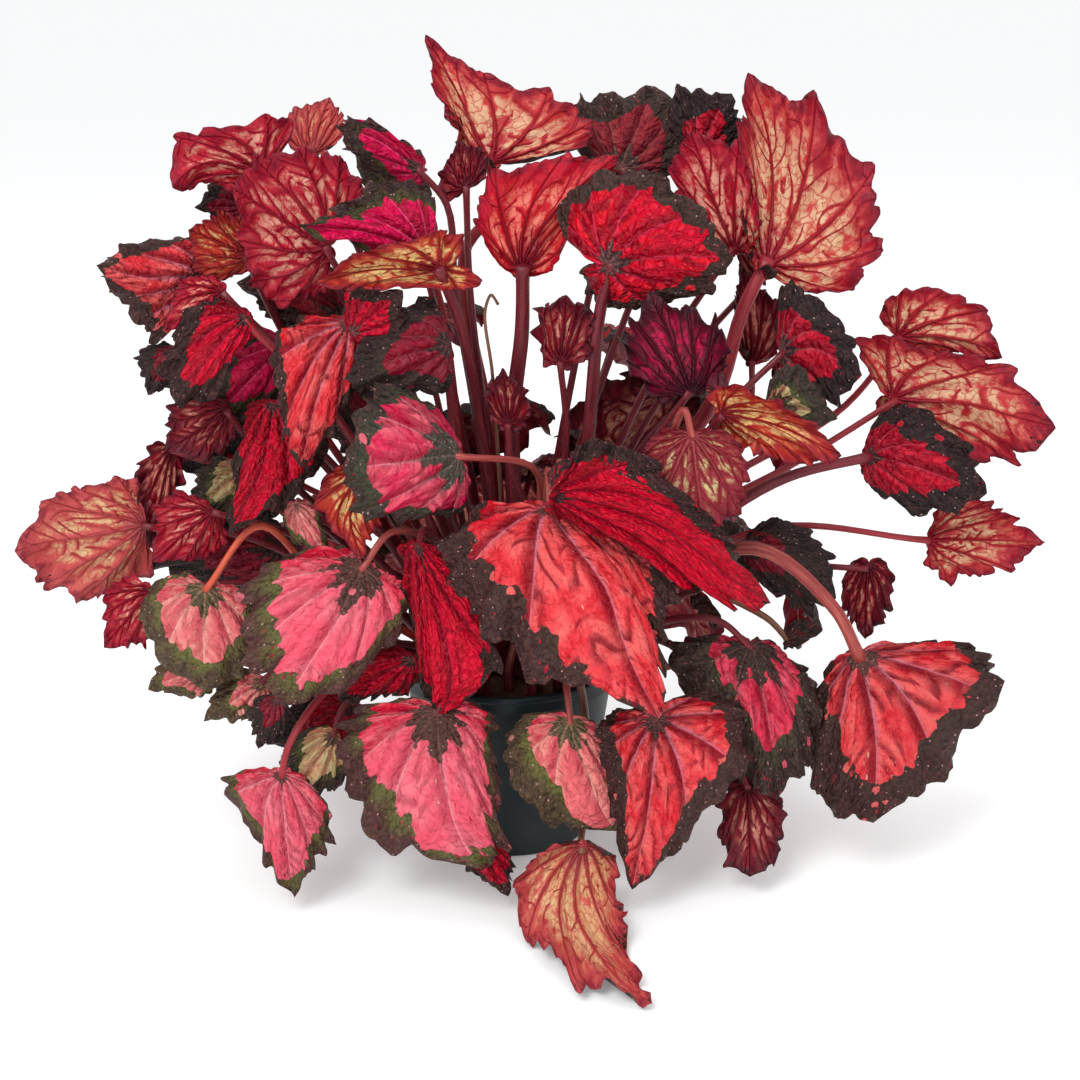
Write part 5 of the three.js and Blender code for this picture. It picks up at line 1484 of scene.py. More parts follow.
@dataclass(frozen=True)
class UnderFinish(Finish):
    """The underside of a leaf: pale islands between broad red bands along its raised veins, and a red margin.

    Args:
        cell: Colour of the islands.
        flesh: Colour of the bands.
        fine_vein: Colour of the net of fine veins.
        side_vein: Colour of the side veins.
        main_vein: Colour of the main veins.
        margin: Colour of the margin.
        heart: Colour about the stalk.
        rim: Colour of the margin's very edge.
        cell_from: Distance from a main vein in mm at which an island starts.
        cell_to: The distance at which it has its full colour.
        margin_from: Share of the way out at which the margin starts.
        margin_to: The share at which it has its full colour.
        heart_to: The share at which the heart ends.
        roughness: Roughness.
    """

    cell: Colour
    flesh: Colour
    fine_vein: Colour
    side_vein: Colour
    main_vein: Colour
    margin: Colour
    heart: Colour
    rim: Colour = paint(112, 22, 40)
    cell_from: float = 1.2
    cell_to: float = 3.4
    margin_from: float = 0.74
    margin_to: float = 0.98
    heart_to: float = 0.36
    roughness: float = 0.5

    def fill(self, board: Board) -> None:
        """Lays islands, heart, veins, margin and edge over the flesh in that order.

        Args:
            board: The material's board.
        """
        lie = BladeLie(board)
        clear = self._clear(lie)
        net_line = lie.rough_net.fall(0.004, 0.042) * (0.4 + (lie.fine + lie.grain).rise(-0.2, 0.2) * 0.6)
        side_line = (lie.rung + lie.fine * 1.2 - (0.7 - lie.side * 0.9)).fall(-0.5, 0.7)
        main_line = (lie.away + lie.fine * 0.9 - (1.5 - lie.share * 1.4)).fall(-0.7, 0.7)
        heart = (lie.share + lie.wander * 0.3 + lie.fine * 0.2).fall(0.04, self.heart_to)
        margin = (lie.share + lie.wander * 0.4 + lie.fine * 0.4).rise(self.margin_from, self.margin_to)
        ragged = (lie.share + lie.fine * 0.3).rise(0.9, 1.0)
        colour = board.mix((lie.wander + lie.fine).rise(-0.2, 0.3) * 0.6, self.flesh, self.fine_vein)
        for share, over in (
            (clear * (0.75 + lie.fine * 1.0), self.cell),
            (net_line * 0.7, self.fine_vein),
            (heart * 0.85, self.heart),
            (side_line * 0.55, self.side_vein),
            (margin * 0.8, self.margin),
            (main_line * 0.8, self.main_vein),
            (ragged * 0.7, self.rim),
        ):
            colour = board.mix(share, colour, over)
        ribs = main_line * 0.7 + side_line * 0.5 + net_line * 0.12
        height = ribs + lie.fine * 0.6 + lie.grain * 0.2
        rough = self.roughness + lie.fine * 0.2
        board.close(board.toned(colour, lie.tone), rough, height, 0.0014, Specular_IOR_Level=0.32)

    def _clear(self, lie: BladeLie) -> Flow:
        """Says how much a place lies on an island: away from veins, net and margin, and not under clouds.

        Args:
            lie: Where the point lies.

        Returns:
            A share from 0 to 1.
        """
        outer = (lie.share + lie.wander * 0.5 + lie.fine * 0.35).rise(0.66, 0.88)
        clear = (lie.away + lie.fine * 5.0 + lie.grain * 1.5).rise(self.cell_from, self.cell_to) * (1 - outer)
        clear = clear * (lie.rung + lie.fine * 4.0 + lie.grain * 1.5).rise(0.6, 2.6)
        clear = clear * (lie.wander + lie.fine * 0.5).rise(-0.26, -0.04)
        return clear * (0.45 + (lie.net + lie.fine * 0.12).rise(0.02, 0.14) * 0.55)


@dataclass(frozen=True)
class StalkFinish(Finish):
    """A fleshy stalk: streaks along it, a paler upper end and small pale dots.

    Args:
        foot: Colour at its foot.
        head: Colour at its upper end.
        streak: Colour of the streaks.
        dot: Colour of the dots.
        roughness: Roughness of its skin.
    """

    foot: Colour
    head: Colour
    streak: Colour
    dot: Colour = paint(190, 104, 96)
    roughness: float = 0.4

    def fill(self, board: Board) -> None:
        """Stretches noise along the stalk for the streaks and picks some cells of a pattern for the dots.

        Args:
            board: The material's board.
        """
        share = board.layer("blade").part("X")
        place = board.place()
        scale = {"Vector": board.layer("sector"), "Scale": (9.0, 2.2, 1.0)}
        lines = board.noise(board.node("ShaderNodeMapping", {}, scale, "Vector"), 1.6, 3.0)
        cloud = board.noise(place, 60.0, 3.0)
        colour = board.mix((share + cloud * 0.4).rise(0.1, 1.0), self.foot, self.head)
        colour = board.mix(lines.rise(-0.02, 0.22) * 0.7, colour, self.streak)
        colour = board.mix(lines.fall(-0.24, -0.02) * 0.5, colour, self.foot)
        spot = board.cells(place, 420.0)
        dots = spot.fall(0.12, 0.24) * spot.sibling("Color").part("X").rise(0.7, 0.72)
        colour = board.mix(dots * 0.5, colour, self.dot)
        height = lines * 0.8 + dots * 0.4 + cloud * 0.4
        board.close(colour, self.roughness + cloud * 0.15, height, 0.0005, Specular_IOR_Level=0.4)


@dataclass(frozen=True)
class HairFinish(Finish):
    """The stiff hairs on stalks."""

    colour: Colour = paint(186, 96, 92)
    light: Colour = paint(214, 160, 150)

    def fill(self, board: Board) -> None:
        """Mixes the two colours by soft clouds."""
        share = board.noise(board.place(), 200.0).rise(-0.2, 0.2)
        board.close(board.mix(share, self.colour, self.light), 0.55)


@dataclass(frozen=True)
class PlasticFinish(Finish):
    """Dark moulded plastic with a fine grain, and a dusty bloom that is thicker low down."""

    colour: Colour = paint(16, 34, 38)
    dust: Colour = paint(96, 100, 94)
    roughness: float = 0.46

    def fill(self, board: Board) -> None:
        """Mixes in the dust by clouds that a low place helps, and makes the dusty parts rougher.

        Args:
            board: The material's board.
        """
        place = board.place()
        cloud = board.noise(place, 26.0, 4.0)
        grain = board.noise(place, 900.0)
        low = place.part("Z").fall(0.004, 0.05)
        dust = (cloud + low * 0.12).rise(0.05, 0.3) * 0.22
        colour = board.mix(dust, self.colour, self.dust)
        rough = self.roughness + dust * 0.9 + cloud * 0.1
        board.close(colour, rough, grain + cloud * 0.5, 0.00012, Specular_IOR_Level=0.35)


@dataclass(frozen=True)
class EarthFinish(Finish):
    """Damp potting soil, or the bark-like skin of the rhizome: mottled, rough and dull.

    Args:
        dark: Colour of the dark mottles.
        light: Colour of the light ones.
        fleck: Colour of the flecks.
        scale: Mottles in a metre.
        roughness: Roughness of the dark mottles.
    """

    dark: Colour
    light: Colour
    fleck: Colour
    scale: float = 140.0
    roughness: float = 0.9

    def fill(self, board: Board) -> None:
        """Mixes dark and light by clouds and picks some cells of a pattern for the flecks.

        Args:
            board: The material's board.
        """
        place = board.place()
        cloud = board.noise(place, self.scale, 5.0)
        colour = board.mix(cloud.rise(-0.2, 0.25), self.dark, self.light)
        crumb = board.cells(place, self.scale * 3.0)
        fleck = crumb.fall(0.12, 0.2)
        colour = board.mix(fleck * crumb.sibling("Color").part("Y").rise(0.8, 0.82), colour, self.fleck)
        board.close(colour, self.roughness + cloud * 0.1, cloud + fleck * 0.2, 0.0012)


@dataclass(frozen=True)
class GritFinish(Finish):
    """White grit: one colour with soft mottling."""

    colour: Colour = paint(206, 202, 190)
    other: Colour = paint(176, 170, 156)
    roughness: float = 0.7

    def fill(self, board: Board) -> None:
        """Mixes the two colours by fine clouds.

        Args:
            board: The material's board.
        """
        cloud = board.noise(board.place(), 320.0, 3.0)
        colour = board.mix(cloud.rise(-0.15, 0.2), self.colour, self.other)
        board.close(colour, self.roughness, cloud, 0.0003)


FINISHES: dict[Enum, Finish] = {
    Upper.CORAL: UpperFinish(
        paint(226, 74, 80), paint(200, 28, 44), paint(234, 108, 106), paint(200, 124, 142),
        star=paint(92, 58, 56), olive=paint(68, 48, 40), painted_fold_shading=0.85, band=0.6,
    ),
    Upper.PINK: UpperFinish(
        paint(238, 100, 120), paint(216, 30, 60), paint(242, 130, 142), paint(246, 172, 180),
        star=paint(90, 60, 54), margin=paint(80, 48, 46), margin_light=paint(108, 76, 66),
        olive=paint(102, 104, 56), painted_fold_shading=0.4, lines=0.15, mottle=0.2,
    ),
    Upper.HOT_PINK: UpperFinish(
        paint(226, 64, 96), paint(206, 20, 76), paint(230, 112, 126), paint(214, 150, 160),
        star=paint(78, 74, 64), star_vein=paint(128, 116, 104), margin=paint(54, 44, 40),
        olive=paint(70, 74, 54),
    ),
    Upper.MAGENTA: UpperFinish(
        paint(220, 16, 80), paint(186, 10, 52), paint(226, 34, 92), paint(236, 110, 146),
        margin=paint(54, 38, 36), olive=paint(76, 76, 42), painted_fold_shading=0.7,
    ),
    Upper.CRIMSON: UpperFinish(
        paint(210, 16, 46), paint(160, 6, 30), paint(226, 38, 62), paint(216, 66, 94),
        star=paint(74, 34, 40), margin=paint(54, 32, 34), olive=paint(64, 44, 38),
        painted_fold_shading=0.8, lines=0.5, puff=0.9,
    ),
    Upper.SCARLET: UpperFinish(
        paint(222, 28, 56), paint(184, 10, 38), paint(234, 56, 66), paint(206, 72, 102),
        star=paint(62, 52, 54), margin=paint(60, 42, 38), olive=paint(68, 50, 42),
        painted_fold_shading=0.75, lines=0.5, puff=0.9,
    ),
    Upper.PALE: UpperFinish(
        paint(232, 118, 122), paint(222, 66, 86), paint(240, 162, 150), paint(246, 198, 184),
        star=paint(90, 84, 60), star_vein=paint(176, 132, 110), margin=paint(82, 64, 50),
        margin_light=paint(116, 98, 70), olive=paint(112, 114, 60), shade=paint(176, 50, 68), painted_fold_shading=0.5,
        mottle=0.25,
    ),
    Upper.OLIVE_CREAM: UpperFinish(
        paint(206, 190, 142), paint(214, 146, 118), paint(190, 180, 124), paint(196, 110, 96),
        star=paint(74, 78, 52), margin=paint(54, 48, 40), olive=paint(92, 98, 52), shade=paint(140, 76, 62),
    ),
    Upper.DARK: UpperFinish(
        paint(140, 26, 48), paint(88, 22, 34), paint(130, 44, 58), paint(126, 66, 72),
        star=paint(54, 42, 40), star_vein=paint(104, 62, 62), margin=paint(44, 32, 32),
        margin_light=paint(82, 56, 54), olive=paint(58, 46, 38),
    ),
    Upper.DARK_RED: UpperFinish(
        paint(190, 26, 48), paint(140, 10, 30), paint(202, 54, 70), paint(196, 84, 98),
        star=paint(46, 32, 36), margin=paint(42, 28, 30), margin_light=paint(78, 52, 50),
        olive=paint(50, 36, 36), painted_fold_shading=0.75, lines=0.5, puff=0.9,
    ),
    Upper.DARK_PINK: UpperFinish(
        paint(214, 66, 88), paint(168, 26, 54), paint(216, 92, 110), paint(206, 130, 136),
        star=paint(60, 46, 42), star_vein=paint(116, 76, 72), margin=paint(50, 36, 34),
        margin_light=paint(90, 66, 58), olive=paint(70, 66, 46),
    ),
    Upper.DUSKY: UpperFinish(
        paint(146, 38, 50), paint(104, 24, 34), paint(156, 56, 62), paint(140, 76, 76),
        star=paint(60, 48, 44), margin=paint(52, 38, 36), olive=paint(62, 48, 42), shade=paint(72, 12, 26),
    ),
    Under.CREAM: UnderFinish(
        paint(226, 190, 152), paint(196, 64, 66), paint(176, 46, 52),
        paint(152, 28, 42), paint(148, 28, 46), paint(146, 22, 44), heart=paint(164, 50, 68),
    ),
    Under.ROSE: UnderFinish(
        paint(226, 166, 146), paint(184, 42, 58), paint(160, 26, 44),
        paint(132, 14, 34), paint(122, 14, 34), paint(150, 22, 46), heart=paint(130, 20, 42), cell_to=3.2,
    ),
    Under.SCARLET: UnderFinish(
        paint(222, 128, 112), paint(190, 34, 46), paint(160, 20, 38),
        paint(132, 12, 30), paint(112, 10, 28), paint(180, 26, 50), heart=paint(108, 16, 34),
        rim=paint(96, 20, 34), cell_from=1.6, cell_to=4.4, heart_to=0.55,
    ),
    Under.BLUSH: UnderFinish(
        paint(226, 192, 144), paint(204, 96, 92), paint(186, 62, 62),
        paint(164, 44, 52), paint(176, 72, 78), paint(196, 84, 88), heart=paint(178, 96, 100),
        rim=paint(120, 30, 50), cell_from=1.8, cell_to=4.6,
    ),
    Under.AMBER: UnderFinish(
        paint(222, 198, 134), paint(182, 58, 46), paint(156, 42, 40),
        paint(140, 30, 34), paint(118, 24, 32), paint(140, 34, 42), heart=paint(128, 30, 38),
        cell_to=3.0, heart_to=0.4,
    ),
    Under.DUSKY: UnderFinish(
        paint(206, 190, 136), paint(150, 50, 58), paint(124, 32, 42),
        paint(130, 28, 40), paint(170, 76, 80), paint(118, 30, 42), heart=paint(156, 66, 72),
        cell_from=2.0, cell_to=4.4, heart_to=0.55,
    ),
    Under.WINE: UnderFinish(
        paint(214, 150, 130), paint(138, 26, 40), paint(112, 16, 32),
        paint(92, 10, 26), paint(88, 10, 26), paint(92, 16, 32), heart=paint(98, 14, 30),
        rim=paint(58, 18, 28), cell_from=1.8, cell_to=4.6, margin_from=0.62, margin_to=0.92,
    ),
    Under.MAGENTA: UnderFinish(
        paint(204, 28, 80), paint(108, 12, 40), paint(82, 10, 32),
        paint(64, 12, 30), paint(56, 12, 28), paint(72, 18, 34), heart=paint(64, 12, 30),
        rim=paint(48, 22, 30), cell_from=2.4, cell_to=5.5,
    ),
    Stem.MAROON: StalkFinish(
        paint(78, 10, 24), paint(108, 18, 32), paint(140, 38, 48), dot=paint(150, 64, 64),
    ),
    Stem.CRIMSON: StalkFinish(
        paint(104, 14, 28), paint(150, 32, 44), paint(184, 62, 66), dot=paint(190, 90, 86),
    ),
    Stem.SALMON: StalkFinish(paint(100, 26, 32), paint(158, 62, 58), paint(196, 104, 88)),
    Stem.ORANGE: StalkFinish(paint(176, 54, 42), paint(206, 84, 60), paint(226, 120, 88)),
    Stem.DRY: StalkFinish(paint(92, 58, 44), paint(122, 80, 58), paint(156, 116, 88)),
}


class Wardrobe:
    """Makes each finish once and hands it out."""

    def __init__(self) -> None:
        """Starts with the hairs' finish alone."""
        self.made: dict[Enum, Material] = {}
        self.hair = HairFinish().dress("stalk_hair")

    def of(self, choice: Union[Upper, Under, Stem]) -> Material:
        """Gives the material of a colouring.

        Args:
            choice: The colouring.

        Returns:
            Its material.
        """
        if choice not in self.made:
            kind = type(choice).__name__.lower()
            self.made[choice] = FINISHES[choice].dress(f"{kind}_{choice.value}")
        return self.made[choice]


@dataclass(frozen=True)
class Detail:
    """How finely a blade is divided: columns in a sector and rings from stalk to margin."""

    columns: int
    rings: int


# Divisions for blades up to a length in mm.
DETAILS = ((34.0, Detail(8, 8)), (58.0, Detail(11, 12)), (92.0, Detail(15, 17)), (math.inf, Detail(20, 22)))


@dataclass(frozen=True)
class BladeForm:
    """Sizes of a blade's fine form: reaches as shares of the margin's, heights in mm on a 100 mm blade.

    Args:
        vein_bend: How far the main veins bend towards the tip at the margin.
        lobe: How far the margin stands out where a main vein ends.
        lobe_width: Half width of that lobe, in sectors.
        lobe_drop: How much is taken off the margin everywhere to make up for the lobes.
        scallop: How far a scallop stands out.
        tooth: How far a tooth stands out.
        tooth_change: How much that changes along the margin.
        nick: How far single points of the margin stray.
        bulge: Height of the bulge between two main veins.
        pucker: Height of a pucker between two side veins.
        swell: Height of the broad swells.
        dimple: Height of the small dimples.
        frill: Height of the fine frill at the margin.
        roll: How far the margin rolls under, in blade lengths.
        rib: How far a main vein stands out of the underside.
        rib_width: Half width of that rib in mm.
        thinning: How much thinner the margin is than the middle.
    """

    vein_bend: float = 0.2
    lobe: float = 0.075
    lobe_width: float = 0.17
    lobe_drop: float = 0.02
    scallop: float = 0.07
    tooth: float = 0.04
    tooth_change: float = 0.022
    nick: float = 0.008
    bulge: float = 3.6
    pucker: float = 2.3
    swell: float = 3.0
    dimple: float = 0.42
    frill: float = 1.7
    roll: float = -0.06
    rib: float = 1.2
    rib_width: float = 1.3
    thinning: float = 0.55


FORM = BladeForm()
# The mean of the absolute value of a sine.
MEAN_SINE = 0.64


@dataclass(frozen=True)
class BladeGrid:
    """A blade's rings by columns, one column more than its shell has, since the last one's values differ.

    Args:
        points: Points of the plain surface.
        normals: Their normals.
        u: Places across, in blade lengths.
        v: Places along, in blade lengths.
        phase: Bearings in sectors.
        share: Shares of the way from the stalk to the margin.
        radius: Distances from the stalk in mm.
        ladder: Counts of the side veins that lie nearer to the stalk.
    """

    points: Array
    normals: Array
    u: Array
    v: Array
    phase: Array
    share: Array
    radius: Array
    ladder: Array


class Blade:
    """One leaf blade: a thin closed shell with veins, puckers and a ruffled, toothed margin."""

    def __init__(self, leaf: Dressed, surface: Surface, seed: int) -> None:
        """Works out the blade's size and grid.

        Args:
            leaf: The leaf.
            surface: The plain surface it follows.
            seed: Seed of its own irregularities.
        """
        self.leaf = leaf
        self.surface = surface
        self.random = np.random.default_rng(seed)
        ends = surface.points(np.zeros(2), np.array([0.0, 1.0]))
        lobes = np.array([MARK_PLACES["lobe_a"], MARK_PLACES["lobe_b"]])
        middle = surface.points(lobes[:, 0], lobes[:, 1])
        span = float(np.linalg.norm(middle[1] - middle[0]))
        self.length = max(float(np.linalg.norm(ends[1] - ends[0])), 0.75 * span)
        self.scale = self.length / 100.0
        self.detail = next(detail for limit, detail in DETAILS if self.length <= limit)
        self.columns = SECTORS * self.detail.columns
        self.tone = float(self.random.uniform(-1.0, 1.0))
        self.shift = self.random.uniform(0.0, 9.0, 2)
        self.turns = self.random.uniform(0.0, 2 * math.pi, 8)
        self.nicks = self.random.normal(0.0, 1.0, self.columns + 1)
        self.nicks[self.columns // 2] = self.nicks[-self.columns // 2]
        self.narrow = float(np.clip(span / (1.05 * self.length), 0.45, 1.0))
        self.rung_spacing = float(np.clip(RUNG_SPACING * self.length, 6.0, 18.0)) / self.narrow

    def margin(self, bearing: Array, phase: Array) -> Array:
        """Gives the margin's reach in blade lengths: the plain heart times lobes, scallops and teeth.

        A lobe stands out where a main vein ends, as a bell curve of the distance to it. Scallops and teeth
        are the absolute value of sines of the phase, less its mean, whose pace and height wander.

        Args:
            bearing: Bearings from the tip in degrees.
            phase: Bearings in sectors, before the veins' bend.

        Returns:
            Reaches.
        """
        reach = np.interp(np.abs(bearing), MARGIN_BEARINGS, MARGIN_REACHES)
        turns = self.turns
        lobes = FORM.lobe * np.exp(-((nearest_gap(phase) / FORM.lobe_width) ** 2)) - FORM.lobe_drop
        wander = 0.7 * np.sin(1.3 * phase + turns[1]) + 0.4 * np.sin(2.9 * phase + turns[6])
        scallops = FORM.scallop * (np.abs(np.sin(math.pi * 1.7 * phase + turns[0] + wander)) - MEAN_SINE)
        teeth_count = self.detail.columns / 6.2
        height = FORM.tooth + FORM.tooth_change * np.sin(2.3 * phase + turns[7])
        teeth = height * (np.abs(np.sin(math.pi * teeth_count * phase + 2 * wander)) - MEAN_SINE)
        at_tip = eased(np.abs(phase), 0.1, 0.6)
        ragged = FORM.nick * self.nicks[np.round(phase * self.detail.columns).astype(int)]
        return reach * (1 + (lobes + scallops + teeth + ragged) * at_tip)

    def ladder(self, phase: Array, radius: Array, u: Array, v: Array) -> Array:
        """Counts the side veins that a place lies beyond: they slant outwards and wander a little.

        Args:
            phase: Bearings in sectors.
            radius: Distances from the stalk in mm.
            u: Places across in blade lengths.
            v: Places along in blade lengths.

        Returns:
            Counts.
        """
        away = nearest_gap(phase) * SECTOR_TURN * radius
        random = np.random.default_rng(int(self.shift[0] * 1000))
        wander = wavy(u * self.length, v * self.length, 34.0, random)
        return (radius - away) / self.rung_spacing + 0.5 * wander

    def relief(self, grid: BladeGrid) -> Array:
        """Gives the height of the upper face over the plain surface, in mm.

        Bulges between main veins are a sine squared of the phase, smaller ones between side veins a sine of
        their count, and the margin adds its own waves.

        Args:
            grid: The blade's grid.

        Returns:
            Heights.
        """
        phase, radius, share = grid.phase, grid.radius, grid.share
        x, y = grid.u * self.length, grid.v * self.length
        scale = self.scale
        bulge = FORM.bulge * scale * eased(radius / self.length, 0.0, 0.35) * np.sin(math.pi * phase) ** 2
        bulge *= 1 - 0.6 * share**2
        beyond_vein = np.where(phase > np.round(phase), 0.5, 0.0)
        between = np.abs(np.sin(math.pi * (grid.ladder + beyond_vein)))
        between_veins = np.sin(2 * math.pi * nearest_gap(phase)) * eased(1 - share, 0.0, 0.2)
        height = FORM.pucker * self.narrow**2 * min(1.0, scale)
        pucker = height * between * between_veins * eased(radius, 3.0, 16.0)
        random = np.random.default_rng(int(self.shift[1] * 1000))
        swell = FORM.swell * scale * wavy(x, y, 60.0 * scale, random) * share
        dimple = FORM.dimple * min(1.0, scale) * wavy(x, y, 8.0, random) * eased(radius, 0.0, 12.0)
        return bulge + pucker + swell + dimple + self.margin_relief(phase, share)

    def margin_relief(self, phase: Array, share: Array) -> Array:
        """Gives the height of the margin's waves, frill and roll, which grow with powers of the share.

        Args:
            phase: Bearings in sectors.
            share: Shares of the way to the margin.

        Returns:
            Heights.
        """
        turns = self.turns
        low = np.sin(math.pi * phase + turns[2])
        high = 0.8 * np.sin(2 * math.pi * 0.9 * phase + turns[3])
        curl = 0.6 * np.sin(2 * math.pi * 1.7 * phase + turns[4])
        waves = self.leaf.ruffle * self.length * share**3 * (0.5 * low + high + curl)
        frill_count = self.detail.columns / 5.5
        frill = np.sin(2 * math.pi * frill_count * phase + 3 * low + turns[5])
        frill = FORM.frill * self.scale * share**7 * frill
        rolled = FORM.roll * self.length * share**5 * (1 + 0.6 * low)
        at_notch = eased(np.abs(SECTORS / 2 - np.abs(phase)), 0.0, 0.8)
        return (waves + frill + rolled) * at_notch

    def grid(self) -> BladeGrid:
        """Works out the blade's grid.

        Main veins bend towards the tip as they run out: the bearing is less its sine times a share.

        Returns:
            The grid.
        """
        half = SECTORS / 2
        phase = np.linspace(-half, half, self.columns + 1)
        share = np.linspace(0.0, 1.0, self.detail.rings + 1)[1:] ** 0.92
        share, phase = np.meshgrid(share, phase, indexing="ij")
        turn = phase * SECTOR_TURN
        turn = turn - FORM.vein_bend * share * np.sin(turn)
        reach = self.margin(np.degrees(turn), phase)
        u = share * reach * np.sin(turn)
        v = share * reach * np.cos(turn)
        points = self.surface.points(u, v)
        outward = np.gradient(points, axis=0)
        round_ = np.roll(points[:, :-1], -1, axis=1) - np.roll(points[:, :-1], 1, axis=1)
        normals = np.cross(outward[:, :-1], round_)
        normals /= np.maximum(np.linalg.norm(normals, axis=-1, keepdims=True), 1e-9)
        first = normals[0].mean(axis=0)
        normals[0] = first / np.linalg.norm(first)
        normals = np.concatenate([normals, normals[:, :1]], axis=1)
        radius = share * reach * self.length
        return BladeGrid(points, normals, u, v, phase, share, radius, self.ladder(phase, radius, u, v))

    def values(self, grid: BladeGrid) -> Array:
        """Gives the corner values at each place of the grid, in the order of Corner.

        Args:
            grid: The blade's grid.

        Returns:
            Rings by columns by values.
        """
        patch = self.leaf.patch
        turn = grid.phase * SECTOR_TURN
        end = patch.band + patch.lean * np.sin(turn) + patch.tipward * np.clip(np.cos(turn), 0, 1) ** 10
        layers = [
            grid.phase,
            grid.radius / DECIMETRE,
            grid.u * self.length / DECIMETRE + self.shift[0],
            grid.v * self.length / DECIMETRE + self.shift[1],
            grid.share / patch.star,
            grid.share - end,
            grid.share,
            np.full_like(grid.share, self.tone),
            grid.ladder,
            np.full_like(grid.share, self.rung_spacing / DECIMETRE),
        ]
        return np.stack(layers, axis=-1)

    def upward(self, grid: BladeGrid) -> float:
        """Finds on which side of the grid the upper face is.

        Args:
            grid: The blade's grid.

        Returns:
            1 where the grid's normals point, or -1 on the other side.
        """
        if isinstance(self.leaf, FarLeaf):
            return float(np.sign(grid.normals[..., 2].mean()))
        facing = (grid.normals * (np.array(VIEW.eye) - grid.points)).sum(axis=-1)
        towards = float(np.sign(facing.mean()))
        return towards if isinstance(self.leaf.face, Upper) else -towards

    def build(self, parts: MeshParts, wardrobe: Wardrobe) -> Array:
        """Adds the blade's shell: an upper and an under sheet of rings, closed at the stalk and the margin.

        Args:
            parts: Where the shell goes.
            wardrobe: Where finishes come from.

        Returns:
            The direction from the stalk's end to the upper face.
        """
        grid = self.grid()
        up = self.upward(grid)
        normals = grid.normals * up
        height = self.relief(grid)[..., None]
        thickness = LEAF_THICKNESS * (1 - FORM.thinning * grid.share**4)[..., None]
        away = nearest_gap(grid.phase) * SECTOR_TURN * grid.radius
        ridge = FORM.rib * np.exp(-((away / FORM.rib_width) ** 2))
        rib = (ridge * (1 - grid.share) * min(1.0, self.length / 70))[..., None]
        upper = grid.points + normals * (height + thickness / 2)
        under = grid.points + normals * (height - thickness / 2 - rib)
        sunk = np.maximum(0.0, LEAF_CLEARANCE - np.minimum(upper[..., 2], under[..., 2]))
        upper[..., 2] += sunk
        under[..., 2] += sunk
        centre = self.surface.points(np.zeros(1), np.zeros(1))[0]
        out = normals[0].mean(axis=0)
        values = self.values(grid)
        rims = []
        for sheet, lift, colouring, forward in (
            (upper, 0.5, self.leaf.upper, up > 0),
            (under, -0.5, self.leaf.under, up < 0),
        ):
            pole = centre + out * LEAF_THICKNESS * lift
            rims.append(self._sheet(parts, sheet[:, :-1], pole, wardrobe.of(colouring), forward, values))
        self._edge(parts, rims, wardrobe.of(self.leaf.face), up > 0, values)
        return out

    def _sheet(
        self, parts: MeshParts, points: Array, pole: Array, finish: Material, forward: bool, values: Array
    ) -> Array:
        """Adds one sheet of quads between rings and a fan round the stalk.

        Args:
            parts: Where the sheet goes.
            points: Rings by columns of points.
            pole: Point at the stalk.
            finish: The sheet's finish.
            forward: Whether its faces look along the grid's normals.
            values: Corner values of the grid, with one column more.

        Returns:
            The point numbers of its outermost ring.
        """
        numbers = parts.add_points(points)
        middle_number = parts.add_points(pole[None])
        following = np.roll(numbers, -1, axis=1)
        quads = np.stack([numbers[:-1], numbers[1:], following[1:], following[:-1]], axis=-1)
        left, right = values[:, :-1], values[:, 1:]
        quad_values = np.stack([left[:-1], left[1:], right[1:], right[:-1]], axis=-2)
        middles = np.broadcast_to(middle_number, numbers[0].shape)
        fan = np.stack([middles, numbers[0], following[0]], axis=-1)
        fan_values = np.stack([self._middle_values(values), left[0], right[0]], axis=-2)
        quad_values = quad_values.reshape(-1, 4, len(Corner))
        parts.add_faces(around(quads.reshape(-1, 4), forward), finish, around(quad_values, forward))
        parts.add_faces(around(fan, forward), finish, around(fan_values, forward))
        return numbers[-1]

    def _middle_values(self, values: Array) -> Array:
        """Gives the corner values of the point at the stalk, once for each face of the fan.

        Args:
            values: Corner values of the grid.

        Returns:
            One row for each face.
        """
        middle = plain_values((self.columns,))
        middle[:, Corner.PHASE] = (values[0, :-1, Corner.PHASE] + values[0, 1:, Corner.PHASE]) / 2
        middle[:, Corner.ACROSS : Corner.ALONG + 1] = self.shift
        middle[:, Corner.BEYOND] = values[0, 0, Corner.BEYOND] - values[0, 0, Corner.SHARE]
        middle[:, Corner.TONE] = self.tone
        middle[:, Corner.SPACING] = self.rung_spacing / DECIMETRE
        return middle

    @staticmethod
    def _edge(parts: MeshParts, rims: list[Array], finish: Material, forward: bool, values: Array) -> None:
        """Adds the strip of quads that closes the margin.

        Args:
            parts: Where the strip goes.
            rims: Point numbers of the upper and of the under sheet's outermost ring.
            finish: The strip's finish.
            forward: Whether the upper sheet looks along the grid's normals.
            values: Corner values of the grid, with one column more.
        """
        upper, under = rims
        quads = np.stack([upper, under, np.roll(under, -1), np.roll(upper, -1)], axis=-1)
        left, right = values[-1, :-1], values[-1, 1:]
        quad_values = np.stack([left, left, right, right], axis=-2)
        parts.add_faces(around(quads, forward), finish, around(quad_values, forward))


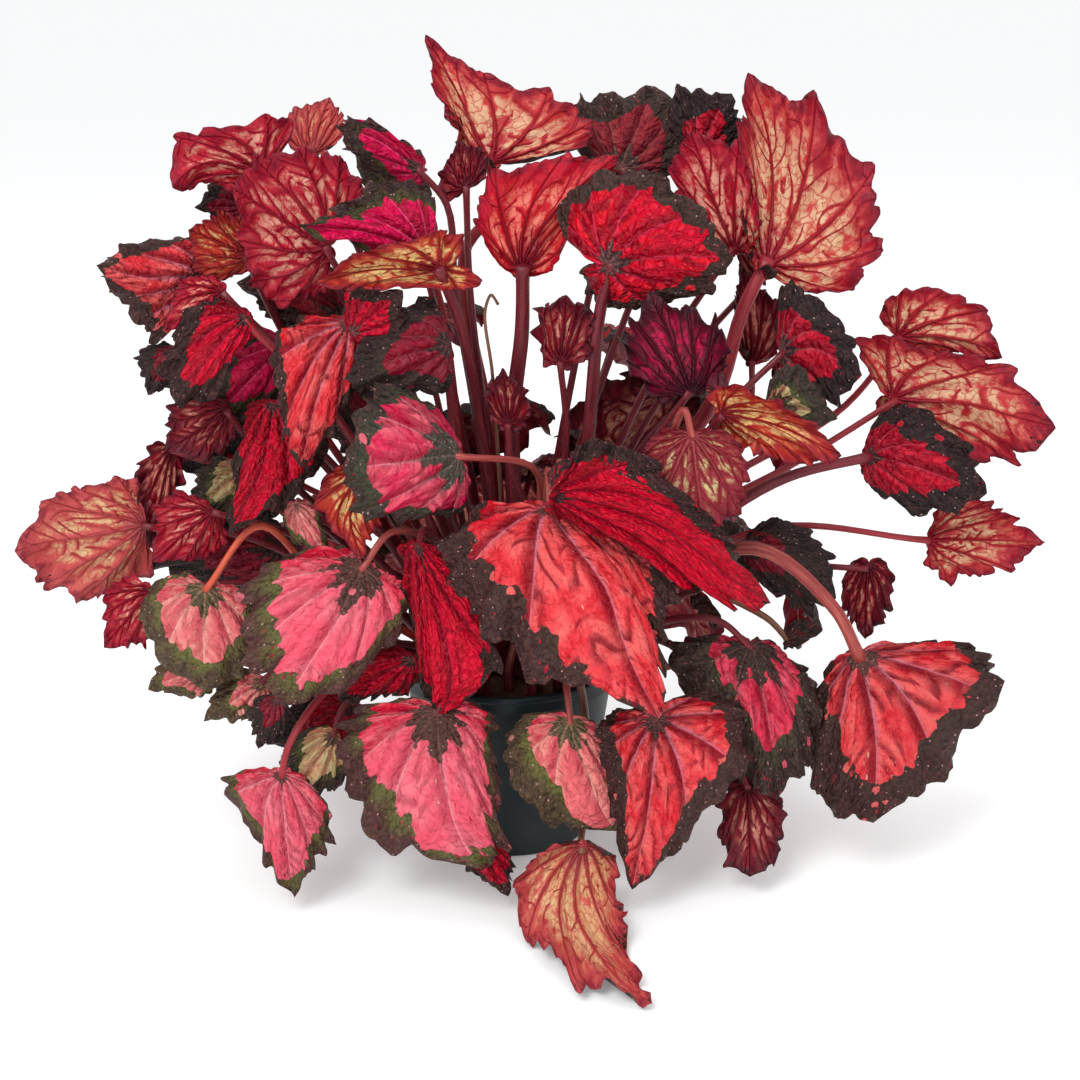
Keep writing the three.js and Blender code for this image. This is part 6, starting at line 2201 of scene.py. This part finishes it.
# Sizes of the pot and of what stands in it, in mm.
POT_TOP_RADIUS = 63.5
POT_BASE_RADIUS = 46.0
POT_HEIGHT = 106.0
POT_WALL = 2.0
POT_FLOOR = 2.5
RIM_BAND = POT_HEIGHT * 0.09
SOIL_TOP = POT_HEIGHT - 16.0
MAT_THICKNESS = 7.5
MAT_RADIUS = POT_TOP_RADIUS - 10.0
MAT_TOP = SOIL_TOP + FIT_GAP + MAT_THICKNESS
STALK_FOOT = MAT_TOP + 2 * FIT_GAP
STALK_RADIUS = 2.2
FOOT_SPACING = 9.0
FEET_RADIUS = MAT_RADIUS - 2 * STALK_RADIUS
SHOOT_SPREAD = 1.2


def hand_over(piece: Piece, node: str) -> None:
    """Declares a piece that stands for a CAD node and reports it.

    Args:
        piece: The piece.
        node: The CAD node that it stands for.
    """
    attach(piece, BODY)
    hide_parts(node)
    piece.data.calc_loop_triangles()
    LOG.info("%s: %d triangles", piece.name, len(piece.data.loop_triangles))


class Feet:
    """The free places of a triangular grid over the rhizome, on which the stalks stand."""

    ROWS = 6

    def __init__(self) -> None:
        """Lays out the grid row by row."""
        rows = range(-self.ROWS, self.ROWS + 1)
        grid = [(FOOT_SPACING * (c + r / 2), FOOT_SPACING * r * math.sqrt(3) / 2) for r in rows for c in rows]
        self.free = [place for place in grid if math.hypot(*place) <= FEET_RADIUS]

    def take(self, wanted: Place) -> Array:
        """Takes the free place that is nearest to the one wanted.

        Args:
            wanted: Place wanted.

        Returns:
            The stalk's foot.
        """
        self.free.sort(key=lambda place: math.dist(place, wanted))
        return np.array([*self.free.pop(0), STALK_FOOT])


def smooth_path(knots: Array, steps: int) -> Array:
    """Carries a smooth curve through knots, as a centripetal Catmull-Rom spline in Barry and Goldman's form.

    Args:
        knots: Knots, one a row.
        steps: Number of steps along the whole curve.

    Returns:
        Points at even parameters along the curve.
    """
    ends = [2 * knots[0] - knots[1], 2 * knots[-1] - knots[-2]]
    full = np.vstack([ends[0], knots, ends[1]])
    gaps = np.maximum(np.linalg.norm(np.diff(full, axis=0), axis=1) ** 0.5, 1e-6)
    times = np.concatenate([[0.0], np.cumsum(gaps)])
    at = np.linspace(0.0, len(knots) - 1 - 1e-9, steps + 1)
    cell = at.astype(int)
    t = [times[cell + k][:, None] for k in range(4)]
    p = [full[cell + k] for k in range(4)]
    x = t[1] + (at - cell)[:, None] * (t[2] - t[1])
    a = [((t[k + 1] - x) * p[k] + (x - t[k]) * p[k + 1]) / (t[k + 1] - t[k]) for k in range(3)]
    b = [((t[k + 2] - x) * a[k] + (x - t[k]) * a[k + 1]) / (t[k + 2] - t[k]) for k in range(2)]
    return ((t[2] - x) * b[0] + (x - t[1]) * b[1]) / (t[2] - t[1])


@dataclass(frozen=True)
class Hairs:
    """The stiff hairs of a stalk: the length of stalk to a hair, a hair's length and its radius, in mm."""

    spacing: float = 1.3
    length: float = 1.5
    radius: float = 0.09


@dataclass
class Stalk:
    """A fleshy stalk: a round section carried along a path, with hairs standing out of it.

    Args:
        path: Points of the path, one a row.
        radius: Radius in mm midway along it.
        stem: Its colouring.
        random: Source of its grooves and hairs.
        sides: Steps round it.
        hairs: Its hairs.
    """

    path: Array
    radius: float
    stem: Stem
    random: np.random.Generator
    sides: int = 10
    hairs: Hairs = Hairs()

    def frames(self) -> tuple[Array, Array]:
        """Works out two directions across the path that don't twist.

        The first one is carried along by taking away, at each step, its part along the path.

        Returns:
            Sideways directions and their crosses with the path's, one row a step.
        """
        tangents = np.gradient(self.path, axis=0)
        tangents /= np.linalg.norm(tangents, axis=1, keepdims=True)
        sideways = np.empty_like(tangents)
        current = np.cross(tangents[0], [0.3, 1.0, 0.2])
        for k, tangent in enumerate(tangents):
            current = current - (current @ tangent) * tangent
            current = current / np.linalg.norm(current)
            sideways[k] = current
        return sideways, np.cross(tangents, sideways)

    def build(self, parts: MeshParts, wardrobe: Wardrobe) -> None:
        """Adds the stalk: rings of points at the path plus cosine and sine of the turn times the radius.

        Args:
            parts: Where the stalk goes.
            wardrobe: Where finishes come from.
        """
        steps = len(self.path)
        side, cross = self.frames()
        along = np.linspace(0.0, 1.0, steps)
        swell = 1.25 - 0.5 * along + 0.35 * np.exp(-along / 0.04) + 0.25 * np.exp(-(1 - along) / 0.03)
        radius = self.radius * swell
        turn = np.linspace(0.0, 2 * math.pi, self.sides + 1)
        grooves = 1 + 0.05 * np.cos(3 * turn + self.random.uniform(0, 6))
        outward = np.cos(turn)[None, :, None] * side[:, None] + np.sin(turn)[None, :, None] * cross[:, None]
        skin = self.path[:, None] + outward * (radius[:, None] * grooves[None, :])[..., None]
        lengths = np.concatenate([[0.0], np.cumsum(np.linalg.norm(np.diff(self.path, axis=0), axis=1))])
        values = plain_values((steps, self.sides + 1))
        values[..., Corner.PHASE] = turn / (2 * math.pi)
        values[..., Corner.RADIUS] = (lengths / DECIMETRE)[:, None]
        values[..., Corner.SHARE] = along[:, None]
        numbers = parts.add_points(skin[:, :-1])
        following = np.roll(numbers, -1, axis=1)
        quads = np.stack([numbers[:-1], following[:-1], following[1:], numbers[1:]], axis=-1)
        left, right = values[:, :-1], values[:, 1:]
        quad_values = np.stack([left[:-1], right[:-1], right[1:], left[1:]], axis=-2)
        finish = wardrobe.of(self.stem)
        parts.add_faces(quads.reshape(-1, 4), finish, quad_values)
        for row, forward in ((0, False), (steps - 1, True)):
            pole = np.broadcast_to(parts.add_points(self.path[row][None]), numbers[row].shape)
            fan = np.stack([pole, numbers[row], following[row]], axis=-1)
            fan_values = np.stack([left[row], left[row], right[row]], axis=-2)
            parts.add_faces(around(fan, forward), finish, around(fan_values, forward))
        self._add_hairs(parts, wardrobe.hair, lengths[-1], radius, (side, cross))

    def _add_hairs(
        self, parts: MeshParts, finish: Material, length: float, radius: Array, across: tuple[Array, Array]
    ) -> None:
        """Adds hairs as slim three-sided spikes, each standing out of the skin with a little lean.

        Args:
            parts: Where the hairs go.
            finish: Their finish.
            length: The stalk's length in mm.
            radius: The stalk's radius at each step.
            across: The two directions across the path at each step.
        """
        count = int(length / self.hairs.spacing)
        at = self.random.uniform(0.05, 0.97, count) * (len(self.path) - 1)
        row = at.astype(int)
        turn = self.random.uniform(0, 2 * math.pi, count)
        out = np.cos(turn)[:, None] * across[0][row] + np.sin(turn)[:, None] * across[1][row]
        share = (at - row)[:, None]
        root = self.path[row] * (1 - share) + self.path[row + 1] * share + out * (radius[row] * 0.9)[:, None]
        direction = out + self.random.normal(0, 0.25, (count, 3))
        direction /= np.linalg.norm(direction, axis=1, keepdims=True)
        tall = self.hairs.length * self.random.uniform(0.5, 1.2, count)[:, None]
        first_side = np.cross(direction, [0.1, 0.2, 1.0])
        first_side /= np.linalg.norm(first_side, axis=1, keepdims=True)
        second_side = np.cross(direction, first_side)
        third = 2 * math.pi / 3
        corners = [
            root + self.hairs.radius * (math.cos(third * k) * first_side + math.sin(third * k) * second_side)
            for k in range(3)
        ]
        numbers = parts.add_points(np.stack([*corners, root + direction * tall], axis=1))
        triangles = np.array([[0, 1, 3], [1, 2, 3], [2, 0, 3], [0, 2, 1]])
        parts.add_faces(numbers[:, triangles].reshape(-1, 3), finish)


def stalk_knots(foot: Array, leaf: Dressed, joint: Array) -> Array:
    """Lists the knots of a stalk: it leaves its foot upright, arches over, and ends in the blade.

    Args:
        foot: Foot of the stalk.
        leaf: The leaf, with the places that the stalk was seen at.
        joint: Where the stalk ends.

    Returns:
        Knots, one a row.
    """
    knots = [foot, foot + np.array([foot[0] * 0.04, foot[1] * 0.04, 14.0])]
    if leaf.via:
        knots += VIEW.marked(leaf.via)
    else:
        outwards = math.dist(joint[:2], foot[:2])
        rise = joint[2] - foot[2]
        arch = foot + (joint - foot) * 0.62
        arch[2] = foot[2] + 0.68 * rise + 0.12 * outwards + 0.6 * max(0.0, 45.0 - rise)
        knots.append(arch)
    return np.vstack([*knots, joint])


class Foliage:
    """Every growth of the plant, each a piece that stands for its CAD node."""

    PATH_STEPS = 30

    def __init__(self, growths: list[Growth], wardrobe: Wardrobe) -> None:
        """Keeps the growths.

        Args:
            growths: Growths, in the order in which they take their feet.
            wardrobe: Where finishes come from.
        """
        self.growths = growths
        self.wardrobe = wardrobe
        self.feet = Feet()
        self.slots = {part["node"]: part["material_slot"] for part in frame["record"]["subparts"]}

    def build(self) -> None:
        """Builds each growth and reports it."""
        for number, growth in enumerate(self.growths):
            piece = self._grow(growth, number)
            hand_over(piece, growth.node)

    def _grow(self, growth: Growth, number: int) -> Piece:
        """Builds the blades and stalks of one growth.

        Args:
            growth: The growth.
            number: Its number, from which its irregularities are seeded.

        Returns:
            The piece.
        """
        parts = MeshParts()
        foot = self.feet.take(growth.foot)
        for k, leaf in enumerate(growth.leaves):
            turn = 2 * math.pi * k / len(growth.leaves)
            spread = SHOOT_SPREAD if len(growth.leaves) > 1 else 0.0
            own_foot = foot + spread * np.array([math.cos(turn), math.sin(turn), 0.0])
            surface = surface_of(leaf)
            blade = Blade(leaf, surface, seed=100 * number + k)
            up = blade.build(parts, self.wardrobe)
            joint = surface.points(np.zeros(1), np.full(1, STALK_END))[0] - up * leaf.stalk * 0.6
            path = smooth_path(stalk_knots(own_foot, leaf, joint), self.PATH_STEPS)
            Stalk(path, leaf.stalk, leaf.stem, blade.random).build(parts, self.wardrobe)
        return parts.build(f"{growth.node}_grown")


def turned(radius: Array, height: Array, sides: int) -> Array:
    """Turns a profile about the Z axis.

    Args:
        radius: Radii of the profile.
        height: Its heights.
        sides: Number of steps of the turn.

    Returns:
        Rows for the profile by columns for the turn, of points.
    """
    turn = 2 * math.pi * np.arange(sides) / sides
    flat = radius[:, None, None] * np.stack([np.cos(turn), np.sin(turn)], axis=-1)
    upright = np.broadcast_to(height[:, None, None], (len(height), sides, 1))
    return np.concatenate([flat, upright], axis=-1)


def rounded(points: Array, radii: list[float], steps: int) -> Array:
    """Rounds the corners of a profile, each with a curve that leaves and meets its sides at a given distance.

    The curve is a quadratic one from a place before the corner, towards the corner, to a place after it.

    Args:
        points: The profile's corners.
        radii: How far from each corner its curve starts; 0 keeps it sharp.
        steps: Steps of a curve.

    Returns:
        The profile with its corners rounded.
    """
    curves = []
    for k, (point, radius) in enumerate(zip(points, radii)):
        if radius == 0.0:
            curves.append(point[None])
            continue
        sides = [points[k - 1] - point, points[k + 1] - point]
        lengths = [np.linalg.norm(side) for side in sides]
        start, end = (point + side / length * min(radius, length / 2) for side, length in zip(sides, lengths))
        t = np.linspace(0.0, 1.0, steps + 1)[:, None]
        curves.append((1 - t) ** 2 * start + 2 * t * (1 - t) * point + t**2 * end)
    return np.vstack(curves)


def wall_radius(height: float) -> float:
    """Gives the outer radius of the pot's wall below its rim band."""
    return POT_BASE_RADIUS + (POT_TOP_RADIUS - 2 - POT_BASE_RADIUS) * height / POT_HEIGHT


@dataclass(frozen=True)
class Pot:
    """A round nursery pot: a thin tapering wall, a rim band with a rolled edge and a base with drain holes.

    Args:
        hole_count: Number of drain holes.
        hole_radius: Radius of a hole in mm.
        hole_circle: Radius in mm of the circle on which the holes stand.
        plate_radius: Radius in mm of the flat plate inside the foot ring.
        edge_height: Height of the rolled edge at the top of the rim band, in mm.
        edge_groove: Height and depth of the groove under it, in mm.
        sector_steps: Steps of the turn for each hole.
        radial_steps: Steps from the plate's centre out.
        corner_steps: Steps of a rounded corner.
    """

    hole_count: int = 6
    hole_radius: float = 4.0
    hole_circle: float = POT_BASE_RADIUS * 0.62
    plate_radius: float = POT_BASE_RADIUS - 6.0
    edge_height: float = 2.8
    edge_groove: Place = (0.6, 0.4)
    sector_steps: int = 24
    radial_steps: int = 8
    corner_steps: int = 5

    def profile(self) -> Array:
        """Lists the wall's profile from the base plate under the foot, up outside, over the rim, down inside.

        Returns:
            Radii and heights, one pair a row.
        """
        band = POT_HEIGHT - RIM_BAND
        inner_top = wall_radius(POT_HEIGHT) - POT_WALL
        inner_foot = wall_radius(POT_FLOOR) - POT_WALL
        edge = POT_HEIGHT - self.edge_height
        groove_height, groove_depth = self.edge_groove
        # Radius, height and rounding of each corner.
        corners = [
            (self.plate_radius, 0.0, 0.0),
            (POT_BASE_RADIUS - 4.0, 0.0, 0.6),
            (POT_BASE_RADIUS - 3.4, 0.0, 0.4),
            (wall_radius(0.5), 0.0, 1.5),
            (wall_radius(band - 0.2), band - 0.2, 0.5),
            (POT_TOP_RADIUS, band, 0.9),
            (POT_TOP_RADIUS - groove_depth, edge - groove_height, 0.8),
            (POT_TOP_RADIUS, edge, 0.6),
            (POT_TOP_RADIUS, POT_HEIGHT, 1.1),
            (inner_top, POT_HEIGHT, 0.9),
            (inner_top - 0.4, POT_HEIGHT - RIM_BAND, 2.0),
            (inner_foot, POT_FLOOR, 3.0),
            (self.plate_radius, POT_FLOOR, 0.0),
        ]
        points = np.array([corner[:2] for corner in corners])
        return rounded(points, [corner[2] for corner in corners], self.corner_steps)

    def plate(self) -> tuple[Array, Array]:
        """Works out one sector of the base plate: from the edge of its drain hole out to the sector's border.

        The border runs from the plate's centre out along one side, along the arc and back along the other.
        Points between are even shares of the way from the hole's edge.

        Returns:
            Rows from hole to border by columns round the hole, and the hole's edge, of points in the plane.
        """
        half = math.pi / self.hole_count
        out = np.linspace(0.0, self.plate_radius, self.radial_steps + 1)
        arc = np.linspace(-half, half, self.sector_steps + 1)
        first = np.stack([out * math.cos(half), -out * math.sin(half)], axis=-1)
        outer = self.plate_radius * np.stack([np.cos(arc), np.sin(arc)], axis=-1)
        last = np.stack([out * math.cos(half), out * math.sin(half)], axis=-1)[::-1]
        border = np.vstack([first[:-1], outer[:-1], last[:-1]])
        turn = -math.pi + 2 * math.pi * np.arange(len(border)) / len(border)
        across = self.hole_circle + self.hole_radius * np.cos(turn)
        edge = np.stack([across, self.hole_radius * np.sin(turn)], axis=-1)
        share = np.linspace(0.0, 1.0, 5)[:, None, None]
        return edge + (border - edge) * share, edge

    def build(self) -> None:
        parts = MeshParts()
        finish = PlasticFinish().dress("pot_plastic")
        profile = self.profile()
        wall = turned(profile[:, 0], profile[:, 1], self.hole_count * self.sector_steps)
        parts.add_ring_grid(np.roll(wall, self.sector_steps // 2, axis=1), finish)
        flat, edge = self.plate()
        heights = np.linspace(POT_FLOOR, 0.0, 3)
        for k in range(self.hole_count):
            turn = 2 * math.pi * k / self.hole_count
            spin = np.array([[math.cos(turn), math.sin(turn)], [-math.sin(turn), math.cos(turn)]])
            for height, upper in ((0.0, False), (POT_FLOOR, True)):
                sheet = np.concatenate([flat @ spin, np.full((*flat.shape[:2], 1), height)], axis=-1)
                parts.add_ring_grid(sheet[::-1] if upper else sheet, finish)
            bore = [np.column_stack([edge @ spin, np.full(len(edge), height)]) for height in heights]
            parts.add_ring_grid(np.stack(bore), finish)
        parts.weld()
        hand_over(parts.build("pot_moulded"), "pot")


@dataclass(frozen=True)
class Ground:
    """The soil in the pot, uneven and strewn with crumbs, and the knobbly rhizomes that lie on it.

    Args:
        rings: Rings of their tops.
        sides: Steps round them.
        crumbs: Number of crumbs.
        grit_every: Every how many crumbs one is white grit.
        runners: Number of rhizomes.
        runner_radius: Half width of a rhizome in mm.
        runner_height: How high it stands out, in mm.
        scar_spacing: Distance between its leaf scars, over a turn of a sine, in mm.
    """

    rings: int = 40
    sides: int = 120
    crumbs: int = 420
    grit_every: int = 5
    runners: int = 9
    runner_radius: float = 6.2
    runner_height: float = 5.2
    scar_spacing: float = 1.3

    def build(self) -> None:
        random = np.random.default_rng(7)
        self._soil(random)
        self._rhizomes(random)

    def _soil(self, random: np.random.Generator) -> None:
        """Builds the soil: a plug with an uneven top, and crumbs of bark and white grit half sunk into it.

        Args:
            random: Source of the unevenness.
        """
        parts = MeshParts()
        earth = EarthFinish(paint(30, 22, 18), paint(62, 46, 34), paint(120, 98, 74)).dress("soil_peat")
        grit = GritFinish().dress("soil_grit")
        bottom = POT_FLOOR + FIT_GAP
        gap = POT_WALL + FIT_GAP
        foot = wall_radius(bottom) - gap
        top = wall_radius(SOIL_TOP) - gap
        radius = np.linspace(top, 1.0, self.rings)
        sheet = turned(radius, np.full(self.rings, SOIL_TOP), self.sides)
        uneven = wavy(sheet[..., 0], sheet[..., 1], 7.0, random) * 0.6
        uneven += wavy(sheet[..., 0], sheet[..., 1], 2.6, random) * 0.35
        sheet[..., 2] += uneven - 1.2
        side = turned(np.array([foot, top]), np.array([bottom, SOIL_TOP - 3.0]), self.sides)
        numbers = parts.add_ring_grid(np.concatenate([side, sheet]), earth)
        parts.add_cap(numbers[0][::-1], np.array([0.0, 0.0, bottom]), earth)
        parts.add_cap(numbers[-1], np.array([0.0, 0.0, SOIL_TOP - 1.0]), earth)
        for k in range(self.crumbs):
            reach = (top - 3.0) * math.sqrt(random.uniform(0.0, 1.0))
            turn = random.uniform(0, 2 * math.pi)
            size = random.uniform(0.5, 1.7)
            centre = np.array([reach * math.cos(turn), reach * math.sin(turn), SOIL_TOP - 0.8])
            self._crumb(parts, centre, size, grit if k % self.grit_every == 0 else earth, random)
        hand_over(parts.build("soil_loose"), "soil")

    @staticmethod
    def _crumb(
        parts: MeshParts, centre: Array, size: float, finish: Material, random: np.random.Generator
    ) -> None:
        """Adds a crumb: a ball of three rings, each point pushed in or out.

        Args:
            parts: Where the crumb goes.
            centre: Its centre.
            size: Its radius.
            finish: Its finish.
            random: Source of its shape.
        """
        lift = np.radians([-45.0, 0.0, 45.0])
        ball = turned(np.cos(lift), np.sin(lift), 6) * random.uniform(0.7, 1.2, (3, 6, 1))
        stretch = random.uniform(0.6, 1.3, 3) * size
        top = np.array([0, 0, stretch[2]])
        numbers = parts.add_ring_grid(centre + ball * stretch, finish)
        parts.add_cap(numbers[0][::-1], centre - top, finish)
        parts.add_cap(numbers[-1], centre + top, finish)

    def _rhizomes(self, random: np.random.Generator) -> None:
        """Builds the rhizomes: a low round cushion with winding ridges that are ringed by old leaf scars.

        Args:
            random: Source of the lines.
        """
        parts = MeshParts()
        light = paint(150, 60, 56)
        skin = EarthFinish(paint(70, 44, 36), paint(122, 84, 60), light, scale=90.0, roughness=0.7)
        bark = skin.dress("rhizome_bark")
        bottom = SOIL_TOP + FIT_GAP
        reach = np.linspace(MAT_RADIUS - 0.8, 1.0, self.rings)
        radius = np.concatenate([[MAT_RADIUS - 2.0, MAT_RADIUS], reach])
        height = np.concatenate([[bottom, bottom + 1.5], np.full(self.rings, bottom + 2.4)])
        sheet = turned(radius, height, self.sides)
        rise = np.zeros(sheet.shape[:2])
        for k in range(self.runners):
            turn = 2 * math.pi * (k + random.uniform(-0.2, 0.2)) / self.runners
            along = sheet[..., 0] * math.cos(turn) + sheet[..., 1] * math.sin(turn)
            aside = sheet[..., 1] * math.cos(turn) - sheet[..., 0] * math.sin(turn)
            bend = 5.0 * np.sin(along / 13.0 + random.uniform(0, 6))
            scars = np.sin(along / self.scar_spacing + random.uniform(0, 6))
            swell = self.runner_radius * (1 + 0.14 * scars)
            dome = np.sqrt(np.clip(1 - ((aside - bend) / swell) ** 2, 0.0, 1.0))
            rise = np.maximum(rise, dome * eased(along, -6.0, 4.0) * (1 - eased(along, 44.0, 53.0)))
        uneven = wavy(sheet[..., 0], sheet[..., 1], 4.0, random) * 0.35
        sheet[2:, :, 2] += (rise * self.runner_height + uneven)[2:]
        numbers = parts.add_ring_grid(sheet, bark)
        parts.add_cap(numbers[0][::-1], np.array([0.0, 0.0, bottom]), bark)
        parts.add_cap(numbers[-1], np.array([0.0, 0.0, MAT_TOP]), bark)
        hand_over(parts.build("rhizome_mat_knobbly"), "rhizome_mat")


class DriedStalk:
    """A dead stalk, thin and hooked at its broken end, that was seen among the living ones.

    Its marks are columns, rows and depths in mm of places that it passes in the measured view.
    """

    MARKS = ((498, 450, -22), (492, 370, -40), (485, 312, -46), (491, 295, -42), (498, 304, -38))
    FOOT = (-1.0, 2.0, STALK_FOOT - 3.0)
    RADIUS = 0.95
    SIDES = 8
    STEPS = 44

    def build(self, wardrobe: Wardrobe) -> None:
        """Args:
            wardrobe: Where its finish comes from.
        """
        parts = MeshParts()
        path = smooth_path(np.vstack([self.FOOT, *VIEW.marked(self.MARKS)]), self.STEPS)
        random = np.random.default_rng(5)
        Stalk(path, self.RADIUS, Stem.DRY, random, self.SIDES, Hairs(spacing=6.0)).build(parts, wardrobe)
        piece = parts.build("dried_stalk")
        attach(piece, BODY)


@dataclass(frozen=True)
class Lamp:
    """A soft square light.

    Args:
        name: Its name.
        place: Its place in metres.
        turn: Its turns about X, Y and Z in degrees.
        size: Its side in metres.
        power: Its power in watts.
    """

    name: str
    place: tuple[float, float, float]
    turn: tuple[float, float, float]
    size: float
    power: float

    def hang(self) -> None:
        """Adds the light."""
        lamp = bpy.data.lights.new(self.name, "AREA")
        lamp.size = self.size
        lamp.energy = self.power
        holder = bpy.data.objects.new(self.name, lamp)
        holder.location = self.place
        holder.rotation_euler = [math.radians(angle) for angle in self.turn]
        bpy.context.scene.collection.objects.link(holder)


class Studio:
    """The plain pale floor, soft light and camera that the plant is shown with."""

    FLOOR_RADIUS = 40.0
    FLOOR_DROP = 0.0004
    FLOOR_SIDES = 64
    SKY = (0.98, 0.99, 1.0, 1.0)
    SKY_STRENGTH = 0.8
    SENSOR = 36.0
    SIGHT = 200.0
    LAMPS = (
        Lamp("key", (-0.7, -1.5, 1.9), (58, 0, -26), 1.0, 30.0),
        Lamp("fill", (1.7, -0.9, 1.1), (62, 0, 62), 1.6, 2.0),
        Lamp("top", (0.1, 0.7, 2.1), (-18, 0, 0), 1.4, 5.0),
    )

    def build(self) -> None:
        """Sets up the floor, the lights, the camera and the view."""
        scene = bpy.context.scene
        scene.view_settings.view_transform = "Standard"
        self._floor()
        world = bpy.data.worlds.new("pale_room")
        world.use_nodes = True
        sky = world.node_tree.nodes["Background"]
        sky.inputs["Color"].default_value = self.SKY
        sky.inputs["Strength"].default_value = self.SKY_STRENGTH
        scene.world = world
        for lamp in self.LAMPS:
            lamp.hang()
        camera = bpy.data.cameras.new("front")
        camera.lens = self.SENSOR * VIEW.focal / (2 * VIEW.centre)
        camera.sensor_width = self.SENSOR
        camera.clip_end = self.SIGHT
        holder = bpy.data.objects.new("front", camera)
        holder.location = [number * MM for number in VIEW.eye]
        holder.rotation_euler = (math.pi / 2 - VIEW.pitch, 0.0, 0.0)
        scene.collection.objects.link(holder)
        scene.camera = holder

    def _floor(self) -> None:
        """Adds the floor, a wide round sheet just under the pot's foot."""
        turns = 2 * math.pi * np.arange(self.FLOOR_SIDES) / self.FLOOR_SIDES
        reach = self.FLOOR_RADIUS
        rim = [(reach * math.cos(turn), reach * math.sin(turn), -self.FLOOR_DROP) for turn in turns]
        mesh = bpy.data.meshes.new("floor")
        mesh.from_pydata(rim, [], [list(range(len(rim)))])
        board = Board("floor_paper")
        board.close(paint(252, 252, 252), 0.8, Emission_Strength=0.18)
        mesh.materials.append(board.material)
        floor = bpy.data.objects.new("floor", mesh)
        bpy.context.scene.collection.objects.link(floor)


def main() -> None:
    """Builds the pot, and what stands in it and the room."""
    logging.basicConfig(level=logging.INFO, format="%(message)s")
    Pot().build()
    Ground().build()
    wardrobe = Wardrobe()
    Foliage(GROWTHS + FAR_GROWTHS, wardrobe).build()
    DriedStalk().build(wardrobe)
    Studio().build()


if __name__ == "__main__":
    main()
